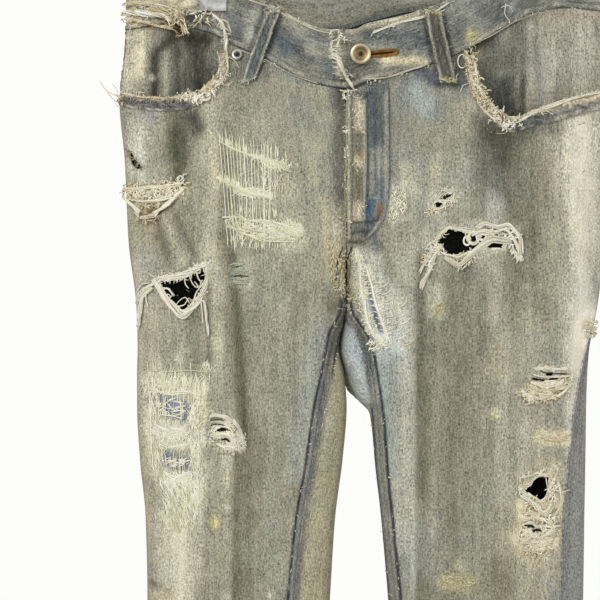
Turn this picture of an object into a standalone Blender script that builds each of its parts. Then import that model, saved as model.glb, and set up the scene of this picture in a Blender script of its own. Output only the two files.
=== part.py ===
"""Ripped jeans hung from the two clips of a metal hanger.

The origin is the inner top of the hook. +X runs to the wearer's left, +Y to the garment's back and +Z up.
Every size below is in millimetres, and MM turns it into metres when a mesh is made. A panel is a grid of
points: its rows are levels of the garment, and its columns are evenly spread along the cloth at that level.
"""

import math
from typing import NamedTuple

import bmesh
import bpy
import numpy as np
from mathutils import Vector

MM = 0.001

# Cloth
WALL = 1.5             # denim panel with its flat seams
BAND_WALL = 2.2        # waistband of folded cloth
TRIM_WALL = 1.4        # fly, pocket bindings, hems and back pockets
LOOP_WALL = 1.6
SEAM_GAP = 0.3
WAIST_GAP = 0.9        # under the waistband, whose edge bends with the seam
LIFT = 0.75            # clearance under a piece that lies on a panel
MID = -6.8             # centre front and centre back
MID_RIGHT = MID - 0.25
MID_LEFT = MID + 0.25
HEM_Z = -1130.0
HEM_DEPTH = 16.0
PELVIS_POWER = 2.6     # squareness of the section at the hips
LEG_POWER = 2.3        # squareness of the section of a leg
SMOOTHED_FRONT = (-325.0, -387.0)   # levels over which the centre front turns under
SMOOTHED_BACK = (-285.0, -387.0)    # the same for the seat
TOP_LEVEL = -165.0     # mean height of the waist seam
SAG_END = -285.0       # level where the rows are straight again

# Waistband
BAND_HEIGHT = 47.0
BAND_ENDS = (18.0, -16.0)   # x of the under end and of the overlapping end
BAND_STEP = (48.0, 24.0)    # x over which the upper end climbs on the lower one

# Clip hanger
BAR_Z = -95.0
BAR_TILT = math.radians(2.5)
BAR_HALF = 205.0
BAR_RADIUS = 2.5
CLIP_X = (-116.0, 178.0)
CLIP_HALF_WIDTH = 11.0
CLIP_MARGIN = 10.0     # flat cloth beside a jaw
CLIP_DROP = 43.0       # from the bar down to the lower edge of the jaws
JAW_WALL = 1.2
PINCHED = 3.3          # half depth of the waist between the jaws
HOOK_RADIUS = 22.0     # inner radius of the hook
WIRE_RADIUS = 1.8
SPRING_RADIUS = 5.0
BOSS_RADIUS = 5.0
BOSS_HEIGHT = 9.0

# Hardware
BUTTON_RADIUS = 8.5
BUTTON_HEIGHT = 4.2
BUTTON_AT = (4.3, -182.3)
RIVET_RADIUS = 4.9
RIVET_HEIGHT = 1.8
RIVET_AT = (-96.0, -180.5)


class Level(NamedTuple):
    """Widths of one half of the garment at a height: silhouettes and seams, as x."""

    z: float
    outer: float
    inner: float
    side_seam: float
    inseam: float


class Depth(NamedTuple):
    """Half depths of the garment at a height, in front of and behind its middle plane."""

    z: float
    front: float
    back: float


class Fold(NamedTuple):
    """A soft ridge (height above 0) or trough (below 0) along a line."""

    x0: float
    z0: float
    x1: float
    z1: float
    width: float
    height: float


RIGHT_LEVELS = (
    Level(-95, -190.0, MID_RIGHT, -190.0, MID_RIGHT),
    Level(-165, -187.5, MID_RIGHT, -187.5, MID_RIGHT),
    Level(-219, -193.0, MID_RIGHT, -193.0, MID_RIGHT),
    Level(-268, -188.5, MID_RIGHT, -188.5, MID_RIGHT),
    Level(-332, -185.5, MID_RIGHT, -185.5, MID_RIGHT),
    Level(-387, -179.0, MID_RIGHT, -179.0, MID_RIGHT),
    Level(-409, -178.2, -11.3, -178.2, -17.0),
    Level(-421, -178.0, -12.7, -178.0, -19.5),
    Level(-440, -178.5, -8.6, -178.5, -23.0),
    Level(-468, -178.5, -6.2, -178.5, -29.0),
    Level(-513, -176.0, -9.7, -176.0, -35.5),
    Level(-559, -171.5, -15.6, -171.5, -43.5),
    Level(-624, -170.0, -19.8, -170.0, -50.0),
    Level(-700, -170.0, -24.0, -170.0, -55.0),
    Level(-900, -171.0, -26.5, -171.0, -58.5),
    Level(HEM_Z, -172.0, -28.0, -172.0, -60.0),
)
LEFT_LEVELS = (
    Level(-95, 209.0, MID_LEFT, 209.0, MID_LEFT),
    Level(-165, 208.5, MID_LEFT, 208.5, MID_LEFT),
    Level(-219, 210.0, MID_LEFT, 210.0, MID_LEFT),
    Level(-300, 208.0, MID_LEFT, 208.0, MID_LEFT),
    Level(-340, 205.0, MID_LEFT, 205.0, MID_LEFT),
    Level(-387, 199.5, MID_LEFT, 199.5, MID_LEFT),
    Level(-409, 195.0, -10.0, 192.5, 5.5),
    Level(-421, 193.0, -11.3, 189.5, 10.5),
    Level(-440, 191.5, -6.4, 185.0, 14.0),
    Level(-462, 190.6, 2.0, 181.0, 17.4),
    Level(-474, 190.4, 12.5, 179.0, 19.3),
    Level(-520, 189.7, 17.4, 174.0, 22.7),
    Level(-559, 189.0, 21.9, 170.5, 26.7),
    Level(-624, 188.0, 27.5, 169.0, 33.0),
    Level(-700, 186.0, 33.0, 168.0, 38.5),
    Level(-900, 183.0, 36.0, 166.0, 42.0),
    Level(HEM_Z, 180.0, 38.0, 165.0, 44.0),
)
DEPTHS = (
    Depth(-95, 24.0, 22.0),
    Depth(-165, 29.0, 28.0),
    Depth(-219, 35.0, 38.0),
    Depth(-300, 39.0, 45.0),
    Depth(-381, 37.0, 40.0),
    Depth(-440, 33.0, 34.0),
    Depth(-560, 31.0, 31.0),
    Depth(-800, 29.0, 29.0),
    Depth(HEM_Z, 26.0, 27.0),
)
# Waist seams: x, z
FRONT_SEAM = (
    (-190.0, -160.0), (-150.0, -156.0), (-121.0, -160.5), (-100.0, -171.5), (-72.0, -185.0), (-51.0, -197.5),
    (-29.0, -206.5), (-6.0, -209.5), (9.0, -204.5), (36.0, -198.5), (64.0, -189.0), (84.0, -181.0),
    (124.0, -158.5), (146.0, -146.5), (172.0, -141.3), (209.0, -145.0),
)
BACK_SEAM = (
    (-190.0, -160.0), (-150.0, -157.0), (-116.0, -158.0), (-69.0, -158.0), (-28.0, -158.0), (-7.0, -154.5),
    (10.0, -149.0), (54.0, -139.0), (100.0, -136.0), (150.0, -138.0), (178.0, -141.5), (209.0, -145.0),
)
YOKE_DROP = (42.0, 68.0)    # yoke height at the side and at the centre back
YOKE_SAG_END = -350.0       # level where the back rows are straight again

# Main folds of the front and the back: x, z of both ends, width, height
FRONT_FOLDS = (
    Fold(-138, -234, -146, -286, 9, -4.0),
    Fold(-115, -225, -114, -340, 12, 4.5),
    Fold(-113, -345, -97, -498, 12, 5.0),
    Fold(-97, -505, -104, -760, 13, 4.5),
    Fold(-103, -250, -101, -385, 10, -5.0),
    Fold(-99, -392, -87, -526, 10, -5.5),
    Fold(-89, -534, -93, -740, 11, -4.5),
    Fold(-52, -212, -20, -292, 9, -2.2),
    Fold(121, -250, 134, -395, 24, -9.5),
    Fold(182, -256, 178, -390, 20, 4.0),
    Fold(40, -385, 41, -700, 11, 4.0),
    Fold(77, -352, 78, -680, 18, -3.5),
    Fold(122, -410, 121, -720, 11, 4.0),
    Fold(152, -432, 150, -690, 11, -4.0),
    Fold(-60, -760, -130, -860, 20, -4.0),
    Fold(70, -770, 140, -850, 20, -4.0),
)
BACK_FOLDS = (
    Fold(-120, -330, -40, -372, 18, -6.0),
    Fold(125, -335, 35, -374, 18, -6.0),
    Fold(-95, -420, -100, -700, 14, -4.5),
    Fold(95, -410, 90, -690, 14, -4.5),
    Fold(-130, -455, -122, -860, 13, 4.0),
    Fold(135, -450, 128, -880, 13, 4.0),
    Fold(-60, -800, -120, -900, 20, -4.5),
    Fold(75, -790, 140, -880, 20, -4.5),
)

# Mouths of the front pockets, from the waist seam to the side seam: x, z
RIGHT_MOUTH = (
    (-107.5, -172.0), (-105.5, -193.0), (-114.0, -206.5), (-123.5, -216.5), (-137.0, -222.5),
    (-158.0, -224.0), (-180.0, -221.5), (-196.0, -215.0),
)
LEFT_MOUTH = (
    (90.5, -176.0), (93.0, -199.0), (97.0, -213.0), (105.0, -226.0), (115.5, -235.5), (127.5, -240.5),
    (142.0, -237.0), (158.0, -233.0), (179.0, -227.0), (213.0, -218.0),
)
MOUTH_RISE = 60.0       # how far above the waist the mouth's cutter reaches
MOUTH_REACH = 28.0      # and how far past the side seam
GAPE = 9.0              # how far the pocket stands open
FACING_BELOW = 16.0     # facing hidden behind the panel
FACING_BESIDE = 13.0
FACING_ABOVE = 3.0      # its end above the mouth's end at the side seam
FACING_CORNER = 24.0    # its inner corner below the mouth's upper bend
FACING_ENDS = (8.0, 30.0)    # from the side seam, where the edge passes behind the panel
FACING_GRID = (12, 8)   # columns and rows of points
FACING_SPREAD = 1.6     # above 1, the columns are closer at the side seam
GAPE_FADE = (6.0, 42.0)      # from the mouth, where the facing comes forward to the waist
BINDING_HALF = 3.4
BINDING_START = 7.0
BINDING_END = 16.0

# Rips that go through a front panel: x, z round each hole
RIGHT_RIPS = (
    ((-159.5, -365.0), (-137.0, -362.5), (-119.0, -351.5), (-122.0, -372.0), (-139.0, -390.0),
     (-150.0, -381.0)),
)
LEFT_RIPS = (
    ((64.5, -334.0), (76.0, -323.0), (93.0, -326.5), (108.0, -329.0), (120.5, -335.0), (120.0, -340.0),
     (98.0, -340.5), (82.0, -345.5), (69.0, -341.5)),
    ((137.5, -532.5), (146.5, -530.0), (148.5, -526.5), (155.0, -528.0), (150.5, -539.0), (144.5, -537.5)),
)
CUTTER_SPAN = (-130.0, 20.0)     # y reach of a cutter

# Belt loops: name, face, x and z of the top, x and z of the bottom, width
LOOP_RISE = 2.4
LOOP_STEPS = 6


class BeltLoop(NamedTuple):
    """A belt loop by the ends of its centre line."""

    name: str
    back: bool
    top: tuple[float, float]
    bottom: tuple[float, float]
    width: float
    lift: float


BELT_LOOPS = (
    BeltLoop("belt_loop_front_right", False, (-66.0, -146.0), (-86.5, -203.0), 11.5, 0.5),
    BeltLoop("belt_loop_front_left", False, (62.5, -147.0), (75.0, -204.5), 13.5, 0.5),
    BeltLoop("belt_loop_back_right", True, (-62.0, -109.0), (-64.0, -166.0), 12.0, 1.3),
    BeltLoop("belt_loop_back_centre", True, (-2.0, -105.0), (-4.0, -162.0), 12.0, 1.6),
    BeltLoop("belt_loop_back_left", True, (118.0, -89.0), (120.0, -146.0), 12.0, 1.8),
)

# Fly flap: level and width at that level
FLY_WIDTHS = ((-211.0, 33.5), (-235.0, 34.0), (-290.0, 33.5), (-312.0, 30.5), (-326.0, 22.0), (-335.0, 11.0))
# Back pockets, in columns and rows of the back panels: both sides, then the mouth, the corners and the tip
POCKET_COLUMNS = (4.2, 12.8)
POCKET_ROWS = (0.5, 5.4, 6.0)

FRONT_ROWS = (
    -165, -178, -192, -208, -226, -246, -268, -292, -314, -334, -352, -370, -387, -404, -422, -445, -478,
    -518, -560, -612, -680, -780, -920, HEM_Z + HEM_DEPTH, HEM_Z,
)
YOKE_ROWS = 2
BACK_ROWS = (
    -228, -256, -284, -310, -334, -352, -370, -387, -404, -422, -445, -478, -518, -560, -612, -680, -780,
    -920, HEM_Z + HEM_DEPTH, HEM_Z,
)
FRONT_COLUMNS = 15
BACK_COLUMNS = 15
BAND_COLUMNS = 54
BAND_ROWS = 3
DENSE = 90              # samples of a row before it is spread evenly

# name: colour, roughness, metallic
FINISHES = {
    "denim_front": ((0.34, 0.33, 0.27), 0.92, 0.0),
    "denim_back": ((0.38, 0.37, 0.31), 0.92, 0.0),
    "denim_blue": ((0.22, 0.24, 0.24), 0.92, 0.0),
    "denim_inside": ((0.14, 0.15, 0.13), 0.95, 0.0),
    "thread_edge": ((0.60, 0.54, 0.42), 0.95, 0.0),
    "old_nickel": ((0.22, 0.19, 0.14), 0.42, 1.0),
    "steel": ((0.72, 0.72, 0.70), 0.30, 1.0),
    "dark_steel": ((0.20, 0.20, 0.21), 0.35, 1.0),
}


def clear_scene():
    """Remove whatever the file holds."""
    for item in list(bpy.data.objects):
        bpy.data.objects.remove(item, do_unlink=True)


def finish(name):
    """Return the material of that name, made once."""
    material = bpy.data.materials.get(name)
    if material:
        return material
    colour, roughness, metallic = FINISHES[name]
    material = bpy.data.materials.new(name)
    material.use_nodes = True
    shader = material.node_tree.nodes["Principled BSDF"]
    shader.inputs["Base Color"].default_value = (*colour, 1.0)
    shader.inputs["Roughness"].default_value = roughness
    shader.inputs["Metallic"].default_value = metallic
    return material


def smoothstep(start, end, value):
    """Rise from 0 at start to 1 at end with level ends."""
    t = np.clip((value - start) / (end - start), 0.0, 1.0)
    return t * t * (3.0 - 2.0 * t)


def read_table(rows, column, z):
    """Read a named column of a table whose rows are ordered downward."""
    return np.interp(-np.asarray(z, float), [-row.z for row in rows], [getattr(row, column) for row in rows])


def seam_height(seam, x):
    """Height of a waist seam at x."""
    return np.interp(x, [point[0] for point in seam], [point[1] for point in seam])


def oval(t, power):
    """Height over the width of an oval section, for t from -1 to 1."""
    return (1.0 - np.clip(np.abs(t), 0.0, 1.0) ** power) ** (1.0 / power)


def fold_height(folds, x, z):
    """Sum of the folds at x and z."""
    total = np.zeros(np.broadcast(x, z).shape)
    for fold in folds:
        run = np.array([fold.x1 - fold.x0, fold.z1 - fold.z0])
        length = np.hypot(*run)
        along = ((x - fold.x0) * run[0] + (z - fold.z0) * run[1]) / length
        across = ((x - fold.x0) * run[1] - (z - fold.z0) * run[0]) / length
        ends = smoothstep(-2.0 * fold.width, fold.width, along)
        ends = ends * smoothstep(-2.0 * fold.width, fold.width, length - along)
        total = total + fold.height * np.exp(-((across / fold.width) ** 2)) * ends
    return total


def bar_height(x):
    """Height of the hanger's bar at x."""
    return BAR_Z + x * math.tan(BAR_TILT)


def pinch(x, z):
    """How much the clips press the waist together: 1 between the jaws, 0 away from them."""
    total = np.zeros(np.broadcast(x, z).shape)
    for clip_x in CLIP_X:
        lower_edge = bar_height(clip_x) - CLIP_DROP
        aside = np.maximum(np.abs(x - clip_x) - CLIP_HALF_WIDTH - CLIP_MARGIN, 0.0) / 22.0
        below = np.maximum(lower_edge - 4.0 - z, 0.0) / 75.0
        total = np.maximum(total, np.exp(-(aside**2)) * np.exp(-(below**1.5)))
    return total


def half_depth(levels, x, z, back, level=None):
    """Distance of the cloth from the middle plane at x and z, on the front or on the back.

    The widths and depths are those of the level, where one is given, and otherwise those at z.
    """
    x = np.asarray(x, float)
    z = np.asarray(z, float)
    at = z if level is None else level
    reach = read_table(DEPTHS, "back" if back else "front", at)
    right = read_table(RIGHT_LEVELS, "outer", at)
    left = read_table(LEFT_LEVELS, "outer", at)
    pelvis = reach * oval((2.0 * x - right - left) / (left - right), PELVIS_POWER)
    outer = read_table(levels, "outer", at)
    inner = read_table(levels, "inner", at)
    leg = reach * oval((2.0 * x - outer - inner) / (outer - inner), LEG_POWER)
    start, end = SMOOTHED_BACK if back else SMOOTHED_FRONT
    share = 1.0 - smoothstep(end, start, at)
    depth = pelvis * (1.0 - share) + leg * share
    depth = depth + fold_height(BACK_FOLDS if back else FRONT_FOLDS, x, z) * np.clip(depth / 16.0, 0.0, 1.0)
    held = pinch(x, z)
    return depth * (1.0 - held) + np.minimum(depth, PINCHED) * held


def spread(start, end):
    """Samples from start to end, closer at both ends."""
    t = (1.0 - np.cos(np.linspace(0.0, math.pi, DENSE))) / 2.0
    return start + (end - start) * t


def even_rows(dense_rows, columns):
    """Spread each row's points evenly along the cloth, a little closer at its ends and clear of the seams.

    Returns the grid and the direction along the cloth at each of its points.
    """
    share = np.linspace(0.0, 1.0, columns + 1)
    share = 0.7 * share + 0.3 * (1.0 - np.cos(math.pi * share)) / 2.0
    grid, across = [], []
    for points in dense_rows:
        steps = np.linalg.norm(np.diff(points, axis=0), axis=1)
        along = np.concatenate([[0.0], np.cumsum(steps)])
        places = SEAM_GAP / 2.0 + share * (along[-1] - SEAM_GAP)
        at, after, before = (
            np.stack([np.interp(places + step, along, points[:, axis]) for axis in range(3)], axis=1)
            for step in (0.0, 1.0, -1.0)
        )
        grid.append(at)
        across.append(after - before)
    return np.array(grid), np.array(across)


def sagged(level, x, seam, top, end):
    """Height of a row at x: the top row follows a seam, and the rows straighten below it."""
    return level + (seam_height(seam, x) - top) * (1.0 - smoothstep(top, end, level))


def front_row(levels, level):
    """Points of a front panel's row, from the side seam to the centre front or the inseam."""
    x = spread(read_table(levels, "side_seam", level), read_table(levels, "inseam", level))
    z = sagged(level, x, FRONT_SEAM, TOP_LEVEL, SAG_END)
    return np.stack([x, -half_depth(levels, x, z, False, level), z], axis=1)


def back_row(levels, level, seam, top, end):
    """Points of a back panel's row, from the side seam round the back to the centre back or the inseam."""
    side_seam, outer, inner, inseam = (
        float(read_table(levels, name, level)) for name in ("side_seam", "outer", "inner", "inseam")
    )
    runs = [(outer, inner, True)]
    if abs(side_seam - outer) > 0.5:
        runs.insert(0, (side_seam, outer, False))
    if abs(inseam - inner) > 0.5:
        runs.append((inner, inseam, False))
    parts = []
    for start, stop, back in runs:
        x = spread(start, stop)
        z = sagged(level, x, seam, top, end)
        sign = 1.0 if back else -1.0
        parts.append(np.stack([x, sign * half_depth(levels, x, z, back, level), z], axis=1))
    return np.concatenate(parts)


def grid_normals(grid, across=None):
    """Unit normals of a grid, pointing out of the garment."""
    across = np.gradient(grid, axis=1) if across is None else across
    normal = np.cross(across, np.gradient(grid, axis=0))
    normal /= np.linalg.norm(normal, axis=2, keepdims=True) + 1e-9
    middle = grid.mean(axis=1, keepdims=True)
    middle[..., 1] = 0.0
    return -normal if np.sum(normal * (grid - middle)) < 0.0 else normal


def closed_grid(name, outside, inside, material, ring=False):
    """Make one closed solid between two grids of points, with a rim round their edges."""
    rows, columns = outside.shape[:2]
    points = np.concatenate([outside.reshape(-1, 3), inside.reshape(-1, 3)]) * MM
    offset = rows * columns
    last = columns if ring else columns - 1
    faces = []
    for i in range(rows - 1):
        for j in range(last):
            k = (j + 1) % columns
            a, b, c, d = i * columns + j, i * columns + k, (i + 1) * columns + k, (i + 1) * columns + j
            faces.append((a, b, c, d))
            faces.append((d + offset, c + offset, b + offset, a + offset))
    for i in (0, rows - 1):
        for j in range(last):
            a, b = i * columns + j, i * columns + (j + 1) % columns
            faces.append((b, a, a + offset, b + offset) if i == 0 else (a, b, b + offset, a + offset))
    if not ring:
        for j in (0, columns - 1):
            for i in range(rows - 1):
                a, b = i * columns + j, (i + 1) * columns + j
                faces.append((a, b, b + offset, a + offset) if j == 0 else (b, a, a + offset, b + offset))
    mesh = bpy.data.meshes.new(name)
    mesh.from_pydata([tuple(point) for point in points], [], faces)
    shell = bmesh.new()
    shell.from_mesh(mesh)
    bmesh.ops.recalc_face_normals(shell, faces=shell.faces)
    shell.to_mesh(mesh)
    shell.free()
    item = bpy.data.objects.new(name, mesh)
    bpy.context.collection.objects.link(item)
    mesh.materials.append(finish(material))
    mesh.shade_smooth()
    mesh.set_sharp_from_angle(angle=math.radians(50))
    return item


def cloth_wall(name, grid, normals, thickness, material, lift=0.0, ring=False):
    """Make a wall whose outer side is the grid, or lies on it when lifted."""
    top = lift + thickness if lift else 0.0
    return closed_grid(name, grid + normals * top, grid + normals * (top - thickness), material, ring)


def cut(item, outline, label):
    """Cut an outline through a panel along Y."""
    near, far = CUTTER_SPAN
    count = len(outline)
    points = [(x * MM, y * MM, z * MM) for y in (near, far) for x, z in outline]
    faces = [tuple(range(count)), tuple(range(2 * count - 1, count - 1, -1))]
    faces += [(i, (i + 1) % count, (i + 1) % count + count, i + count) for i in range(count)]
    mesh = bpy.data.meshes.new(label)
    mesh.from_pydata(points, [], faces)
    prism = bmesh.new()
    prism.from_mesh(mesh)
    bmesh.ops.recalc_face_normals(prism, faces=prism.faces)
    prism.to_mesh(mesh)
    prism.free()
    cutter = bpy.data.objects.new(label, mesh)
    bpy.context.collection.objects.link(cutter)
    cutter.hide_render = True
    cutter.display_type = "WIRE"
    modifier = item.modifiers.new(label, "BOOLEAN")
    modifier.operation = "DIFFERENCE"
    modifier.solver = "EXACT"
    modifier.object = cutter


def mouth_outline(mouth, side):
    """Outline of everything that a pocket's mouth opens, up past the waist and out past the side seam."""
    top = mouth[0][1] + MOUTH_RISE
    beyond = mouth[-1][0] + side * MOUTH_REACH
    return (*mouth, (beyond, mouth[-1][1]), (beyond, top), (mouth[0][0], top))


class Surface:
    """A panel's grid, read at any x and z on it."""

    def __init__(self, grid, normals):
        self.grid = grid
        self.normals = normals

    def place(self, x, z):
        """Return the point of the panel at x and z and its normal."""
        rows, columns = self.grid.shape[:2]
        u, v = columns / 2.0, rows / 2.0
        for _ in range(12):
            v = self._find(self._blend(self.grid, u, axis=1)[:, 2], z)
            u = self._find(self._blend(self.grid, v, axis=0)[:, 0], x)
        return self.at(u, v)

    def at(self, u, v):
        """Return the point and the normal at a place counted in columns and rows."""
        point = self._blend(self._blend(self.grid, v, axis=0), u, axis=0)
        normal = self._blend(self._blend(self.normals, v, axis=0), u, axis=0)
        return point, normal / np.linalg.norm(normal)

    @staticmethod
    def _blend(values, index, axis):
        low = int(np.clip(math.floor(index), 0, values.shape[axis] - 2))
        share = index - low
        return np.take(values, low, axis) * (1.0 - share) + np.take(values, low + 1, axis) * share

    @staticmethod
    def _find(values, wanted):
        order = np.arange(len(values))
        if values[0] > values[-1]:
            values, order = values[::-1], order[::-1]
        return float(np.interp(wanted, values, order))

    def patch(self, xs, zs):
        """Points and normals of a patch, from grids of x and z."""
        return self._gathered([[self.place(x, z) for x, z in zip(*rows)] for rows in zip(xs, zs)])

    def cells(self, us, vs):
        """Points and normals of a patch, from grids of places counted in columns and rows."""
        return self._gathered([[self.at(u, v) for u, v in zip(*rows)] for rows in zip(us, vs)])

    @staticmethod
    def _gathered(pairs):
        return tuple(np.array([[pair[k] for pair in row] for row in pairs]) for k in (0, 1))


def build_fronts():
    """Make the two front panels and return their surfaces."""
    surfaces = {}
    for side, levels, mouth, rips in (
        ("right", RIGHT_LEVELS, RIGHT_MOUTH, RIGHT_RIPS),
        ("left", LEFT_LEVELS, LEFT_MOUTH, LEFT_RIPS),
    ):
        grid, across = even_rows([front_row(levels, level) for level in FRONT_ROWS], FRONT_COLUMNS)
        grid[0, :, 2] -= WAIST_GAP
        surfaces[side] = Surface(grid, grid_normals(grid, across))
        panel = cloth_wall(f"front_panel_{side}", grid, surfaces[side].normals, WALL, "denim_front")
        cut(panel, mouth_outline(mouth, -1 if side == "right" else 1), f"mouth_cutter_{side}")
        for index, rip in enumerate(rips):
            cut(panel, rip, f"rip_cutter_{side}_{index}")
    return surfaces


def yoke_seam():
    """The yoke's lower seam, deeper at the centre back: x, z."""
    side_drop, centre_drop = YOKE_DROP
    reach = LEFT_LEVELS[0].outer - MID
    points = []
    for x, z in BACK_SEAM:
        share = max(0.0, 1.0 - abs(x - MID) / reach)
        points.append((x, z - side_drop - (centre_drop - side_drop) * share))
    return tuple(points)


def build_backs():
    """Make the yokes and back panels and return the back panels' surfaces."""
    surfaces = {}
    lower_seam = yoke_seam()
    for side, levels in (("right", RIGHT_LEVELS), ("left", LEFT_LEVELS)):
        rows = [back_row(levels, level, lower_seam, BACK_ROWS[0], YOKE_SAG_END) for level in BACK_ROWS]
        grid, across = even_rows(rows, BACK_COLUMNS)
        surfaces[side] = Surface(grid, grid_normals(grid, across))
        cloth_wall(f"back_panel_{side}", grid, surfaces[side].normals, WALL, "denim_back")
        waist = back_row(levels, TOP_LEVEL, BACK_SEAM, TOP_LEVEL, SAG_END)
        top, top_across = even_rows([waist], BACK_COLUMNS)
        top[..., 2] -= WAIST_GAP
        shares = np.linspace(0.0, 1.0, YOKE_ROWS + 1)[:, None, None]
        yoke = top * (1.0 - shares) + (grid[:1] + (0.0, 0.0, 2.0 * SEAM_GAP)) * shares
        for row in yoke[1:-1]:
            row[:, 1] = np.maximum(half_depth(levels, row[:, 0], row[:, 2], True), row[:, 1])
        normals = grid_normals(yoke, top_across * (1.0 - shares) + across[:1] * shares)
        cloth_wall(f"yoke_{side}", yoke, normals, WALL, "denim_blue")
    return surfaces


def band_path():
    """Stations of the waistband from its under end to its upper end: x, which face, how far it rises."""
    right, left = RIGHT_LEVELS[1].outer, LEFT_LEVELS[1].outer
    under, over = BAND_ENDS
    stations = []
    for start, stop, back in ((under, right, False), (right, left, True), (left, over, False)):
        for x in spread(start, stop):
            climb = 0.0
            if not back and start == left:
                climb = float(smoothstep(BAND_STEP[0], BAND_STEP[1], x)) * (BAND_WALL + 2 * SEAM_GAP)
            stations.append((x, back, climb))
    return stations


def build_waistband():
    """Make the waistband, one strip round the waist whose left end laps over the right one."""
    rows = []
    heights = np.linspace(0.0, BAND_HEIGHT, BAND_ROWS)
    for height in heights:
        points = []
        for x, back, climb in band_path():
            levels = LEFT_LEVELS if x > MID else RIGHT_LEVELS
            z = float(seam_height(BACK_SEAM if back else FRONT_SEAM, x)) + height
            depth = float(half_depth(levels, x, z, back, TOP_LEVEL)) + climb
            points.append((x, depth if back else -depth, z))
        rows.append(np.array(points))
    along = np.concatenate([[0.0], np.cumsum(np.linalg.norm(np.diff(rows[1], axis=0), axis=1))])
    places = np.linspace(0.0, along[-1], BAND_COLUMNS)
    grid = np.array([
        np.stack([np.interp(places, along, row[:, axis]) for axis in range(3)], axis=1) for row in rows
    ])[::-1]
    cloth_wall("waistband", grid, grid_normals(grid), BAND_WALL, "denim_blue")


def build_loops():
    """Make the belt loops, which bridge the waistband and end on it and on the panel below."""
    for loop in BELT_LOOPS:
        (x_top, z_top), (x_low, z_low) = loop.top, loop.bottom
        sign = 1.0 if loop.back else -1.0
        outside, inside = [], []
        for share in np.linspace(0.0, 1.0, LOOP_STEPS + 1):
            z = z_top + (z_low - z_top) * share
            x = x_top + (x_low - x_top) * share + np.array((-0.5, 0.0, 0.5)) * loop.width
            levels = LEFT_LEVELS if x[1] > MID else RIGHT_LEVELS
            depths = [half_depth(levels, x, z, loop.back, level) for level in (None, TOP_LEVEL)]
            depth = float(np.max(depths))
            rise = depth + loop.lift + LOOP_RISE * math.sin(math.pi * share) ** 0.6
            inside.append([(side, sign * rise, z) for side in x])
            outside.append([(side, sign * (rise + LOOP_WALL), z) for side in x])
        closed_grid(loop.name, np.array(outside), np.array(inside), "denim_blue")


def gape_at(x, z, line, direction):
    """How far a facing stands behind the panel's surface, which is less away from the mouth."""
    across = np.sort(line, axis=0) if line[0, 0] < line[-1, 0] else line[::-1]
    if z < np.interp(x, across[:, 0], across[:, 1]) or direction * (x - line[0, 0]) < 0.0:
        return GAPE
    nearest = math.inf
    for start, stop in zip(line[:-1], line[1:]):
        run = stop - start
        share = np.clip(np.dot((x, z) - start, run) / np.dot(run, run), 0.0, 1.0)
        nearest = min(nearest, float(np.hypot(*(start + run * share - (x, z)))))
    return GAPE * (1.0 - float(smoothstep(*GAPE_FADE, nearest)))


def facing_edge(x, outer, line, direction):
    """Height of a facing's lower edge: below the mouth inside the pocket, above its end at the side seam."""
    order = np.argsort(line[:, 0])
    inside = smoothstep(*FACING_ENDS, np.abs(x - outer))
    low = np.interp(x, line[order, 0], line[order, 1])
    low = low - FACING_BELOW * inside + FACING_ABOVE * (1.0 - inside)
    beside = smoothstep(0.0, FACING_BESIDE, (line[0, 0] - x) * direction)
    return low * (1.0 - beside) + (line[1, 1] - FACING_CORNER) * beside


def build_facings():
    """Make the pocket facings, which fill each mouth and run behind the panel below it."""
    for side, levels, mouth in (("right", RIGHT_LEVELS, RIGHT_MOUTH), ("left", LEFT_LEVELS, LEFT_MOUTH)):
        direction = -1.0 if side == "right" else 1.0
        line = np.array(mouth)
        outer = float(read_table(levels, "outer", mouth[-1][1]))
        width = mouth[0][0] - direction * FACING_BESIDE - outer
        x = outer + width * np.linspace(0.0, 1.0, FACING_GRID[0]) ** FACING_SPREAD
        top = seam_height(FRONT_SEAM, x) - WAIST_GAP - SEAM_GAP
        low = facing_edge(x, outer, line, direction)
        rows = []
        for share in np.linspace(0.0, 1.0, FACING_GRID[1]):
            z = top + (low - top) * share
            edge = read_table(levels, "outer", z) - direction * SEAM_GAP / 2.0
            clear_x = np.minimum(direction * x, direction * edge) * direction
            depth = half_depth(levels, clear_x, z, False)
            gape = np.array([gape_at(px, pz, line, direction) for px, pz in zip(clear_x, z)])
            depth = depth - gape * np.clip(depth / (2.0 * GAPE), 0.0, 1.0)
            rows.append(np.stack([clear_x, -np.maximum(depth, 2.0 * SEAM_GAP), z], axis=1))
        grid = np.array(rows)
        normals = grid_normals(grid)
        normals[:, 0] = (direction, 0.0, 0.0)
        cloth_wall(f"pocket_facing_{side}", grid, normals, TRIM_WALL, "denim_inside")


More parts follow.
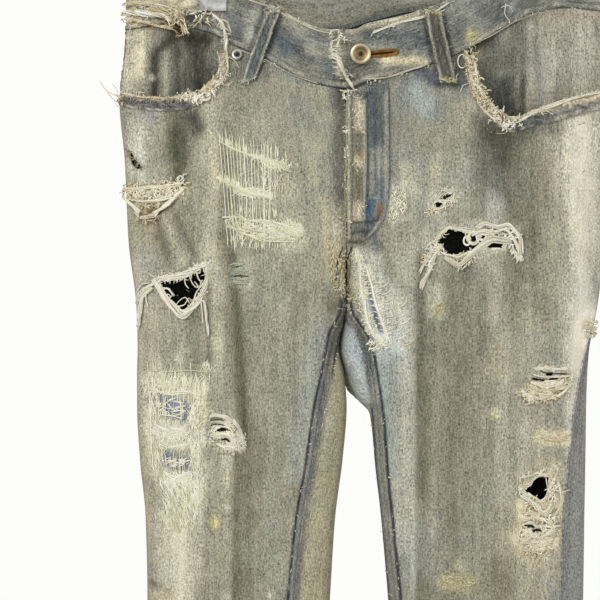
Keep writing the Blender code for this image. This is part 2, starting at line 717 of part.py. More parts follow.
def build_bindings(fronts):
    """Make the bound edges of the pocket mouths, on the panel along its cut edge."""
    for side, mouth in (("right", RIGHT_MOUTH), ("left", LEFT_MOUTH)):
        line = np.array(mouth, float)
        steps = np.concatenate([[0.0], np.cumsum(np.linalg.norm(np.diff(line, axis=0), axis=1))])
        levels = RIGHT_LEVELS if side == "right" else LEFT_LEVELS
        reach = abs(read_table(levels, "outer", line[-1][1])) - BINDING_END
        last = float(np.interp(reach, np.abs(line[2:, 0]), steps[2:]))
        places = np.linspace(BINDING_START, last, 17)
        centre = np.stack([np.interp(places, steps, line[:, axis]) for axis in range(2)], axis=1)
        along = np.gradient(centre, axis=0)
        along /= np.linalg.norm(along, axis=1, keepdims=True)
        inward = np.stack([along[:, 1], -along[:, 0]], axis=1)
        if inward[len(inward) // 2, 1] > 0.0:
            inward = -inward
        offsets = np.array((-BINDING_HALF, 0.0, BINDING_HALF))
        xs = centre[None, :, 0] + offsets[:, None] * inward[None, :, 0]
        zs = centre[None, :, 1] + offsets[:, None] * inward[None, :, 1]
        points, normals = fronts[side].patch(xs, zs)
        cloth_wall(f"pocket_edge_{side}", points, normals, TRIM_WALL, "thread_edge", LIFT)


def build_fly(fronts):
    """Make the J-shaped fly flap on the left front panel."""
    shares = np.array((0.0, 0.35, 0.7, 1.0))
    xs, zs = [], []
    for z in np.linspace(FLY_WIDTHS[0][0], FLY_WIDTHS[-1][0], 11):
        width = np.interp(-z, [-row[0] for row in FLY_WIDTHS], [row[1] for row in FLY_WIDTHS])
        start = MID + 0.6
        x = start + width * shares
        top = seam_height(FRONT_SEAM, x) - 3.0
        fade = 1.0 - smoothstep(FLY_WIDTHS[0][0], -270.0, z)
        xs.append(x)
        zs.append(z + (top - FLY_WIDTHS[0][0]) * fade)
    points, normals = fronts["left"].patch(np.array(xs), np.array(zs))
    cloth_wall("fly_flap", points, normals, TRIM_WALL, "denim_front", LIFT)


def build_back_pockets(backs):
    """Make the patch pockets of the back, each a piece of the panel's own grid with a pointed lower edge."""
    start, stop = POCKET_COLUMNS
    top, sides, tip = POCKET_ROWS
    columns = [start, *range(math.ceil(start), math.floor(stop) + 1), stop]
    inner_rows = list(range(math.ceil(top), math.floor(sides) + 1))
    us, vs = [], []
    for column in columns:
        point = 1.0 - abs(2.0 * (column - start) / (stop - start) - 1.0)
        rows = [top, *inner_rows, sides + (tip - sides) * point]
        us.append([column] * len(rows))
        vs.append(rows)
    for side, surface in backs.items():
        points, normals = surface.cells(np.array(us).T, np.array(vs).T)
        cloth_wall(f"back_pocket_{side}", points, normals, TRIM_WALL, "denim_back", LIFT + 2.0 * SEAM_GAP)


def build_hems(fronts, backs):
    """Make the hem bands, from the last rows of the panels moved out."""
    for side in ("right", "left"):
        ring = np.concatenate([fronts[side].grid[-2:], backs[side].grid[-2:, ::-1]], axis=1)
        normals = np.concatenate([fronts[side].normals[-2:], backs[side].normals[-2:, ::-1]], axis=1)
        cloth_wall(f"hem_{side}", ring, normals, TRIM_WALL, "denim_front", LIFT, ring=True)


def turned(name, profile, material, segments=24):
    """Turn a profile of radius and height round Z into one closed solid."""
    shape = bmesh.new()
    rings = []
    for radius, height in profile:
        if radius == 0.0:
            rings.append([shape.verts.new((0.0, 0.0, height * MM))])
            continue
        rings.append([
            shape.verts.new((
                radius * MM * math.cos(2 * math.pi * k / segments),
                radius * MM * math.sin(2 * math.pi * k / segments),
                height * MM,
            ))
            for k in range(segments)
        ])
    for low, high in zip(rings[:-1], rings[1:]):
        for k in range(segments):
            following = (k + 1) % segments
            if len(low) == 1:
                shape.faces.new((low[0], high[k], high[following]))
            elif len(high) == 1:
                shape.faces.new((low[k], low[following], high[0]))
            else:
                shape.faces.new((low[k], low[following], high[following], high[k]))
    bmesh.ops.recalc_face_normals(shape, faces=shape.faces)
    mesh = bpy.data.meshes.new(name)
    shape.to_mesh(mesh)
    shape.free()
    item = bpy.data.objects.new(name, mesh)
    bpy.context.collection.objects.link(item)
    mesh.materials.append(finish(material))
    mesh.shade_smooth()
    mesh.set_sharp_from_angle(angle=math.radians(40))
    return item


def set_on(item, point, normal, lift):
    """Stand a turned piece on the cloth, its axis along the cloth's normal."""
    item.location = Vector(point + normal * lift) * MM
    item.rotation_euler = Vector(normal).to_track_quat("Z", "Y").to_euler()


def build_hardware(fronts):
    """Make the shank button and the pocket rivet."""
    button = turned(
        "shank_button",
        ((0.0, 0.0), (4.0, 0.0), (4.2, 1.6), (BUTTON_RADIUS - 0.6, 2.0), (BUTTON_RADIUS, 2.7),
         (BUTTON_RADIUS - 0.4, 3.7), (BUTTON_RADIUS - 1.6, BUTTON_HEIGHT), (5.4, 3.7), (3.6, 2.9),
         (1.4, 2.9), (0.0, 3.3)),
        "old_nickel",
    )
    x, z = BUTTON_AT
    depth = float(half_depth(LEFT_LEVELS, x, z, False, TOP_LEVEL)) + BAND_WALL + 2 * SEAM_GAP
    set_on(button, np.array((x, -depth, z)), np.array((0.0, -1.0, 0.0)), 0.7)
    rivet = turned(
        "rivet_right",
        ((0.0, 0.0), (RIVET_RADIUS, 0.0), (RIVET_RADIUS, 0.7), (RIVET_RADIUS - 0.9, 1.4),
         (2.4, RIVET_HEIGHT), (1.4, 1.2), (0.0, 1.2)),
        "old_nickel",
        20,
    )
    point, normal = fronts["right"].place(*RIVET_AT)
    set_on(rivet, point, normal, 0.9)


def hook_points():
    """Centre line of the hook, from its open end over the top and down its stem."""
    radius = HOOK_RADIUS + WIRE_RADIUS
    points = []
    for k in range(17):
        angle = math.radians(205.0 - 235.0 * k / 16.0)
        points.append((radius * math.cos(angle), -HOOK_RADIUS + radius * math.sin(angle)))
    stem_top = points[-1]
    end = BAR_Z + BAR_RADIUS + BOSS_HEIGHT + SEAM_GAP
    for share in (0.2, 0.4, 0.6, 0.8):
        ease = float(smoothstep(0.0, 1.0, share))
        points.append((stem_top[0] * (1.0 - ease), stem_top[1] + (end + 12.0 - stem_top[1]) * share))
    points.append((0.0, end + 12.0))
    points.append((0.0, end))
    return [(x, 0.0, z) for x, z in points]


def build_hanger():
    """Make the hook, the bar with its boss, and the two clips."""
    curve = bpy.data.curves.new("hanger_hook", "CURVE")
    curve.dimensions = "3D"
    curve.bevel_depth = WIRE_RADIUS * MM
    curve.bevel_resolution = 3
    curve.use_fill_caps = True
    spline = curve.splines.new("POLY")
    points = hook_points()
    spline.points.add(len(points) - 1)
    for knot, point in zip(spline.points, points):
        knot.co = (*(value * MM for value in point), 1.0)
    hook = bpy.data.objects.new("hanger_hook", curve)
    bpy.context.collection.objects.link(hook)
    curve.materials.append(finish("steel"))

    bar = turned(
        "hanger_bar",
        ((0.0, -BAR_HALF), (BAR_RADIUS - 0.6, -BAR_HALF), (BAR_RADIUS, -BAR_HALF + 0.8),
         (BAR_RADIUS, BAR_HALF - 0.8), (BAR_RADIUS - 0.6, BAR_HALF), (0.0, BAR_HALF)),
        "steel",
        16,
    )
    bar.location = (0.0, 0.0, BAR_Z * MM)
    bar.rotation_euler = (0.0, math.pi / 2.0 - BAR_TILT, 0.0)
    boss = turned(
        "boss_shape",
        ((0.0, -BAR_RADIUS - 1.5), (BOSS_RADIUS, -BAR_RADIUS - 1.5), (BOSS_RADIUS, BAR_RADIUS + BOSS_HEIGHT),
         (0.0, BAR_RADIUS + BOSS_HEIGHT)),
        "steel",
        16,
    )
    boss.location = (0.0, 0.0, BAR_Z * MM)
    boss.hide_render = True
    boss.display_type = "WIRE"
    union = bar.modifiers.new("boss", "BOOLEAN")
    union.operation = "UNION"
    union.solver = "EXACT"
    union.object = boss
    for name, clip_x in zip(("right", "left"), CLIP_X):
        build_clip(name, clip_x)


def build_clip(name, clip_x):
    """Make one clip: two sprung jaws that meet the waistband, and the coil between them on the bar."""
    centre = bar_height(clip_x)
    press = PINCHED + 2.0 * SEAM_GAP
    open_at = SPRING_RADIUS + SEAM_GAP
    profile = (
        (press + 1.6, -CLIP_DROP - 1.0), (press, -CLIP_DROP + 1.5), (press, -13.0), (open_at, -6.0),
        (open_at, 6.0), (open_at + 4.0, 15.0), (open_at + 8.5, 24.0),
    )
    for face, sign in (("front", -1.0), ("back", 1.0)):
        outside, inside = [], []
        for depth, height in profile:
            z = centre + height
            stations = [clip_x + step * CLIP_HALF_WIDTH for step in (-1, 0, 1)]
            outside.append([(x, sign * (depth + JAW_WALL), z) for x in stations])
            inside.append([(x, sign * depth, z) for x in stations])
        closed_grid(f"clip_{name}_jaw_{face}", np.array(outside), np.array(inside), "steel")
    half = CLIP_HALF_WIDTH - 3.0
    spring = turned(
        f"clip_{name}_spring",
        ((BAR_RADIUS + SEAM_GAP, -half), (SPRING_RADIUS, -half), (SPRING_RADIUS, half),
         (BAR_RADIUS + SEAM_GAP, half), (BAR_RADIUS + SEAM_GAP, -half)),
        "dark_steel",
        20,
    )
    weld = bmesh.new()
    weld.from_mesh(spring.data)
    bmesh.ops.remove_doubles(weld, verts=weld.verts, dist=0.00001)
    bmesh.ops.recalc_face_normals(weld, faces=weld.faces)
    weld.to_mesh(spring.data)
    weld.free()
    spring.location = (clip_x * MM, 0.0, centre * MM)
    spring.rotation_euler = (0.0, math.pi / 2.0 - BAR_TILT, 0.0)


def main():
    """Build the whole part."""
    clear_scene()
    fronts = build_fronts()
    backs = build_backs()
    build_waistband()
    build_facings()
    build_bindings(fronts)
    build_fly(fronts)
    build_loops()
    build_back_pockets(backs)
    build_hems(fronts, backs)
    build_hardware(fronts)
    build_hanger()


if __name__ == "__main__":
    main()
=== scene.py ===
"""Worn, ripped jeans on a clip hanger, finished over the CAD frame.

Sizes are in millimetres until a mesh is made. X runs to the wearer's left, Y to the garment's back and Z
up, and the origin is the inner top of the hanger's hook. A place on the cloth is given by its x and z as
it hangs.
"""

import logging
import math
from dataclasses import dataclass, field
from enum import Enum
from typing import Sequence

import bmesh
import bpy
import numpy as np
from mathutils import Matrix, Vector


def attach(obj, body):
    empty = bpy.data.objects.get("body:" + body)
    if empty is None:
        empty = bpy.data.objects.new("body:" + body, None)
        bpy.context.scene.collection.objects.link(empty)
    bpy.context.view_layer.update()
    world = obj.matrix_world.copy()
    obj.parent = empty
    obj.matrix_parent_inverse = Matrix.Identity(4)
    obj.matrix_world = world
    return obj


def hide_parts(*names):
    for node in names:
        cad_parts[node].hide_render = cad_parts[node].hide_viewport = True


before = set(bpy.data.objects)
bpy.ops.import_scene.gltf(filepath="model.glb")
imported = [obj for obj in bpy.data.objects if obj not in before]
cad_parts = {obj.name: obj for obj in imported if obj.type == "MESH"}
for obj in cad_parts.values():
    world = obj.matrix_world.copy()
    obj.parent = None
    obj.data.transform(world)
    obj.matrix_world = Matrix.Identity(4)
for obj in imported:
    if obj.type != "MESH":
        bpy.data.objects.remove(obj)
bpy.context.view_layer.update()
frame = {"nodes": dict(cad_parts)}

logging.basicConfig(level=logging.INFO, format="%(message)s")
LOG = logging.getLogger("jeans")

MM = 0.001
BODY = "root"
Array = np.ndarray
FORWARD = np.array((0.0, -1.0, 0.0))
BACKWARD = np.array((0.0, 1.0, 0.0))
Place = tuple[float, float]
Shade = tuple[int, int, int]


class Face(Enum):
    """Sides of the garment."""

    FRONT = -1
    BACK = 1


class Half(Enum):
    """Halves of the garment, by the wearer's side."""

    RIGHT = "right"
    LEFT = "left"


# ---------------------------------------------------------------- numbers


def smoothstep(start: float, end: float, value: Array) -> Array:
    """Rise from 0 at start to 1 at end with level ends."""
    t = np.clip((value - start) / (end - start), 0.0, 1.0)
    return t * t * (3.0 - 2.0 * t)


def linear(shade: Shade) -> Array:
    """Turn a display colour of 0 to 255 into linear light."""
    value = np.asarray(shade, float) / 255.0
    return np.where(value <= 0.04045, value / 12.92, ((value + 0.055) / 1.055) ** 2.4)


def speckle(x: Array, z: Array, size_x: float, size_z: float, seed: int) -> Array:
    """Smooth noise from -1 to 1.

    Args:
        x, z: places in millimetres.
        size_x, size_z: grain of the noise.
        seed: picks one noise of many.

    Returns:
        The noise at each place.
    """
    u, v = np.asarray(x, float) / size_x, np.asarray(z, float) / size_z
    iu, iv = np.floor(u), np.floor(v)
    fu, fv = u - iu, v - iv
    fu, fv = fu * fu * (3 - 2 * fu), fv * fv * (3 - 2 * fv)

    def corner(du: int, dv: int) -> Array:
        """A repeatable number from 0 to 1 at a corner of each place's cell."""
        value = np.sin((iu + du) * 127.1 + (iv + dv) * 311.7 + seed * 74.7) * 4375.85
        return value - np.floor(value)

    low = corner(0, 0) * (1 - fu) + corner(1, 0) * fu
    high = corner(0, 1) * (1 - fu) + corner(1, 1) * fu
    return 2.0 * (low * (1 - fv) + high * fv) - 1.0


def mottle(x: Array, z: Array, size: float, seed: int) -> Array:
    """Three layers of noise, about -1 to 1."""
    return sum(speckle(x, z, size / 2**k, size / 2**k, seed + 7 * k) * 0.58 / 1.6**k for k in range(3))


def bell(gap: Array, width: float) -> Array:
    """Fall smoothly from 1 at no gap towards 0 past the width."""
    return np.exp(-((gap / width) ** 2))


def run_of(points: Array) -> Array:
    """Length of a line up to each of its points."""
    return np.concatenate([[0.0], np.cumsum(np.linalg.norm(np.diff(points, axis=0), axis=1))])


def laid(tint: Array, shade: Shade, share: Array) -> Array:
    """Lay a display colour over linear ones.

    Args:
        tint: the linear colours, a row each.
        shade: what is laid over them.
        share: how much of it shows at each row, from 0 to 1.

    Returns:
        The changed colours.
    """
    share = np.reshape(share, (-1, 1))
    return tint * (1 - share) + linear(shade) * share


class Curve:
    """A smooth curve through knots that never overshoots them."""

    def __init__(self, knots: Sequence[Sequence[float]], column: int = 1) -> None:
        """Read the knots.

        Args:
            knots: rows whose first number is the place.
            column: which number of a row is the value.
        """
        table = np.array(sorted((row[0], row[column]) for row in knots), float)
        self.at, self.value = table[:, 0], table[:, 1]
        self.step = np.diff(self.at)
        slope = np.diff(self.value) / self.step
        product, total = slope[:-1] * slope[1:], slope[:-1] + slope[1:]
        middle = np.where(product > 0, 2 * product / np.where(total == 0, 1, total), 0.0)
        self.slope = np.concatenate([[slope[0]], middle, [slope[-1]]])

    def __call__(self, where: Array) -> Array:
        """Read the curve.

        Args:
            where: places, held to the ends of the curve.

        Returns:
            The values there.
        """
        where = np.clip(np.asarray(where, float), self.at[0], self.at[-1])
        i = np.clip(np.searchsorted(self.at, where) - 1, 0, len(self.step) - 1)
        h = self.step[i]
        t = (where - self.at[i]) / h
        t2, t3 = t * t, t * t * t
        return (
            (2 * t3 - 3 * t2 + 1) * self.value[i] + (t3 - 2 * t2 + t) * h * self.slope[i]
            + (3 * t2 - 2 * t3) * self.value[i + 1] + (t3 - t2) * h * self.slope[i + 1]
        )


def walk(path: Sequence[Place], step: float) -> Array:
    """Points along a smooth line through a path.

    Args:
        path: its places.
        step: how far apart the points are.

    Returns:
        The points, one row each.
    """
    knots = np.array(path, float)
    run = run_of(knots)
    count = max(2, int(round(run[-1] / step)) + 1)
    places = np.linspace(0.0, run[-1], count)
    curves = (Curve(np.stack([run, column], axis=1)) for column in knots.T)
    return np.stack([curve(places) for curve in curves], axis=1)


def within(x: Array, z: Array, outline: Array) -> Array:
    """Tell which places lie inside an outline.

    Args:
        x, z: the places.
        outline: corners of the outline.

    Returns:
        True for each place inside.
    """
    inside = np.zeros(np.shape(x), bool)
    for (ax, az), (bx, bz) in zip(outline, np.roll(outline, -1, axis=0)):
        if az == bz:
            continue
        crosses = (az > z) != (bz > z)
        inside ^= crosses & (x < ax + (z - az) * (bx - ax) / (bz - az))
    return inside


def nearest_on(x: Array, z: Array, outline: Array, closed: bool = True) -> tuple[Array, Array, Array]:
    """Find the nearest point of a line to each place.

    Args:
        x, z: the places.
        outline: points of the line.
        closed: whether the line returns to its start.

    Returns:
        The nearest x, the nearest z and the distance.
    """
    best = np.full(np.shape(x), np.inf)
    near_x, near_z = np.array(x, float), np.array(z, float)
    ends = np.roll(outline, -1, axis=0) if closed else outline[1:]
    for (ax, az), (bx, bz) in zip(outline, ends):
        length = max((bx - ax) ** 2 + (bz - az) ** 2, 1e-9)
        t = np.clip(((x - ax) * (bx - ax) + (z - az) * (bz - az)) / length, 0.0, 1.0)
        px, pz = ax + t * (bx - ax), az + t * (bz - az)
        gap = np.hypot(x - px, z - pz)
        closer = gap < best
        best = np.where(closer, gap, best)
        near_x, near_z = np.where(closer, px, near_x), np.where(closer, pz, near_z)
    return near_x, near_z, best


def ragged(outline: Sequence[Place], step: float, amount: float, seed: int) -> Array:
    """Make an outline's edge uneven.

    Args:
        outline: its corners.
        step: how far apart the new points are.
        amount: how far they wander.
        seed: picks the unevenness.

    Returns:
        The new outline.
    """
    points = walk([*outline, outline[0]], step)[:-1]
    points[:, 0] += amount * speckle(points[:, 0], points[:, 1], 3.1, 3.7, seed)
    points[:, 1] += amount * speckle(points[:, 0], points[:, 1], 3.3, 2.9, seed + 5)
    return points


def straight(corners: Sequence[Place], step: float) -> Array:
    """Points along straight runs between corners.

    Args:
        corners: the corners.
        step: how far apart the points are.

    Returns:
        The points, one row each.
    """
    parts = []
    for (ax, az), (bx, bz) in zip(corners[:-1], corners[1:]):
        t = np.linspace(0, 1, max(2, int(math.hypot(bx - ax, bz - az) / step)), endpoint=False)[:, None]
        parts.append(np.array((ax, az)) * (1 - t) + np.array((bx, bz)) * t)
    return np.concatenate([*parts, np.array([corners[-1]])])


def bilinear(grid: Array, row: Array, column: Array) -> Array:
    """Read a grid between its points.

    Args:
        grid: values by row and column.
        row, column: the places, in rows and columns.

    Returns:
        The value at each place.
    """
    i, j = np.floor(row).astype(int), np.floor(column).astype(int)
    fi, fj = (row - i)[..., None], (column - j)[..., None]
    upper = grid[i, j] * (1 - fj) + grid[i, j + 1] * fj
    lower = grid[i + 1, j] * (1 - fj) + grid[i + 1, j + 1] * fj
    return upper * (1 - fi) + lower * fi


# ---------------------------------------------------------------- the garment's form


@dataclass(frozen=True)
class Fold:
    """A soft ridge, or a trough where the height is below 0, along a line."""

    x0: float
    z0: float
    x1: float
    z1: float
    width: float
    height: float


@dataclass(frozen=True)
class Form:
    """The form of the hanging garment: its outlines, its depth and its folds."""

    middle: float = -6.8
    hem: float = -1130.0
    pelvis_power: float = 2.6
    leg_power: float = 2.3
    smoothed: dict = field(
        default_factory=lambda: {Face.FRONT: (-325.0, -387.0), Face.BACK: (-285.0, -387.0)}
    )
    top: float = -165.0
    crotch: float = -378.0
    level_rounds: int = 14
    slope_step: float = 1.5
    sag_end: float = -285.0
    yoke_sag_end: float = -350.0
    yoke_top: float = -228.0
    yoke_drop: Place = (42.0, 68.0)
    clip_x: Place = (-116.0, 178.0)
    clip_half: float = 11.0
    clip_margin: float = 10.0
    clip_drop: float = 43.0
    pinch_aside: float = 22.0
    pinch_below: float = 75.0
    pinched: float = 3.3
    bar_z: float = -95.0
    bar_tilt: float = math.radians(2.5)
    # The waistband's left end laps over the right one
    lap_end: float = -16.5
    lap_start: float = 24.0
    lap_flat: float = 48.0
    lap_height: float = 2.8
    # level, outer silhouette, inner silhouette, side seam, inseam
    right_levels: tuple = (
        (-95, -190, -7.05, -190, -7.05), (-165, -187.5, -7.05, -187.5, -7.05),
        (-219, -193, -7.05, -193, -7.05),
        (-268, -188.5, -7.05, -188.5, -7.05), (-332, -185.5, -7.05, -185.5, -7.05),
        (-387, -179, -7.05, -179, -7.05), (-409, -178.2, -11.3, -178.2, -17),
        (-421, -178, -12.7, -178, -19.5),
        (-440, -178.5, -8.6, -178.5, -23), (-468, -178.5, -6.2, -178.5, -29),
        (-513, -176, -9.7, -176, -35.5),
        (-559, -171.5, -15.6, -171.5, -43.5), (-624, -170, -19.8, -170, -50), (-700, -170, -24, -170, -55),
        (-900, -171, -26.5, -171, -58.5), (-1130, -172, -28, -172, -60),
    )
    left_levels: tuple = (
        (-95, 209, -6.55, 209, -6.55), (-165, 208.5, -6.55, 208.5, -6.55), (-219, 210, -6.55, 210, -6.55),
        (-300, 208, -6.55, 208, -6.55), (-340, 205, -6.55, 205, -6.55), (-387, 199.5, -6.55, 199.5, -6.55),
        (-409, 195, -10, 192.5, 5.5), (-421, 193, -11.3, 189.5, 10.5), (-440, 191.5, -6.4, 185, 14),
        (-462, 190.6, 2, 181, 17.4), (-474, 190.4, 12.5, 179, 19.3), (-520, 189.7, 17.4, 174, 22.7),
        (-559, 189, 21.9, 170.5, 26.7), (-624, 188, 27.5, 169, 33), (-700, 186, 33, 168, 38.5),
        (-900, 183, 36, 166, 42), (-1130, 180, 38, 165, 44),
    )
    # level, half depth of the front, half depth of the back
    depths: tuple = (
        (-95, 24, 22), (-165, 29, 28), (-219, 35, 38), (-300, 39, 45), (-381, 37, 40), (-440, 33, 34),
        (-560, 31, 31), (-800, 29, 29), (-1130, 26, 27),
    )
    front_seam: tuple = (
        (-190, -160), (-150, -156), (-121, -160.5), (-100, -171.5), (-72, -185), (-51, -197.5),
        (-29, -206.5),
        (-6, -209.5), (9, -204.5), (36, -198.5), (64, -189), (84, -181), (124, -158.5), (146, -146.5),
        (172, -141.3), (209, -145),
    )
    back_seam: tuple = (
        (-190, -160), (-150, -157), (-116, -158), (-69, -158), (-28, -158), (-7, -154.5), (10, -149),
        (54, -139), (100, -136), (150, -138), (178, -141.5), (209, -145),
    )
    front_folds: tuple[Fold, ...] = (
        Fold(-138, -234, -146, -286, 9, -4.0), Fold(-115, -225, -114, -340, 12, 4.5),
        Fold(-113, -345, -97, -498, 12, 5.0), Fold(-97, -505, -104, -760, 13, 4.5),
        Fold(-103, -250, -101, -385, 10, -5.0), Fold(-99, -392, -87, -526, 10, -5.5),
        Fold(-89, -534, -93, -740, 11, -4.5), Fold(-52, -212, -20, -292, 9, -2.2),
        Fold(121, -250, 134, -395, 24, -9.5), Fold(182, -256, 178, -390, 20, 4.0),
        Fold(40, -385, 41, -700, 11, 4.0), Fold(77, -352, 78, -680, 18, -3.5),
        Fold(122, -410, 121, -720, 11, 4.0), Fold(152, -432, 150, -690, 11, -4.0),
        Fold(-60, -760, -130, -860, 20, -4.0), Fold(70, -770, 140, -850, 20, -4.0),
    )
    back_folds: tuple[Fold, ...] = (
        Fold(-120, -330, -40, -372, 18, -6.0), Fold(125, -335, 35, -374, 18, -6.0),
        Fold(-95, -420, -100, -700, 14, -4.5), Fold(95, -410, 90, -690, 14, -4.5),
        Fold(-130, -455, -122, -860, 13, 4.0), Fold(135, -450, 128, -880, 13, 4.0),
        Fold(-60, -800, -120, -900, 20, -4.5), Fold(75, -790, 140, -880, 20, -4.5),
    )
    # Finer creases that the CAD leaves out
    front_creases: tuple[Fold, ...] = (
        Fold(-176, -246, -170, -300, 5, 1.3), Fold(-162, -330, -166, -372, 5, -1.0),
        Fold(-154, -314, -140, -350, 4, 1.8), Fold(-161, -316, -150, -354, 3.4, -1.4),
        Fold(-146, -314, -131, -346, 3, -1.2), Fold(-144, -240, -142, -286, 5, -2.2),
        Fold(-150, -398, -158, -436, 5, 1.2), Fold(-78, -230, -70, -262, 6, 1.0),
        Fold(-46, -232, -26, -300, 4, 1.3), Fold(-38, -226, -14, -282, 3, -0.9),
        Fold(-30, -330, -12, -372, 5, 1.0), Fold(-48, -350, -14, -392, 5, -1.1),
        Fold(-62, -372, -22, -412, 6, 1.0), Fold(12, -352, 52, -378, 5, -1.2),
        Fold(10, -378, 46, -400, 5, 1.1), Fold(16, -398, 60, -412, 5, -0.9),
        Fold(58, -226, 52, -300, 6, 0.9), Fold(88, -262, 92, -312, 6, 1.1),
        Fold(104, -246, 110, -290, 5, -1.2), Fold(150, -250, 154, -330, 6, 1.3),
        Fold(166, -262, 166, -350, 5, -1.0), Fold(-165, -613, -150, -621, 3, -1.6),
        Fold(-70, -470, -66, -600, 6, 1.1), Fold(-60, -500, -54, -640, 5, -0.9),
        Fold(-132, -430, -128, -560, 5, -1.1), Fold(-120, -590, -84, -606, 6, -1.3),
        Fold(54, -430, 56, -560, 5, -1.1), Fold(98, -470, 96, -610, 6, 1.1),
        Fold(102, -380, 112, -470, 6, -1.1), Fold(137, -500, 136, -620, 4, 1.0),
        Fold(60, -640, 96, -652, 6, -1.4), Fold(-140, -700, -96, -716, 6, -1.4),
        Fold(-108, -236, -82, -244, 4, -1.0), Fold(20, -230, 44, -262, 5, -0.9),
        Fold(84, -560, 60, -590, 5, -1.0), Fold(110, -640, 140, -664, 7, -1.6),
        # The pleat down the right leg, and the bend beside the left inseam
        Fold(-118.5, -345, -117, -500, 2.6, -1.7), Fold(-99.5, -345, -90, -500, 3.4, -2.4),
        Fold(-106, -345, -97, -500, 4, 1.4), Fold(-96, -505, -97, -700, 3.4, -1.8),
        Fold(52.5, -300, 53, -640, 3, -2.0), Fold(45, -330, 46, -640, 5, 1.4),
        Fold(112, -248, 136, -312, 5, -2.2), Fold(139, -250, 158, -330, 7, 1.6),
        # Lumps beside the rips
        Fold(-185, -295, -144, -292, 4.0, 2.6), Fold(-173, -311, -162, -312, 3.0, 2.0),
        Fold(-150, -356, -124, -347, 3.0, 1.5), Fold(-118, -472, -98, -474, 3.0, 1.6),
        Fold(-115, -500, -92, -502, 3.0, 1.6), Fold(-94, -480, -90, -500, 3.0, 2.0),
        Fold(144, -451, 172, -447, 3.0, 1.8), Fold(142, -457, 168, -454, 2.6, 1.6),
        Fold(136, -548, 158, -550, 3.4, 1.8), Fold(134, -558, 160, -560, 3.0, 1.6),
        Fold(134, -571, 160, -570, 3.4, 1.9), Fold(136, -582, 154, -583, 3.0, 1.4),
        Fold(-8, -340, -9, -380, 2.4, 1.8), Fold(-3.5, -340, -4, -378, 1.8, -1.2),
        Fold(3, -346, 22, -414, 3.0, 1.2), Fold(12, -356, 27, -412, 2.4, 0.9),
    )
    back_creases: tuple[Fold, ...] = (
        Fold(-150, -352, -70, -392, 8, 1.8), Fold(150, -356, 60, -394, 8, 1.8),
        Fold(-110, -392, -50, -412, 7, -1.4), Fold(110, -396, 46, -414, 7, -1.4),
        Fold(-60, -440, -66, -620, 8, 1.6), Fold(62, -436, 60, -610, 8, 1.6),
        Fold(-140, -560, -90, -590, 9, -1.8), Fold(142, -566, 96, -596, 9, -1.8),
        Fold(-80, -640, -120, -676, 9, 1.6), Fold(80, -640, 122, -672, 9, 1.6),
        Fold(-20, -300, -30, -360, 8, -1.4), Fold(10, -300, 22, -362, 8, -1.4),
    )

    def __post_init__(self) -> None:
        """Turn the tables into curves."""
        rows = {Half.RIGHT: self.right_levels, Half.LEFT: self.left_levels}
        edges = {
            (half, name): Curve(table, column)
            for half, table in rows.items()
            for column, name in enumerate(("outer", "inner", "side_seam", "inseam"), 1)
        }
        object.__setattr__(self, "edges", edges)
        reach = {Face.FRONT: Curve(self.depths, 1), Face.BACK: Curve(self.depths, 2)}
        object.__setattr__(self, "reach", reach)
        seams = {Face.FRONT: Curve(self.front_seam), Face.BACK: Curve(self.back_seam)}
        object.__setattr__(self, "seams", seams)

    @staticmethod
    def oval(t: Array, power: float) -> Array:
        """Height of an oval section over its width, for t from -1 to 1."""
        return (1.0 - np.clip(np.abs(t), 0.0, 1.0) ** power) ** (1.0 / power)

    @staticmethod
    def raised(folds: Sequence[Fold], x: Array, z: Array) -> Array:
        """Sum of folds.

        Args:
            folds: the ridges and troughs.
            x, z: places on the cloth.

        Returns:
            The height at each place.
        """
        total = np.zeros(np.broadcast(x, z).shape)
        for fold in folds:
            run_x, run_z = fold.x1 - fold.x0, fold.z1 - fold.z0
            length = math.hypot(run_x, run_z)
            along = ((x - fold.x0) * run_x + (z - fold.z0) * run_z) / length
            across = ((x - fold.x0) * run_z - (z - fold.z0) * run_x) / length
            ends = smoothstep(-2 * fold.width, fold.width, along)
            ends = ends * smoothstep(-2 * fold.width, fold.width, length - along)
            total = total + fold.height * bell(across, fold.width) * ends
        return total

    def bar_height(self, x: float) -> float:
        """Height of the hanger's bar at x."""
        return self.bar_z + x * math.tan(self.bar_tilt)

    def pinch(self, x: Array, z: Array) -> Array:
        """How much the clips press the waist together, from 0 to 1.

        Args:
            x, z: places on the cloth.

        Returns:
            The pressing at each place.
        """
        total = np.zeros(np.broadcast(x, z).shape)
        for clip in self.clip_x:
            aside = np.maximum(np.abs(x - clip) - self.clip_half - self.clip_margin, 0.0) / self.pinch_aside
            below = np.maximum(self.bar_height(clip) - self.clip_drop - 4.0 - z, 0.0) / self.pinch_below
            total = np.maximum(total, np.exp(-(aside**2)) * np.exp(-(below**1.5)))
        return total

    def sag(self, face: Face, level: Array, x: Array) -> Array:
        """Height of a row of the cloth: the top follows the waist seam and the rows straighten below.

        Args:
            face: front or back.
            level: the row's level.
            x: places along it.

        Returns:
            The height at each place.
        """
        fade = 1.0 - smoothstep(self.top, self.sag_end, level)
        return level + (self.seams[face](x) - self.top) * fade

    def level_at(self, face: Face, x: Array, z: Array) -> Array:
        """Level of the row that passes a place.

        Args:
            face: front or back.
            x, z: the places.

        Returns:
            The levels.
        """
        level = np.array(z, float)
        for _ in range(self.level_rounds):
            fade = 1.0 - smoothstep(self.top, self.sag_end, level)
            level = 0.4 * level + 0.6 * (z - (self.seams[face](x) - self.top) * fade)
        return level

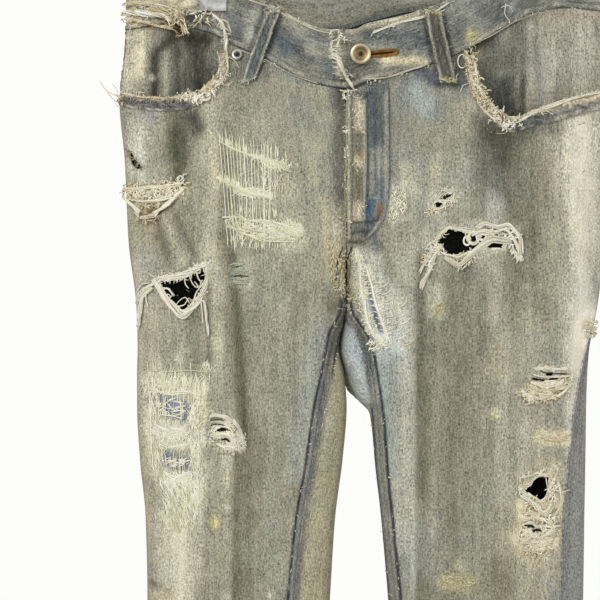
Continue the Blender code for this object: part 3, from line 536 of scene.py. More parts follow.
    def depth(self, half: Half, x: Array, z: Array, face: Face, level: Array, fine: float = 1.0) -> Array:
        """Distance of the cloth from the middle plane.

        Args:
            half: which half of the garment.
            x, z: places on the cloth.
            face: front or back.
            level: level of the row at each place.
            fine: share of the fine creases.

        Returns:
            The half depth at each place.
        """
        reach = self.reach[face](level)
        right, left = (self.edges[side, "outer"](level) for side in Half)
        pelvis = reach * self.oval((2 * x - right - left) / (left - right), self.pelvis_power)
        outer, inner = self.edges[half, "outer"](level), self.edges[half, "inner"](level)
        leg = reach * self.oval((2 * x - outer - inner) / (outer - inner), self.leg_power)
        start, end = self.smoothed[face]
        share = 1.0 - smoothstep(end, start, level)
        depth = pelvis * (1 - share) + leg * share
        front = face is Face.FRONT
        folds = self.raised(self.front_folds if front else self.back_folds, x, z)
        if fine:
            folds = folds + fine * self.raised(self.front_creases if front else self.back_creases, x, z)
            folds = folds + fine * 0.55 * mottle(x, z * 0.45, 17.0, 3 if front else 9)
        depth = depth + folds * np.clip(depth / 16.0, 0.0, 1.0)
        held = self.pinch(x, z)
        return depth * (1 - held) + np.minimum(depth, self.pinched) * held

    def half_of(self, x: Array, level: Array) -> Array:
        """True where a place is on the left half."""
        between = 0.5 * (self.edges[Half.RIGHT, "inner"](level) + self.edges[Half.LEFT, "inner"](level))
        return x > np.where(level > self.crotch - 2.0, self.middle, between)

    def front_depth(self, x: Array, z: Array, level: Array | None = None) -> Array:
        """Half depth of the front on either half, the waistband's lap included.

        Args:
            x, z: places on the cloth.
            level: level of the row at each place, found where it isn't given.

        Returns:
            The half depths.
        """
        x, z = np.asarray(x, float), np.asarray(z, float)
        level = np.minimum(self.level_at(Face.FRONT, x, z), self.top) if level is None else level
        left = self.half_of(x, level)
        on_left = self.depth(Half.LEFT, x, z, Face.FRONT, level)
        on_right = self.depth(Half.RIGHT, x, z, Face.FRONT, level)
        deep = np.where(left, on_left, on_right)
        over = smoothstep(-1.0, 1.0, z - self.seams[Face.FRONT](x)) * (x > self.lap_end)
        return deep + over * smoothstep(self.lap_flat, self.lap_start, x) * self.lap_height

    def on_front(self, x: Array, z: Array, lift: Array, level: Array | None = None) -> Array:
        """Points over the front of the cloth.

        Args:
            x, z: places on the cloth.
            lift: height over the cloth, along its normal.
            level: level of the row at each place, where it is known.

        Returns:
            The points, one row each.
        """
        x, z = np.asarray(x, float), np.asarray(z, float)
        step = self.slope_step
        deep = self.front_depth(x, z, level)
        slope_x = (self.front_depth(x + step, z, level) - self.front_depth(x - step, z, level)) / (2 * step)
        slope_z = (self.front_depth(x, z + step, level) - self.front_depth(x, z - step, level)) / (2 * step)
        slope_x, slope_z = np.clip(slope_x, -3, 3), np.clip(slope_z, -1.5, 1.5)
        normal = -np.stack([slope_x, np.ones_like(slope_x), slope_z], axis=-1)
        normal /= np.linalg.norm(normal, axis=-1, keepdims=True)
        return np.stack([x, -deep, z], axis=-1) + normal * np.asarray(lift, float)[..., None]


# ---------------------------------------------------------------- cloth


@dataclass(frozen=True)
class Mark:
    """A soft mark of colour: a round spot, or a stroke between two places."""

    x0: float
    z0: float
    x1: float
    z1: float
    width: float
    shade: Shade
    strength: float = 0.8
    rough: float = 0.35


def paint(x: Array, z: Array, base: Shade, marks: Sequence[Mark], seed: int = 1) -> Array:
    """Colour places on the cloth.

    Args:
        x, z: the places.
        base: colour where there is no mark.
        marks: marks laid over it, one after the other.
        seed: picks the unevenness of the marks' edges.

    Returns:
        A linear colour for each place.
    """
    colour = np.tile(linear(base), (len(x), 1))
    wander = 0.6 * mottle(x, z, 16.0, seed) + 0.4 * speckle(x, z, 3.0, 6.0, seed + 3)
    for mark in marks:
        run_x, run_z = mark.x1 - mark.x0, mark.z1 - mark.z0
        length = max(run_x**2 + run_z**2, 1e-6)
        reach = 2.6 * mark.width
        near = (
            (x > min(mark.x0, mark.x1) - reach) & (x < max(mark.x0, mark.x1) + reach)
            & (z > min(mark.z0, mark.z1) - reach) & (z < max(mark.z0, mark.z1) + reach)
        )
        px, pz = x[near], z[near]
        t = np.clip(((px - mark.x0) * run_x + (pz - mark.z0) * run_z) / length, 0.0, 1.0)
        gap = np.hypot(px - mark.x0 - t * run_x, pz - mark.z0 - t * run_z) / mark.width
        gap = np.maximum(gap + mark.rough * wander[near], 0.0)
        weight = (mark.strength * np.exp(-(gap**2.4)))[:, None]
        colour[near] = colour[near] * (1 - weight) + linear(mark.shade) * weight
    return colour


@dataclass
class Skin:
    """One side of a cloth piece before it has thickness."""

    points: Array
    normals: Array
    faces: Array
    weave: Array
    tint: Array

    @staticmethod
    def grid_faces(rows: int, columns: int, ring: bool = False) -> Array:
        """Corners of a grid's faces.

        Args:
            rows, columns: how many points.
            ring: whether the last column joins the first.

        Returns:
            Four point numbers for each face.
        """
        last = columns if ring else columns - 1
        i, j = np.meshgrid(np.arange(rows - 1), np.arange(last), indexing="ij")
        k = (j + 1) % columns
        upper, lower = i * columns, (i + 1) * columns
        return np.stack([upper + j, upper + k, lower + k, lower + j], -1).reshape(-1, 4)

    @classmethod
    def from_grid(cls, grid: Array, weave: Array, tint: Array, outward: Array, ring: bool = False) -> "Skin":
        """Make a skin of a grid of points.

        Args:
            grid: points, by row and column.
            weave: places on the flat cloth, by row and column.
            tint: a colour for each point.
            outward: a direction, or one for each point, that the outer side looks towards.
            ring: whether the last column joins the first.

        Returns:
            The skin.
        """
        rows, columns = grid.shape[:2]
        if ring:
            across = np.roll(grid, -1, axis=1) - np.roll(grid, 1, axis=1)
        else:
            across = np.gradient(grid, axis=1)
        normal = np.cross(across, np.gradient(grid, axis=0)).reshape(-1, 3)
        normal /= np.linalg.norm(normal, axis=1, keepdims=True) + 1e-9
        faces = cls.grid_faces(rows, columns, ring)
        if np.sum(normal * np.broadcast_to(outward, grid.shape).reshape(-1, 3)) < 0:
            normal = -normal
        points = grid.reshape(-1, 3)
        a, b, c = (points[faces[:, k]] for k in (0, 1, 2))
        facing = np.sum(np.cross(b - a, c - a) * normal[faces[:, 0]], axis=1)
        if np.sum(facing) < 0:
            faces = faces[:, ::-1]
        return cls(points, normal, faces, weave.reshape(-1, 2), tint.reshape(-1, 3))

    def pierce(self, outline: Array, form: Form | None = None) -> None:
        """Open a hole or a cut-away in the skin, its edge drawn to the outline.

        Args:
            outline: corners of the opening as it is seen from the front.
            form: the garment's form, to keep a moved point on the cloth.
        """
        x, z = self.points[:, 0].copy(), self.points[:, 2].copy()
        inside = within(x, z, outline)
        self.faces = self.faces[~inside[self.faces].all(axis=1)]
        moved = np.zeros(len(x), bool)
        moved[self.faces] = True
        moved &= inside
        near_x, near_z, _ = nearest_on(x[moved], z[moved], outline)
        if form is not None:
            before = form.front_depth(x[moved], z[moved])
            self.points[moved, 1] += before - form.front_depth(near_x, near_z)
        self.points[moved, 0], self.points[moved, 2] = near_x, near_z


class Shell:
    """Turns skins into closed cloth pieces."""

    @staticmethod
    def make(name: str, skin: Skin, wall: float, outer: bpy.types.Material,
             inner: bpy.types.Material | None = None) -> bpy.types.Object:
        """Give a skin its thickness.

        Args:
            name: name of the piece.
            skin: its outer side.
            wall: thickness, laid inwards.
            outer: material of the outer side and the edges.
            inner: material of the inner side, if it differs.

        Returns:
            The piece.
        """
        used = np.zeros(len(skin.points), bool)
        used[skin.faces] = True
        number = np.cumsum(used) - 1
        faces = number[skin.faces]
        outside = skin.points[used]
        inside = outside - skin.normals[used] * wall
        count = len(outside)
        edges = np.concatenate([np.stack([faces[:, k], faces[:, (k + 1) % 4]], 1) for k in range(4)])
        key, back = edges[:, 0] * count + edges[:, 1], edges[:, 1] * count + edges[:, 0]
        rim = edges[~np.isin(key, back)]
        rim = rim[rim[:, 0] != rim[:, 1]]
        sides = np.stack([rim[:, 1], rim[:, 0], rim[:, 0] + count, rim[:, 1] + count], 1)
        corners = np.concatenate([faces, faces[:, ::-1] + count, sides])
        mesh = bpy.data.meshes.new(name)
        mesh.from_pydata((np.concatenate([outside, inside]) * MM).tolist(), [], corners.tolist())
        tint = np.tile(np.concatenate([skin.tint[used], np.ones((count, 1))], axis=1), (2, 1))
        colour = mesh.color_attributes.new("Tint", "FLOAT_COLOR", "POINT")
        colour.data.foreach_set("color", tint.astype(np.float32).ravel())
        places = np.tile(skin.weave[used] * MM, (2, 1))
        loops = np.empty(len(mesh.loops), np.int32)
        mesh.loops.foreach_get("vertex_index", loops)
        mesh.uv_layers.new(name="Weave").data.foreach_set("uv", places[loops].astype(np.float32).ravel())
        mesh.materials.append(outer)
        mesh.materials.append(inner or outer)
        slots = np.zeros(len(corners), np.int32)
        slots[len(faces):2 * len(faces)] = 1
        if len(mesh.polygons) == len(corners):
            mesh.polygons.foreach_set("material_index", slots)
        mesh.shade_smooth()
        mesh.set_sharp_from_angle(angle=math.radians(60))
        piece = bpy.data.objects.new(name, mesh)
        bpy.context.collection.objects.link(piece)
        LOG.info("%s: %d faces", name, len(mesh.polygons))
        return piece


# ---------------------------------------------------------------- threads


@dataclass(frozen=True)
class Yarn:
    """A kind of loose thread: its thickness, its colours and how much it wanders."""

    radius: float = 0.32
    shades: tuple[Shade, ...] = ((214, 207, 186), (228, 224, 208), (196, 186, 158))
    curl: float = 0.5


COTTON = Yarn(0.36, ((232, 227, 210), (242, 239, 226), (214, 207, 184)))
STRAW = Yarn(0.34, ((206, 188, 148), (222, 208, 174), (184, 166, 126), (232, 224, 200)))
GREYISH = Yarn(0.26, ((176, 172, 156), (158, 158, 148), (196, 190, 170)))
GREENISH = Yarn(0.32, ((214, 208, 164), (196, 190, 140), (230, 224, 192)))
INDIGO = Yarn(0.26, ((92, 104, 116), (110, 118, 124), (74, 84, 98)))


class Threads:
    """Gathers loose threads and makes them one piece."""

    SIDES = 3

    def __init__(self, name: str, form: Form, seed: int) -> None:
        """Start an empty bundle.

        Args:
            name: name of the piece.
            form: the garment's form.
            seed: starts its own random draws.
        """
        self.name, self.form = name, form
        self.draw = np.random.default_rng(seed)
        self.paths: list[Array] = []
        self.radii: list[float] = []
        self.tints: list[Array] = []
        self.pending: list[tuple] = []

    def add(self, points: Array, yarn: Yarn, scale: float = 1.0, shade: Shade | None = None) -> None:
        """Add a thread by its points.

        Args:
            points: points of its centre line.
            yarn: kind of thread.
            scale: thickness over the yarn's own.
            shade: its colour, or None for one of the yarn's.
        """
        if len(points) < 2:
            return
        shade = shade or yarn.shades[int(self.draw.integers(len(yarn.shades)))]
        self.paths.append(np.asarray(points, float))
        self.radii.append(yarn.radius * scale * float(self.draw.uniform(0.8, 1.2)))
        self.tints.append(linear(shade) * float(self.draw.uniform(0.86, 1.1)))

    def lay(self, x: Array, z: Array, lift: Array | float, yarn: Yarn, scale: float = 1.0,
            shade: Shade | None = None) -> None:
        """Add a thread that lies over the front of the cloth.

        Args:
            x, z: places of its points.
            lift: their heights over the cloth.
            yarn: kind of thread.
            scale: thickness over the yarn's own.
            shade: its colour, or None for one of the yarn's.
        """
        heights = np.broadcast_to(lift, np.shape(x)) * 1.0
        self.pending.append((np.asarray(x, float), np.asarray(z, float), heights, yarn, scale, shade))

    def settle(self) -> None:
        """Put the waiting threads on the cloth."""
        if not self.pending:
            return
        x, z, lift = (np.concatenate([item[k] for item in self.pending]) for k in range(3))
        points = self.form.on_front(x, z, lift)
        start = 0
        for item in self.pending:
            count = len(item[0])
            self.add(points[start:start + count], item[3], item[4], item[5])
            start += count
        self.pending.clear()

    def wander(self, count: int, size: float) -> Array:
        """A smooth random run of numbers that starts at 0.

        Args:
            count: how many.
            size: how far it strays by its end.

        Returns:
            The numbers.
        """
        turn = np.cumsum(self.draw.normal(0.0, 1.0, count))
        run = np.cumsum(turn)
        run = run - run[0]
        return size * run / (np.max(np.abs(run)) + 1e-9) * float(self.draw.uniform(0.3, 1.0))

    def wisp(self, x: float, z: float, angle: float, length: float, lift: float, yarn: Yarn = COTTON,
             stand: float = 1.5, scale: float = 1.0) -> None:
        """Add a short loose thread.

        Args:
            x, z: where it starts.
            angle: its direction as it is seen from the front, 0 along +X and 90 degrees up.
            length: its length.
            lift: height of its start over the cloth.
            yarn: kind of thread.
            stand: how far its end rises.
            scale: thickness over the yarn's own.
        """
        count = int(np.clip(length / 1.6, 4, 16))
        along = np.linspace(0.0, length, count)
        aside = self.wander(count, yarn.curl * length)
        turn = math.radians(angle)
        rise = lift + stand * np.sin(np.linspace(0.0, 2.2, count)) * float(self.draw.uniform(0.3, 1.0))
        self.lay(
            x + along * math.cos(turn) - aside * math.sin(turn),
            z + along * math.sin(turn) + aside * math.cos(turn),
            np.maximum(rise, 0.15), yarn, scale,
        )

    def fringe(self, path: Sequence[Place], per_mm: float, angle: float, spread: float, lengths: Place,
               lift: float = 0.6, yarn: Yarn = COTTON, jitter: float = 1.0, stand: float = 1.5) -> None:
        """Add loose ends along a line.

        Args:
            path: the line they grow from.
            per_mm: how many for each millimetre.
            angle: their mean direction.
            spread: how far a direction strays, in degrees.
            lengths: shortest and longest.
            lift: height of their starts.
            yarn: kind of thread.
            jitter: how far a start strays from the line.
            stand: how far their ends rise.
        """
        points = walk(path, 0.5)
        total = max(1, int(len(points) * 0.5 * per_mm))
        for _ in range(total):
            x, z = points[int(self.draw.integers(len(points)))] + self.draw.normal(0.0, jitter, 2)
            length = lengths[0] + (lengths[1] - lengths[0]) * float(self.draw.random()) ** 2
            self.wisp(x, z, angle + float(self.draw.normal(0.0, spread)), length, lift, yarn, stand)

    def rope(self, path: Sequence[Place], strands: int, width: float, lift: float = 1.2, yarn: Yarn = COTTON,
             scale: float = 1.0, round_up: float = 0.6) -> None:
        """Add a bundle of strands that run together.

        Args:
            path: centre line of the bundle.
            strands: how many.
            width: half width of the bundle.
            lift: height of its middle.
            yarn: kind of thread.
            scale: thickness over the yarn's own.
            round_up: how round the bundle is, against flat.
        """
        line = walk(path, 2.0)
        along = np.gradient(line, axis=0)
        along /= np.linalg.norm(along, axis=1, keepdims=True) + 1e-9
        count = len(line)
        for _ in range(strands):
            start, stop = sorted(self.draw.integers(0, count, 2))
            if stop - start < count * 0.4:
                start, stop = 0, count - 1
            phase = float(self.draw.uniform(0, 2 * math.pi))
            turns = float(self.draw.uniform(0.4, 1.6)) * 2 * math.pi / max(count, 2)
            place = phase + turns * np.arange(count)
            out = width * float(self.draw.uniform(0.25, 1.0)) * np.cos(place)
            out = out + self.wander(count, width * 0.8)
            up = lift + width * round_up * float(self.draw.uniform(0.2, 1.0)) * np.sin(place)
            x, z = line[:, 0] - along[:, 1] * out, line[:, 1] + along[:, 0] * out
            part = slice(start, stop + 1)
            self.lay(x[part], z[part], np.maximum(up[part], 0.2), yarn, scale)

    def tangle(self, x: float, z: float, half_x: float, half_z: float, count: int, lift: float = 0.8,
               yarn: Yarn = COTTON, size: float = 6.0, angle: float | None = None) -> None:
        """Add a knot of curled threads.

        Args:
            x, z: its middle.
            half_x, half_z: its half sizes.
            count: how many threads.
            lift: height over the cloth.
            yarn: kind of thread.
            size: length of a thread.
            angle: mean direction, or None for any.
        """
        for _ in range(count):
            r, a = math.sqrt(float(self.draw.random())), float(self.draw.uniform(0, 2 * math.pi))
            if angle is None:
                turn = float(self.draw.uniform(0, 360))
            else:
                turn = angle + float(self.draw.normal(0, 24))
            steps = int(self.draw.integers(6, 12))
            bend = np.cumsum(self.draw.normal(0.0, 34.0, steps))
            heading = np.radians(turn + bend)
            step = size * float(self.draw.uniform(0.5, 1.3)) / steps
            px = x + half_x * r * math.cos(a) + np.cumsum(np.cos(heading)) * step
            pz = z + half_z * r * math.sin(a) + np.cumsum(np.sin(heading)) * step
            rise = lift * (0.5 + np.abs(np.sin(np.linspace(0, float(self.draw.uniform(1.5, 4.5)), steps))))
            self.lay(px, pz, rise, yarn)

    def darn(self, path: Sequence[Place], height: float, per_mm: float, yarn: Yarn = COTTON,
             lift: float = 0.35, lean: float = 4.0, strays: float = 0.5) -> None:
        """Add upright stitches side by side along a line, as darning or bared weft shows.

        Args:
            path: the line through their middles.
            height: their mean length.
            per_mm: how many for each millimetre.
            yarn: kind of thread.
            lift: height over the cloth.
            lean: how far a stitch leans, in degrees.
            strays: how far a middle strays from the line.
        """
        points = walk(path, 0.4)
        for _ in range(max(1, int(len(points) * 0.4 * per_mm))):
            x, z = points[int(self.draw.integers(len(points)))] + self.draw.normal(0.0, strays, 2)
            length = height * float(self.draw.uniform(0.45, 1.25))
            turn = math.radians(90 + float(self.draw.normal(0, lean)))
            along = np.linspace(-0.5, 0.5, 5) * length
            aside = self.wander(5, 0.5)
            rise = lift + 0.35 * np.cos(np.linspace(-1.4, 1.4, 5))
            self.lay(x + along * math.cos(turn) + aside, z + along * math.sin(turn), rise, yarn)

    def stitches(self, path: Sequence[Place], yarn: Yarn, long: float = 2.6, gap: float = 0.9,
                 lift: float = 0.12, worn: float = 0.12) -> None:
        """Add a row of machine stitches.

        Args:
            path: the row's line.
            yarn: its thread.
            long: length of a stitch.
            gap: space between two.
            lift: height over the cloth.
            worn: share of the stitches that are gone.
        """
        step, bulge = 0.25, np.array([0.0, 1.0, 0.0]) * 0.22
        points = walk(path, step)
        each = int((long + gap) / step)
        for start in range(0, len(points) - each, each):
            if self.draw.random() < worn:
                continue
            run = points[start:start + int(long / step)]
            run = run[[0, len(run) // 2, len(run) - 1]]
            self.lay(run[:, 0], run[:, 1], bulge + lift, yarn)

    def build(self, material: bpy.types.Material, slot: str = "thread_edge") -> bpy.types.Object:
        """Make the bundle's tubes.

        Args:
            material: its finish.
            slot: not used.

        Returns:
            The piece.
        """
        self.settle()
        sides = self.SIDES
        angles = np.arange(sides) * 2 * math.pi / sides
        points, faces, tints, start = [], [], [], 0
        for path, radius, tint in zip(self.paths, self.radii, self.tints):
            count = len(path)
            along = np.gradient(path, axis=0)
            along /= np.linalg.norm(along, axis=1, keepdims=True) + 1e-9
            across = np.cross(along, (0.35, 0.86, 0.36))
            across /= np.linalg.norm(across, axis=1, keepdims=True) + 1e-9
            other = np.cross(along, across)
            taper = np.full(count, radius)
            taper[0] *= 0.6
            taper[-1] *= 0.5
            around = across[:, None] * np.cos(angles)[:, None] + other[:, None] * np.sin(angles)[:, None]
            ring = path[:, None] + taper[:, None, None] * around
            points.append(ring.reshape(-1, 3))
            faces.extend((Skin.grid_faces(count, sides, True) + start).tolist())
            faces.append([start + k for k in range(sides)])
            faces.append([start + (count - 1) * sides + k for k in reversed(range(sides))])
            tints.append(np.tile(tint, (count * sides, 1)))
            start += count * sides
        mesh = bpy.data.meshes.new(self.name)
        mesh.from_pydata((np.concatenate(points) * MM).tolist(), [], faces)
        colour = mesh.color_attributes.new("Tint", "FLOAT_COLOR", "POINT")
        values = np.concatenate([np.concatenate(tints), np.ones((start, 1))], axis=1)
        colour.data.foreach_set("color", values.astype(np.float32).ravel())
        shape = bmesh.new()
        shape.from_mesh(mesh)
        bmesh.ops.recalc_face_normals(shape, faces=shape.faces)
        shape.to_mesh(mesh)
        shape.free()
        mesh.materials.append(material)
        mesh.shade_smooth()
        piece = bpy.data.objects.new(self.name, mesh)
        bpy.context.collection.objects.link(piece)
        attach(piece, BODY)
        LOG.info("%s: %d threads, %d faces", self.name, len(self.paths), len(mesh.polygons))
        return piece


# ---------------------------------------------------------------- finishes


@dataclass(frozen=True)
class Finish:
    """Base of the finishes: makes a material and wires nodes."""

    name: str

    def start(self) -> tuple:
        """Make the material.

        Returns:
            The material, its node tree and its shader.
        """
        material = bpy.data.materials.new(self.name)
        material.use_nodes = True
        tree = material.node_tree
        return material, tree, tree.nodes["Principled BSDF"]

    @staticmethod
    def grain(tree: bpy.types.NodeTree, source: bpy.types.NodeSocket, scale: tuple, detail: float = 2.0,
              rough: float = 0.5) -> bpy.types.NodeSocket:
        """Add noise with its own grain in each direction.

        Args:
            tree: the material's nodes.
            source: the coordinates.
            scale: grains for each metre, by axis.
            detail: layers of the noise.
            rough: strength of its finer layers.

        Returns:
            The noise's value.
        """
        mapping = tree.nodes.new("ShaderNodeMapping")
        mapping.inputs["Scale"].default_value = scale
        tree.links.new(source, mapping.inputs["Vector"])
        noise = tree.nodes.new("ShaderNodeTexNoise")
        noise.inputs["Scale"].default_value = 1.0
        noise.inputs["Detail"].default_value = detail
        noise.inputs["Roughness"].default_value = rough
        tree.links.new(mapping.outputs["Vector"], noise.inputs["Vector"])
        return noise.outputs["Fac"]

    @staticmethod
    def reckon(tree: bpy.types.NodeTree, operation: str,
               *values: bpy.types.NodeSocket | float) -> bpy.types.NodeSocket:
        """Add a math node.

        Args:
            tree: the material's nodes.
            operation: what it does.
            values: its inputs, as sockets or numbers.

        Returns:
            Its output.
        """
        node = tree.nodes.new("ShaderNodeMath")
        node.operation = operation
        for socket, value in zip(node.inputs, values):
            if isinstance(value, (int, float)):
                socket.default_value = value
            else:
                tree.links.new(value, socket)
        return node.outputs[0]

    @staticmethod
    def scaled(tree: bpy.types.NodeTree, colour: bpy.types.NodeSocket,
               amount: bpy.types.NodeSocket) -> bpy.types.NodeSocket:
        """Multiply a colour by a number.

        Args:
            tree: the material's nodes.
            colour: the colour.
            amount: the number.

        Returns:
            The changed colour.
        """
        node = tree.nodes.new("ShaderNodeVectorMath")
        node.operation = "SCALE"
        tree.links.new(colour, node.inputs[0])
        tree.links.new(amount, node.inputs["Scale"])
        return node.outputs[0]

    @staticmethod
    def mixed(tree: bpy.types.NodeTree, share: bpy.types.NodeSocket, low: object,
              high: object) -> bpy.types.NodeSocket:
        """Mix two colours.

        Args:
            tree: the material's nodes.
            share: share of the second.
            low, high: the colours, as sockets or display colours.

        Returns:
            The mixed colour.
        """
        node = tree.nodes.new("ShaderNodeMix")
        node.data_type = "RGBA"
        tree.links.new(share, node.inputs[0])
        for socket, value in ((node.inputs[6], low), (node.inputs[7], high)):
            if isinstance(value, tuple):
                socket.default_value = (*linear(value), 1.0)
            else:
                tree.links.new(value, socket)
        return node.outputs[2]


@dataclass(frozen=True)
class Denim(Finish):
    """Worn denim: a coarse grain of pale and dark yarns over its tint, with slubs and soft streaks."""

    shade: Shade | None = None
    streak: float = 0.65
    slub: float = 1.1
    grain_size: float = 2.0
    blotch: float = 0.6
    relief: float = 0.5
    sheen: float = 0.05

    def build(self) -> bpy.types.Material:
        """Make the material.

        Returns:
            The material.
        """
        material, tree, shader = self.start()
        weave = tree.nodes.new("ShaderNodeUVMap")
        weave.uv_map = "Weave"
        place = weave.outputs["UV"]
        if self.shade is None:
            tint = tree.nodes.new("ShaderNodeAttribute")
            tint.attribute_name = "Tint"
            colour = tint.outputs["Color"]
        else:
            base = tree.nodes.new("ShaderNodeRGB")
            base.outputs[0].default_value = (*linear(self.shade), 1.0)
            colour = base.outputs[0]
        dots = self.grain(tree, place, (900.0, 460.0, 1.0), 1.0)
        weft = self.grain(tree, place, (360.0, 1100.0, 1.0), 1.0)
        fine = self.grain(tree, place, (760.0, 120.0, 1.0), 2.0, 0.6)
        wide = self.grain(tree, place, (240.0, 13.0, 1.0), 2.0)
        cloud = self.grain(tree, place, (60.0, 42.0, 1.0), 4.0, 0.66)
        hue = self.grain(tree, place, (15.0, 9.0, 1.0), 3.0)
        total = 1.0
        for socket, amount in (
            (fine, self.slub), (wide, self.streak), (dots, self.grain_size), (weft, 0.9),
            (cloud, self.blotch),
        ):
            part = self.reckon(tree, "MULTIPLY", self.reckon(tree, "SUBTRACT", socket, 0.5), amount)
            total = self.reckon(tree, "ADD", part, total)
        total = self.reckon(tree, "MAXIMUM", total, 0.3)
        light = tree.nodes.new("ShaderNodeRGBToBW")
        tree.links.new(colour, light.inputs[0])
        bleached = tree.nodes.new("ShaderNodeMapRange")
        bleached.interpolation_type = "SMOOTHSTEP"
        tree.links.new(light.outputs[0], bleached.inputs["Value"])
        bleached.inputs["From Min"].default_value, bleached.inputs["From Max"].default_value = 0.5, 0.78
        bleached.inputs["To Min"].default_value, bleached.inputs["To Max"].default_value = 1.0, 0.3
        grain = self.reckon(tree, "MULTIPLY", self.reckon(tree, "SUBTRACT", total, 1.0), bleached.outputs[0])
        total = self.reckon(tree, "ADD", grain, 1.0)
        colour = self.scaled(tree, colour, total)
        cool = tree.nodes.new("ShaderNodeVectorMath")
        cool.operation = "MULTIPLY"
        cool.inputs[1].default_value = (0.88, 0.98, 1.12)
        tree.links.new(colour, cool.inputs[0])
        share = self.reckon(tree, "MULTIPLY", self.reckon(tree, "SUBTRACT", hue, 0.5), 3.4)
        clamp = tree.nodes.new("ShaderNodeClamp")
        tree.links.new(share, clamp.inputs[0])
        colour = self.mixed(tree, clamp.outputs[0], colour, cool.outputs[0])
        pale = self.reckon(tree, "MULTIPLY", self.reckon(tree, "SUBTRACT", fine, 0.60), 2.0)
        clear = tree.nodes.new("ShaderNodeClamp")
        tree.links.new(pale, clear.inputs[0])
        clear.inputs["Max"].default_value = 0.55
        colour = self.mixed(tree, clear.outputs[0], colour, (206, 204, 190))
        tree.links.new(colour, shader.inputs["Base Color"])
        shader.inputs["Roughness"].default_value = 0.93
        shader.inputs["Specular IOR Level"].default_value = 0.15
        shader.inputs["Sheen Weight"].default_value = self.sheen
        shader.inputs["Sheen Roughness"].default_value = 0.6
        bump = tree.nodes.new("ShaderNodeBump")
        bump.inputs["Strength"].default_value = self.relief
        bump.inputs["Distance"].default_value = 0.0006
        height = self.reckon(tree, "ADD", fine, self.reckon(tree, "ADD", dots, weft))
        tree.links.new(height, bump.inputs["Height"])
        tree.links.new(bump.outputs["Normal"], shader.inputs["Normal"])
        return material


@dataclass(frozen=True)
class Cotton(Finish):
    """Loose thread: the tint of each thread, with a little grain."""

    def build(self) -> bpy.types.Material:
        """Make the material.

        Returns:
            The material.
        """
        material, tree, shader = self.start()
        tint = tree.nodes.new("ShaderNodeAttribute")
        tint.attribute_name = "Tint"
        place = tree.nodes.new("ShaderNodeTexCoord").outputs["Object"]
        fine = self.grain(tree, place, (900.0, 900.0, 900.0), 1.0)
        grain = self.reckon(tree, "MULTIPLY", self.reckon(tree, "SUBTRACT", fine, 0.5), 0.3)
        amount = self.reckon(tree, "ADD", grain, 1.0)
        tree.links.new(self.scaled(tree, tint.outputs["Color"], amount), shader.inputs["Base Color"])
        shader.inputs["Roughness"].default_value = 0.95
        shader.inputs["Specular IOR Level"].default_value = 0.1
        return material


@dataclass(frozen=True)
class Metal(Finish):
    """Metal with dull and bright places, and dirt where the noise is low."""

    bright: Shade = (196, 194, 188)
    dull: Shade = (120, 116, 104)
    roughness: float = 0.35
    worn: float = 0.5
    size: float = 300.0

    def build(self) -> bpy.types.Material:
        """Make the material.

        Returns:
            The material.
        """
        material, tree, shader = self.start()
        place = tree.nodes.new("ShaderNodeTexCoord").outputs["Object"]
        cloud = self.grain(tree, place, (self.size,) * 3, 3.0, 0.6)
        share = self.reckon(tree, "SUBTRACT", cloud, 0.5 - 0.12 * self.worn)
        share = self.reckon(tree, "MULTIPLY", share, 4.0)
        clamp = tree.nodes.new("ShaderNodeClamp")
        tree.links.new(share, clamp.inputs[0])
        colour = self.mixed(tree, clamp.outputs[0], self.dull, self.bright)
        tree.links.new(colour, shader.inputs["Base Color"])
        shader.inputs["Metallic"].default_value = 1.0
        rough = self.reckon(tree, "ADD", self.reckon(tree, "MULTIPLY", cloud, 0.3), self.roughness - 0.12)
        tree.links.new(rough, shader.inputs["Roughness"])
        return material


@dataclass(frozen=True)
class Cap(Finish):
    """A turned metal cap: a pale rim round a dished face with a dark middle.

    The sizes are in millimetres, outwards from the middle.
    """

    middle: Place = (0.0, 0.0)
    dot: float = 1.0
    face: float = 5.0
    rim: float = 6.5
    dark: Shade = (66, 56, 40)
    dish: Shade = (134, 116, 84)
    pale: Shade = (206, 196, 166)
    roughness: float = 0.42

    def build(self) -> bpy.types.Material:
        """Make the material.

        Returns:
            The material.
        """
        material, tree, shader = self.start()
        place = tree.nodes.new("ShaderNodeTexCoord").outputs["Object"]
        parts = tree.nodes.new("ShaderNodeSeparateXYZ")
        tree.links.new(place, parts.inputs[0])
        aside = self.reckon(tree, "SUBTRACT", parts.outputs[0], self.middle[0] * MM)
        above = self.reckon(tree, "SUBTRACT", parts.outputs[2], self.middle[1] * MM)
        squares = (self.reckon(tree, "MULTIPLY", side, side) for side in (aside, above))
        away = self.reckon(tree, "SQRT", self.reckon(tree, "ADD", *squares))
        ramp = tree.nodes.new("ShaderNodeValToRGB")
        tree.links.new(self.reckon(tree, "MULTIPLY", away, 100.0), ramp.inputs[0])
        stops = (
            (self.dot * 0.07, self.dark), (self.dot * 0.13, self.dish), (self.face * 0.08, self.dish),
            (self.face * 0.1, self.pale), (self.rim * 0.1, self.pale),
        )
        first, last = ramp.color_ramp.elements
        first.position, last.position = stops[0][0], stops[-1][0]
        for where, _ in stops[1:-1]:
            ramp.color_ramp.elements.new(where)
        for element, (_, shade) in zip(ramp.color_ramp.elements, stops):
            element.color = (*linear(shade), 1.0)
        cloud = self.grain(tree, place, (420.0, 420.0, 420.0), 2.0)
        amount = self.reckon(tree, "ADD", self.reckon(tree, "MULTIPLY", cloud, 0.5), 0.75)
        tree.links.new(self.scaled(tree, ramp.outputs[0], amount), shader.inputs["Base Color"])
        shader.inputs["Metallic"].default_value = 0.85
        shader.inputs["Roughness"].default_value = self.roughness
        return material


# ---------------------------------------------------------------- colours of the cloth

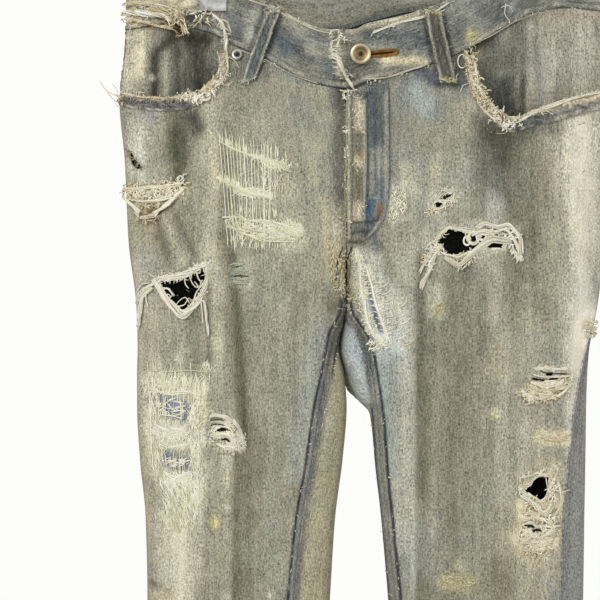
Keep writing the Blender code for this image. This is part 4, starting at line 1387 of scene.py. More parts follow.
BASE_RIGHT: Shade = (152, 149, 130)
BASE_LEFT: Shade = (150, 148, 131)
BLEACHED: Shade = (214, 207, 180)
BLUE: Shade = (112, 126, 134)
DARK_BLUE: Shade = (92, 104, 114)

RIGHT_MARKS: tuple[Mark, ...] = (
    Mark(-168, -240, -172, -420, 20, (178, 171, 148), 0.75),
    Mark(-182, -250, -180, -330, 9, (196, 188, 164), 0.6),
    Mark(-176, -420, -166, -640, 12, (182, 172, 146), 0.6),
    # Painted shade in the fold below the pocket's mouth
    Mark(-144, -226, -150, -262, 9, (106, 108, 96), 0.6),
    Mark(-172, -233, -168, -234, 9, (132, 134, 140), 0.7),
    Mark(-150, -300, -146, -360, 16, (138, 133, 112), 0.6),
    # Paler ridges and darker troughs of the leg's big folds: partly wear, partly painted light and shade
    Mark(-115, -222, -114, -340, 9, (184, 178, 154), 0.75),
    Mark(-113, -345, -98, -498, 9, (186, 181, 158), 0.8),
    Mark(-97, -505, -104, -700, 10, (178, 172, 148), 0.7),
    Mark(-103, -246, -101, -385, 7, (124, 122, 102), 0.6),
    Mark(-99, -392, -87, -526, 8, (118, 117, 97), 0.75), Mark(-89, -534, -93, -700, 9, (124, 122, 102), 0.6),
    Mark(-66, -240, -60, -420, 20, (160, 158, 138), 0.4),
    Mark(-54, -440, -60, -640, 22, (152, 150, 130), 0.5),
    Mark(-44, -222, -38, -300, 11, (146, 152, 148), 0.45),
    Mark(-24, -240, -18, -330, 10, (158, 160, 150), 0.5),
    Mark(-30, -400, -48, -520, 10, (158, 164, 158), 0.6),
    Mark(-62, -430, -70, -560, 8, (146, 148, 134), 0.5),
    Mark(-17, -324, -13, -371, 7, BLEACHED, 0.85), Mark(-24, -300, -22, -330, 8, (176, 172, 150), 0.6),
    Mark(-30, -350, -40, -392, 12, (184, 178, 152), 0.45), Mark(-9, -300, -8, -335, 4, (140, 128, 104), 0.6),
    Mark(-14, -211, -13, -221, 7, DARK_BLUE, 0.8), Mark(-30, -207, -60, -196, 5, (128, 134, 132), 0.6),
    Mark(-90, -188, -112, -236, 7, (140, 140, 126), 0.5),
    Mark(-80, -196, -84, -216, 12, (148, 146, 128), 0.5),
    # Darned knee
    Mark(-150, -440, -146, -470, 19, BLEACHED, 0.78), Mark(-148, -480, -140, -520, 18, BLEACHED, 0.75),
    Mark(-135, -520, -132, -548, 9, BLEACHED, 0.7), Mark(-130, -440, -124, -474, 7, (206, 198, 164), 0.65),
    Mark(-156, -466, -142, -472, 8.5, (122, 134, 150), 0.9),
    Mark(-151, -510, -140, -513, 7.5, (118, 132, 150), 0.9),
    Mark(-138, -525, -137, -527, 4, (124, 136, 150), 0.8),
    Mark(-131, -464, -130, -474, 5, (212, 200, 146), 0.7),
    # Darned thigh
    Mark(-104, -256, -74, -268, 6, (200, 194, 168), 0.5),
    Mark(-108, -284, -72, -298, 7, (204, 198, 172), 0.6),
    Mark(-100, -318, -50, -328, 9, (204, 197, 168), 0.65),
    Mark(-52, -322, -46, -332, 8, (214, 208, 184), 0.6),
    Mark(-88, -250, -90, -340, 17, (176, 172, 148), 0.35),
    # Flap, rips and stains
    Mark(-182, -286, -142, -294, 7, (196, 186, 156), 0.7),
    Mark(-168, -314, -160, -330, 9, (140, 122, 92), 0.5),
    Mark(-150, -352, -124, -346, 7, (188, 182, 158), 0.6),
    Mark(-172, -380, -168, -400, 6, (190, 184, 160), 0.5),
    Mark(-120, -380, -118, -412, 5, (188, 182, 158), 0.5),
    Mark(-96, -352, -91, -366, 6.5, (182, 184, 164), 0.7),
    Mark(-112, -480, -96, -496, 7.5, (202, 196, 172), 0.75),
    Mark(-111, -417, -111, -418, 4, (200, 194, 164), 0.7),
    Mark(-115, -560, -113, -562, 4.5, (206, 192, 140), 0.85),
    Mark(-103, -549, -103, -550, 2.2, (222, 218, 204), 0.8),
    Mark(-69, -620, -69, -621, 2.2, (222, 218, 204), 0.7),
    Mark(-103, -620, -103, -621, 2.2, (222, 218, 204), 0.7),
    Mark(-159, -554, -143, -578, 1.6, (206, 200, 176), 0.7, 0.1),
    Mark(-166, -199, -165, -200, 3, (216, 210, 190), 0.7),
    Mark(-165, -612, -150, -620, 3.5, (84, 82, 72), 0.75),
    Mark(-162, -600, -150, -608, 6, (124, 128, 132), 0.5),
    Mark(-184, -262, -182, -264, 2.5, (70, 62, 48), 0.7),
    Mark(-178, -268, -176, -274, 2.5, (90, 80, 60), 0.6),
    Mark(-150, -590, -130, -640, 18, (128, 126, 108), 0.5),
    Mark(-60, -560, -50, -630, 14, (132, 134, 124), 0.5),
    Mark(-110, -640, -90, -900, 40, (146, 144, 126), 0.5),
    Mark(-100, -940, -100, -1120, 50, (140, 143, 134), 0.6),
    Mark(-40, -700, -46, -1100, 12, (150, 154, 148), 0.5),
    Mark(-120, -1108, -60, -1116, 12, (124, 120, 100), 0.5),
    # Evening out
    Mark(-176, -240, -178, -302, 10, (204, 196, 168), 0.6),
    Mark(-176, -316, -176, -328, 7, (146, 136, 108), 0.5),
    Mark(-176, -350, -175, -386, 7, (206, 199, 176), 0.6),
    # Painted shade in the fold below the pocket's mouth
    Mark(-142, -232, -143, -264, 9, (98, 99, 82), 0.65),
    Mark(-146, -400, -141, -412, 12, (154, 155, 138), 0.4),
    Mark(-143, -468, -141, -660, 15, (222, 214, 190), 0.85),
    Mark(-156, -560, -152, -640, 8, (206, 196, 168), 0.5),
    Mark(-109, -400, -104, -520, 8, (192, 187, 162), 0.55),
    Mark(-109, -226, -109, -242, 6, (144, 142, 125), 0.5),
    Mark(-77, -266, -78, -300, 12, (194, 188, 161), 0.45),
    Mark(-46, -250, -48, -302, 12, (174, 170, 146), 0.5),
    Mark(-77, -500, -78, -520, 10, (128, 127, 109), 0.5),
    Mark(-44, -376, -44, -398, 9, (140, 138, 121), 0.5),
    Mark(-40, -548, -42, -640, 10, (164, 159, 139), 0.6),
    # Darker beside the fly's edge: painted shade cast by the edge, partly wear
    Mark(-12, -214, -12, -292, 7, (126, 124, 108), 0.55),
    Mark(-13, -342, -14, -356, 6, (188, 176, 144), 0.6),
    Mark(-15, -378, -17, -388, 6, (110, 108, 88), 0.6), Mark(-77, -188, -74, -196, 8, (104, 104, 98), 0.6),
    # The pleat down the right leg: a paler ridge, painted shadow along its right side and painted shade
    # where its left edge tucks under
    Mark(-104, -345, -95, -500, 4.5, (184, 179, 156), 0.6, 0.15),
    Mark(-98.5, -345, -88.5, -500, 3.2, (102, 100, 80), 0.8, 0.15),
    Mark(-95, -505, -96, -660, 3.6, (112, 109, 90), 0.6, 0.15),
    Mark(-119.5, -350, -118, -430, 2.4, (118, 115, 96), 0.6, 0.15),
    Mark(-21, -330, -17, -372, 2.4, (156, 140, 104), 0.6, 0.2),
    Mark(-26, -300, -22, -340, 3, (192, 182, 152), 0.6, 0.2),
    Mark(-6.5, -338, -7.5, -378, 1.8, (92, 76, 54), 0.8, 0.3),
    Mark(-11, -340, -13, -376, 1.2, (110, 90, 62), 0.7, 0.3),
    Mark(-184, -294, -144, -292, 4.5, (208, 198, 170), 0.85),
    Mark(-173, -309, -162, -311, 4, (150, 124, 74), 0.6),
    # Painted shadow under the torn flap's two rolled edges
    Mark(-186, -299, -175, -309, 2.4, (120, 106, 78), 0.5),
    Mark(-146, -300, -158, -309, 2.4, (120, 106, 78), 0.5),
    Mark(-166, -446, -126, -450, 8, (222, 216, 192), 0.7),
    Mark(-164, -484, -128, -490, 8, (226, 220, 198), 0.75),
    Mark(-158, -462, -140, -472, 7, (112, 120, 134), 0.9),
    Mark(-150, -509, -139, -514, 6.5, (108, 116, 132), 0.9),
    Mark(-139, -525, -136, -528, 3, (110, 116, 130), 0.8),
    Mark(-130, -458, -128, -474, 4.5, (226, 216, 160), 0.7),
    Mark(-132, -520, -128, -556, 6, (232, 225, 200), 0.7),
    Mark(-150, -440, -138, -436, 6, (158, 152, 130), 0.5),
    Mark(-178, -252, -178, -268, 8, (226, 216, 196), 0.6),
    # Painted shadow below the end of the pocket's edge
    Mark(-133, -230, -128, -242, 6, (74, 76, 66), 0.8),
    Mark(-57, -322, -56, -340, 7, (186, 182, 162), 0.5), Mark(-44, -378, -46, -396, 6, (120, 118, 102), 0.4),
    Mark(-178, -204, -178, -214, 7, (198, 190, 178), 0.6),
    Mark(-178, -304, -176, -312, 6, (162, 150, 118), 0.6),
    Mark(-130, -352, -130, -440, 7, (108, 109, 91), 0.6),
    Mark(-104, -396, -103, -484, 7, (124, 126, 106), 0.6),
    Mark(-105, -320, -104, -344, 7, (121, 122, 98), 0.6),
    Mark(-57, -274, -57, -292, 9, (189, 180, 155), 0.5),
    Mark(-57, -560, -56, -610, 10, (170, 166, 146), 0.6),
    Mark(-32, -205, -32, -216, 7, (172, 168, 146), 0.5), Mark(-32, -250, -34, -284, 7, (182, 178, 150), 0.5),
    # The second mark: darker beside the fly's edge, painted shade cast by the edge, partly wear
    Mark(-32, -560, -32, -620, 8, (184, 177, 153), 0.6), Mark(-12, -206, -12, -300, 5, (96, 96, 88), 0.75),
    Mark(-81, -256, -81, -300, 8, (150, 147, 124), 0.4),
    Mark(-154, -424, -152, -436, 7, (140, 133, 115), 0.6),
    # A crease from the flap to the great rip: a paler ridge with painted shade on either side
    Mark(-154, -315, -140, -350, 3, (182, 174, 148), 0.6),
    Mark(-161, -318, -150, -354, 2.6, (112, 106, 84), 0.6),
    Mark(-144, -314, -130, -344, 2.6, (110, 106, 86), 0.6),
    # Painted shade in the fold below the pocket's mouth
    Mark(-145, -246, -143, -286, 4.4, (90, 90, 74), 0.75),
    Mark(-184, -262, -174, -273, 3, (112, 98, 74), 0.6),
    Mark(-158, -465, -140, -471, 7.5, (98, 104, 120), 0.9),
    Mark(-152, -510, -140, -514, 6, (98, 104, 120), 0.9),
    Mark(-138, -526, -136, -528, 2.6, (100, 106, 120), 0.8),
    # Bleached round the darns and rips, with painted shade by the fly and the pocket's edge at the end
    Mark(-164, -450, -126, -452, 7, (234, 229, 206), 0.8),
    Mark(-166, -470, -163, -520, 5, (222, 215, 190), 0.7),
    Mark(-160, -489, -128, -492, 7, (236, 231, 208), 0.85),
    Mark(-130, -462, -128, -540, 5, (232, 228, 198), 0.75),
    Mark(-154, -526, -132, -534, 7, (230, 224, 198), 0.8),
    Mark(-150, -546, -134, -562, 8, (222, 215, 186), 0.6),
    Mark(-156, -463, -138, -469, 6, (138, 142, 160), 0.85),
    Mark(-150, -510, -140, -514, 5, (132, 138, 158), 0.85),
    Mark(-113, -482, -100, -480, 4, (222, 216, 194), 0.85),
    Mark(-114, -491, -96, -490, 3.4, (226, 220, 198), 0.85),
    Mark(-99, -484, -92, -500, 4, (224, 218, 196), 0.8),
    Mark(-110, -498, -94, -500, 3, (222, 216, 194), 0.8),
    Mark(-100, -356, -88, -356, 3, (186, 190, 170), 0.75),
    Mark(-100, -366, -86, -366, 3.4, (190, 194, 172), 0.8),
    Mark(-185, -295, -142, -293, 4.6, (232, 224, 194), 0.85),
    Mark(-176, -302, -154, -302, 3.4, (222, 210, 176), 0.8),
    # Darker beside the fly's edge, painted shade cast by the edge and partly wear; then painted shadow below
    # the end of the pocket's edge
    Mark(-11, -182, -11, -224, 5, (92, 92, 82), 0.6), Mark(-130, -232, -128, -242, 6, (70, 72, 62), 0.5),
    Mark(-32, -470, -32, -616, 9, (196, 190, 168), 0.4), Mark(-57, -516, -57, -590, 7, (176, 172, 150), 0.3),
    Mark(-81, -318, -81, -340, 7, (112, 110, 92), 0.5), Mark(-81, -256, -81, -264, 6, (122, 120, 104), 0.4),
)
LEFT_MARKS: tuple[Mark, ...] = (
    Mark(170, -250, 186, -330, 22, (194, 187, 166), 0.7),
    Mark(198, -250, 202, -390, 10, (200, 194, 174), 0.6),
    # These three: the darker trough of the fold below the pocket's corner, painted shade
    Mark(118, -240, 130, -320, 18, (118, 116, 98), 0.75),
    Mark(130, -320, 138, -400, 15, (128, 125, 106), 0.7),
    Mark(100, -250, 108, -310, 10, (136, 134, 114), 0.5),
    Mark(160, -340, 166, -420, 18, (160, 155, 134), 0.6),
    # Paler ridges and darker troughs of the leg's folds: partly wear, partly painted light and shade
    Mark(40, -385, 41, -640, 9, (178, 176, 160), 0.7), Mark(56, -400, 58, -640, 7, (126, 124, 104), 0.6),
    Mark(78, -352, 78, -660, 12, (130, 127, 108), 0.65), Mark(122, -410, 121, -640, 9, (176, 170, 148), 0.7),
    Mark(152, -432, 150, -640, 8, (132, 128, 108), 0.6), Mark(98, -460, 100, -620, 12, (148, 144, 124), 0.5),
    Mark(16, -212, 22, -296, 9, (116, 122, 122), 0.8), Mark(12, -216, 16, -262, 6, (104, 112, 118), 0.6),
    Mark(46, -212, 60, -226, 13, BLUE, 0.45), Mark(86, -208, 78, -196, 10, (132, 140, 138), 0.5),
    Mark(50, -260, 54, -330, 15, (156, 152, 134), 0.5), Mark(36, -230, 40, -270, 9, (140, 142, 132), 0.5),
    Mark(11, -302, 11, -312, 6, (68, 92, 122), 0.85), Mark(20, -306, 20, -314, 3, (120, 92, 54), 0.7),
    Mark(-3, -226, -2, -318, 4, (176, 170, 146), 0.5), Mark(34, -292, 33, -314, 8, (206, 202, 182), 0.7),
    Mark(-8, -268, -7, -294, 2.6, (190, 178, 118), 0.75), Mark(-9, -330, -8, -338, 2.4, (140, 84, 62), 0.6),
    Mark(0, -345, 4, -380, 8, (210, 206, 184), 0.75), Mark(12, -350, 28, -414, 11, (206, 206, 192), 0.8),
    Mark(8, -366, 19, -402, 4.5, (120, 136, 152), 0.9), Mark(26, -380, 44, -404, 8, (196, 195, 180), 0.6),
    Mark(2, -347, 5, -378, 3.4, (234, 229, 210), 0.9), Mark(6, -380, 20, -414, 3.4, (234, 229, 210), 0.9),
    Mark(10, -354, 26, -412, 2.6, (230, 226, 208), 0.85),
    Mark(22, -420, 30, -520, 8, (168, 176, 170), 0.65), Mark(34, -330, 60, -350, 14, (164, 160, 140), 0.5),
    Mark(66, -350, 110, -346, 10, (176, 172, 152), 0.5), Mark(90, -320, 124, -322, 6, (190, 185, 164), 0.5),
    Mark(64, -304, 76, -298, 6.5, (210, 206, 190), 0.8), Mark(58, -340, 54, -368, 6, (184, 178, 156), 0.5),
    Mark(150, -443, 166, -445, 8, (196, 182, 154), 0.75),
    Mark(142, -455, 158, -455, 7, (196, 180, 146), 0.7),
    Mark(152, -493, 172, -494, 9, (196, 192, 170), 0.7),
    Mark(147, -540, 149, -576, 12, (216, 206, 178), 0.75),
    Mark(150, -580, 146, -592, 10, (176, 166, 134), 0.5),
    Mark(192, -396, 190, -416, 7, (236, 230, 210), 0.9),
    Mark(74, -609, 92, -611, 6, (224, 208, 160), 0.9), Mark(84, -597, 85, -598, 4, (216, 208, 176), 0.8),
    Mark(67, -388, 67, -390, 5.5, (218, 208, 168), 0.8),
    Mark(113, -472, 113, -473, 4.5, (216, 206, 166), 0.8),
    Mark(114, -615, 115, -616, 3, (222, 216, 196), 0.7),
    Mark(120, -560, 116, -622, 14, (146, 138, 116), 0.6),
    Mark(150, -606, 164, -626, 8, (110, 124, 140), 0.5), Mark(60, -580, 110, -628, 10, (158, 152, 124), 0.4),
    Mark(182, -420, 178, -480, 6, (140, 146, 152), 0.45),
    Mark(110, -640, 90, -900, 40, (146, 143, 124), 0.5),
    Mark(100, -940, 100, -1120, 50, (140, 143, 135), 0.6),
    Mark(54, -700, 58, -1100, 11, (160, 164, 156), 0.5),
    Mark(70, -1108, 130, -1116, 12, (124, 120, 100), 0.5),
    Mark(150, -205, 190, -225, 14, (190, 186, 170), 0.4),
    # Evening out
    Mark(50, -212, 56, -224, 9, (176, 182, 176), 0.7), Mark(50, -306, 54, -356, 10, (178, 175, 154), 0.6),
    # The first mark: painted shade between the belt loop and the pocket's mouth
    Mark(84, -186, 85, -197, 7, (108, 107, 92), 0.6), Mark(86, -268, 84, -304, 11, (172, 170, 150), 0.6),
    # The first mark: painted shade in the corner of the fold below the pocket
    Mark(114, -246, 121, -266, 9, (86, 85, 70), 0.75), Mark(146, -246, 150, -300, 9, (124, 120, 104), 0.7),
    Mark(114, -344, 118, -398, 10, (174, 169, 148), 0.65),
    Mark(150, -404, 149, -470, 11, (184, 176, 152), 0.6),
    Mark(146, -490, 148, -622, 12, (194, 185, 160), 0.7),
    Mark(146, -562, 148, -584, 10, (232, 222, 194), 0.8),
    # Painted light: paler along the leg's outer edge, which turns away from the key lamp
    Mark(184, -238, 184, -470, 13, (226, 219, 199), 0.85),
    Mark(178, -474, 176, -560, 8, (190, 186, 172), 0.7),
    Mark(30, -530, 38, -600, 7, (184, 184, 173), 0.6), Mark(50, -550, 52, -592, 9, (182, 179, 161), 0.6),
    Mark(117, -596, 117, -624, 9, (118, 110, 88), 0.7), Mark(85, -440, 85, -482, 9, (126, 123, 106), 0.5),
    # The crease beside the left inseam: painted light on its ridge, painted shade in its trough
    Mark(46, -330, 47, -640, 4, (170, 169, 155), 0.4, 0.3),
    Mark(54, -330, 55, -640, 4, (116, 115, 98), 0.45, 0.3),
    Mark(8, -366, 19, -402, 3.6, (104, 120, 140), 0.9), Mark(14, -390, 17, -400, 4, (88, 98, 122), 0.8),
    # Round the rips
    Mark(60, -338, 72, -330, 5, (214, 206, 178), 0.7), Mark(92, -346, 112, -340, 5, (196, 190, 170), 0.6),
    Mark(100, -322, 130, -325, 5, (212, 206, 186), 0.6), Mark(128, -328, 134, -346, 4, (214, 208, 188), 0.6),
    Mark(148, -450, 170, -447, 5, (196, 182, 150), 0.8), Mark(144, -457, 162, -456, 5, (188, 170, 134), 0.7),
    Mark(136, -548, 156, -552, 6, (214, 202, 172), 0.8),
    Mark(134, -572, 158, -572, 8, (220, 208, 178), 0.85),
    Mark(138, -584, 152, -586, 5, (206, 194, 164), 0.7), Mark(158, -530, 163, -546, 4, (206, 196, 170), 0.7),
    Mark(134, -524, 156, -521, 4, (206, 200, 178), 0.7),
    Mark(16, -372, 24, -420, 9, (196, 198, 186), 0.6), Mark(-8, -392, 2, -440, 8, (178, 184, 176), 0.6),
    Mark(186, -398, 180, -412, 5, (232, 224, 206), 0.6), Mark(56, -326, 52, -338, 7, (196, 194, 180), 0.6),
    Mark(89, -324, 90, -322, 7, (184, 182, 168), 0.6), Mark(16, -276, 17, -290, 6, (160, 158, 140), 0.6),
    Mark(40, -276, 42, -292, 8, (202, 193, 158), 0.6),
    Mark(14, -328, 18, -338, 5, (88, 96, 98), 0.7), Mark(40, -350, 42, -364, 8, (190, 192, 172), 0.6),
    # The second mark: painted shade beside the belt loop
    Mark(40, -592, 40, -620, 7, (118, 117, 102), 0.6), Mark(66, -178, 67, -197, 3.6, (56, 60, 62), 0.8),
    Mark(65, -276, 65, -292, 8, (190, 185, 158), 0.6), Mark(65, -372, 65, -390, 7, (200, 200, 174), 0.6),
    # The second mark: painted shade in the corner of the pocket's mouth
    Mark(65, -560, 65, -600, 8, (166, 160, 148), 0.6), Mark(89, -178, 91, -192, 4, (62, 64, 56), 0.8),
    Mark(89, -226, 89, -242, 7, (182, 176, 152), 0.6), Mark(89, -352, 90, -362, 7, (112, 110, 92), 0.6),
    # The second mark: painted shade below the pocket's edge
    Mark(89, -422, 89, -440, 8, (114, 111, 92), 0.5), Mark(113, -228, 114, -240, 7, (122, 115, 94), 0.6),
    Mark(113, -300, 114, -312, 8, (206, 200, 180), 0.6), Mark(113, -350, 113, -392, 8, (184, 181, 163), 0.6),
    # The second mark: painted shade below the pocket's edge
    Mark(113, -420, 113, -440, 8, (178, 169, 142), 0.6), Mark(138, -228, 139, -242, 7, (84, 88, 82), 0.6),
    Mark(138, -300, 138, -316, 7, (148, 142, 123), 0.5), Mark(138, -372, 138, -392, 7, (178, 174, 150), 0.6),
    Mark(138, -398, 138, -440, 8, (196, 190, 165), 0.6), Mark(138, -468, 138, -512, 7, (190, 183, 158), 0.6),
    # The first mark: painted shade below the pocket's edge
    Mark(162, -228, 163, -242, 7, (104, 102, 94), 0.6), Mark(162, -324, 162, -342, 8, (182, 173, 152), 0.5),
    Mark(164, -516, 163, -556, 6, (210, 202, 174), 0.6), Mark(188, -396, 184, -436, 7, (240, 231, 212), 0.6),
    # The lump on the outline: its own cream, painted paler still as painted light, since it faces away from
    # the key lamp
    Mark(194, -394, 191, -413, 7, (252, 246, 230), 0.95),
    Mark(148, -492, 173, -493.4, 4.5, (220, 208, 166), 0.85),
    # Bleached round the darns and rips, with painted shade by the pocket's edge and the belt loop at the end
    Mark(1, -342, 4, -356, 2.6, (245, 243, 233), 0.95), Mark(4, -356, 7.4, -376, 2.6, (245, 243, 233), 0.95),
    Mark(7.4, -376, 10.4, -397, 2.6, (245, 243, 233), 0.95),
    Mark(10.4, -397, 19, -412, 2.6, (245, 243, 233), 0.95),
    Mark(19, -412, 26, -418, 2.6, (245, 243, 233), 0.95), Mark(9, -356, 15, -374, 2, (242, 240, 230), 0.9),
    Mark(15, -374, 20, -390, 2, (242, 240, 230), 0.9), Mark(20, -390, 27, -416, 2, (242, 240, 230), 0.9),
    Mark(10, -364, 17, -394, 1.8, (84, 94, 120), 0.9), Mark(16, -394, 21, -406, 2, (80, 88, 116), 0.9),
    Mark(26, -368, 40, -404, 7, (196, 198, 186), 0.5),
    Mark(62, -300, 66, -296, 3, (216, 212, 192), 0.85), Mark(76, -293, 81, -297, 3, (216, 212, 192), 0.85),
    Mark(60, -308, 66, -310, 3.4, (218, 213, 192), 0.85),
    Mark(74, -302, 78, -302, 3.4, (214, 210, 190), 0.8),
    Mark(138, -575, 156, -578, 8, (234, 226, 200), 0.9),
    Mark(136, -557, 160, -558, 4, (232, 223, 196), 0.85),
    Mark(134, -546, 148, -551, 4, (230, 221, 194), 0.85),
    Mark(160, -528, 165, -548, 4, (228, 219, 192), 0.85),
    Mark(143, -452, 168, -450, 5, (220, 204, 172), 0.85),
    Mark(134, -456, 160, -459, 3.6, (216, 202, 168), 0.85),
    Mark(148, -436, 174, -438, 2.4, (214, 206, 186), 0.8),
    Mark(150, -492.4, 172, -493.4, 4.5, (230, 220, 180), 0.9),
    Mark(176, -492, 177, -496, 4, (226, 222, 210), 0.7),
    # Painted shade below the pocket's edge
    Mark(110, -247, 134, -250, 8, (84, 82, 68), 0.75), Mark(98, -236, 104, -244, 6, (92, 90, 78), 0.6),
    # Painted shade below the pocket's edge, then painted shadow under the belt loop's lower end
    Mark(134, -243, 156, -240, 4, (92, 92, 82), 0.6), Mark(67, -206, 83, -208, 3.4, (40, 42, 46), 0.85),
    Mark(54, -196, 63, -202, 6, (54, 62, 88), 0.7), Mark(84, -196, 88, -206, 4, (60, 64, 82), 0.6),
    Mark(138, -256, 140, -264, 6, (126, 122, 104), 0.5), Mark(138, -484, 138, -530, 7, (206, 199, 172), 0.5),
    Mark(162, -548, 162, -556, 5, (214, 204, 176), 0.6), Mark(113, -304, 113, -314, 6, (214, 208, 190), 0.5),
    # The first mark: painted shade between the belt loop and the pocket's mouth
    Mark(84, -184, 86, -194, 5, (74, 76, 66), 0.7), Mark(65, -302, 68, -318, 8, (192, 188, 168), 0.5),
    Mark(113, -354, 113, -362, 6, (198, 194, 178), 0.5), Mark(16, -378, 22, -384, 3, (214, 214, 202), 0.5),
)
BACK_MARKS: tuple[Mark, ...] = (
    Mark(-90, -330, -86, -380, 44, (172, 172, 158), 0.7), Mark(92, -330, 90, -384, 44, (172, 172, 158), 0.7),
    Mark(-100, -430, -96, -620, 24, (164, 162, 144), 0.6),
    Mark(106, -430, 98, -620, 24, (164, 162, 144), 0.6),
    Mark(-40, -392, -52, -410, 14, (184, 180, 158), 0.6), Mark(40, -392, 52, -410, 14, (184, 180, 158), 0.6),
    Mark(-160, -260, -162, -420, 14, (134, 134, 118), 0.5),
    Mark(176, -260, 172, -420, 14, (134, 134, 118), 0.5),
    Mark(-84, -560, -104, -590, 26, (148, 142, 118), 0.6),
    Mark(84, -566, 100, -600, 26, (148, 142, 118), 0.6),
    Mark(-28, -440, -52, -640, 12, (160, 168, 164), 0.6), Mark(26, -440, 40, -640, 12, (160, 168, 164), 0.6),
    Mark(-110, -780, -100, -900, 34, (142, 138, 118), 0.6),
    Mark(110, -780, 104, -900, 34, (142, 138, 118), 0.6),
    Mark(-140, -1106, -60, -1116, 13, (116, 110, 88), 0.6),
    Mark(70, -1106, 140, -1116, 13, (116, 110, 88), 0.6),
    Mark(-60, -760, -58, -762, 9, (206, 196, 158), 0.6), Mark(130, -690, 131, -692, 7, (206, 196, 158), 0.6),
    Mark(-30, -420, -8, -380, 10, (146, 156, 160), 0.5), Mark(20, -420, -4, -380, 10, (146, 156, 160), 0.5),
    Mark(2, -384, 10, -438, 10, (192, 198, 192), 0.85),
)
# The yokes of the back
YOKE_MARKS: tuple[Mark, ...] = (
    Mark(-100, -190, 90, -180, 26, (158, 158, 146), 0.5),
    Mark(-20, -190, 10, -186, 18, (128, 132, 128), 0.5),
)
# The waistband
WAIST_MARKS: tuple[Mark, ...] = (
    Mark(-182, -142, -140, -138, 12, (214, 204, 176), 0.85),
    # Painted shade in the gap between the frayed ropes and the pocket facing
    Mark(-136, -150, -120, -157, 6, (72, 70, 76), 0.85),
    Mark(-186, -150, -166, -157, 6, (224, 214, 186), 0.85),
    Mark(-150, -152, -142, -156, 4, (96, 86, 60), 0.7),
    Mark(-58, -176, -48, -186, 5, (74, 82, 92), 0.7), Mark(36, -176, 54, -172, 5, (88, 94, 98), 0.6),
    Mark(-114, -146, -106, -156, 8, (158, 155, 140), 0.7),
    Mark(-100, -150, -94, -164, 7, (98, 104, 108), 0.7),
    Mark(-80, -148, -84, -170, 7, (180, 180, 168), 0.75),
    Mark(-178, -152, -178, -170, 7, (228, 219, 192), 0.7),
    Mark(-66, -166, -38, -186, 7, (84, 90, 97), 0.8),
    Mark(-60, -150, -40, -160, 6, (146, 142, 124), 0.6),
    Mark(-50, -186, -30, -197, 4, (150, 146, 128), 0.5),
    Mark(-38, -178, -22, -181, 5, (172, 167, 144), 0.65),
    Mark(-24, -190, -20, -198, 5, (92, 98, 102), 0.6),
    Mark(-14, -166, -13, -196, 3, (206, 198, 172), 0.7),
    Mark(-2, -162, 56, -149, 3.2, (206, 197, 170), 0.8),
    Mark(10, -166, 48, -166, 6, (90, 95, 98), 0.8), Mark(2, -176, 6, -196, 5, (112, 110, 100), 0.6),
    Mark(24, -187, 56, -188, 3.6, (212, 201, 166), 0.85),
    Mark(6, -198, 34, -195, 3, (146, 142, 122), 0.6),
    Mark(14, -181, 34, -180, 2.4, (122, 108, 76), 0.5),
    Mark(52, -170, 56, -182, 4, (98, 104, 108), 0.6),
    # Painted shade beside the belt loop's left side
    Mark(62, -172, 66, -190, 4, (66, 70, 76), 0.75),
    Mark(82, -150, 104, -146, 9, (122, 124, 116), 0.6),
    Mark(84, -168, 94, -176, 5, (104, 106, 98), 0.6),
    Mark(94, -166, 96, -172, 4, (206, 192, 128), 0.7),
    Mark(110, -150, 118, -162, 8, (96, 97, 88), 0.7),
    Mark(140, -120, 170, -112, 12, (138, 138, 126), 0.6),
    Mark(92, -172, 120, -158, 3, (180, 174, 152), 0.5),
    Mark(100, -150, 112, -154, 5, (96, 98, 96), 0.5),
)
# The fly
FLY_MARKS: tuple[Mark, ...] = (
    Mark(1, -212, 1, -330, 7, (136, 130, 114), 0.75),
    Mark(18, -212, 19, -262, 8, (84, 90, 90), 0.85),
    Mark(19, -262, 20, -296, 7, (158, 158, 146), 0.8),
    Mark(13, -212, 13.5, -256, 2.4, (78, 88, 104), 0.7),
    Mark(24, -214, 25, -250, 3, (124, 128, 124), 0.7),
    Mark(20, -286, 22, -300, 5, (96, 108, 124), 0.6),
    Mark(4, -222, 4, -242, 4, (206, 196, 164), 0.75),
    Mark(3, -265, 3, -272, 3.6, (200, 188, 152), 0.7),
    Mark(2, -304, 2, -315, 4, (204, 194, 166), 0.75),
    Mark(3, -262, 4, -266, 1.6, (150, 96, 48), 0.7), Mark(2, -250, 2, -260, 5, (104, 102, 90), 0.7),
    Mark(1, -278, 2, -298, 5, (118, 114, 94), 0.7), Mark(2, -322, 0, -334, 5, (132, 126, 104), 0.7),
    Mark(9.7, -214, 9.7, -320, 1.7, (56, 60, 60), 0.85),
    Mark(7.4, -220, 7.4, -316, 1.0, (186, 180, 158), 0.6),
    Mark(13, -302, 10, -312, 4, (50, 82, 112), 0.85),
    Mark(20, -304, 19, -316, 2.4, (112, 80, 44), 0.8),
    Mark(14, -316, 8, -326, 4, (82, 92, 104), 0.7),
    Mark(-5.2, -215, -5.2, -330, 1.1, (196, 190, 158), 0.7),
    Mark(-2.6, -215, -2.8, -330, 0.9, (84, 80, 64), 0.7),
    Mark(0, -324, 16, -326, 5, (92, 95, 92), 0.75),
    Mark(-4, -319, 20, -317, 1.2, (56, 58, 58), 0.75),
    Mark(-4, -327, 14, -325, 1.2, (56, 58, 58), 0.75),
    Mark(-4, -333, 8, -334, 1.6, (52, 54, 52), 0.8), Mark(2, -213, 6, -219, 3, (74, 76, 76), 0.7),
    Mark(16, -216, 16.4, -296, 1.2, (66, 72, 74), 0.6), Mark(3, -284, 4, -298, 3, (96, 88, 74), 0.6),
    Mark(25, -214, 25, -300, 1.1, (176, 174, 158), 0.6),
    Mark(22.5, -314, 11, -330, 1.4, (176, 174, 158), 0.6),
    Mark(21, -214, 21, -300, 1.0, (76, 80, 84), 0.5),
    Mark(18, -314, 6, -326, 1.2, (70, 72, 74), 0.6),
)
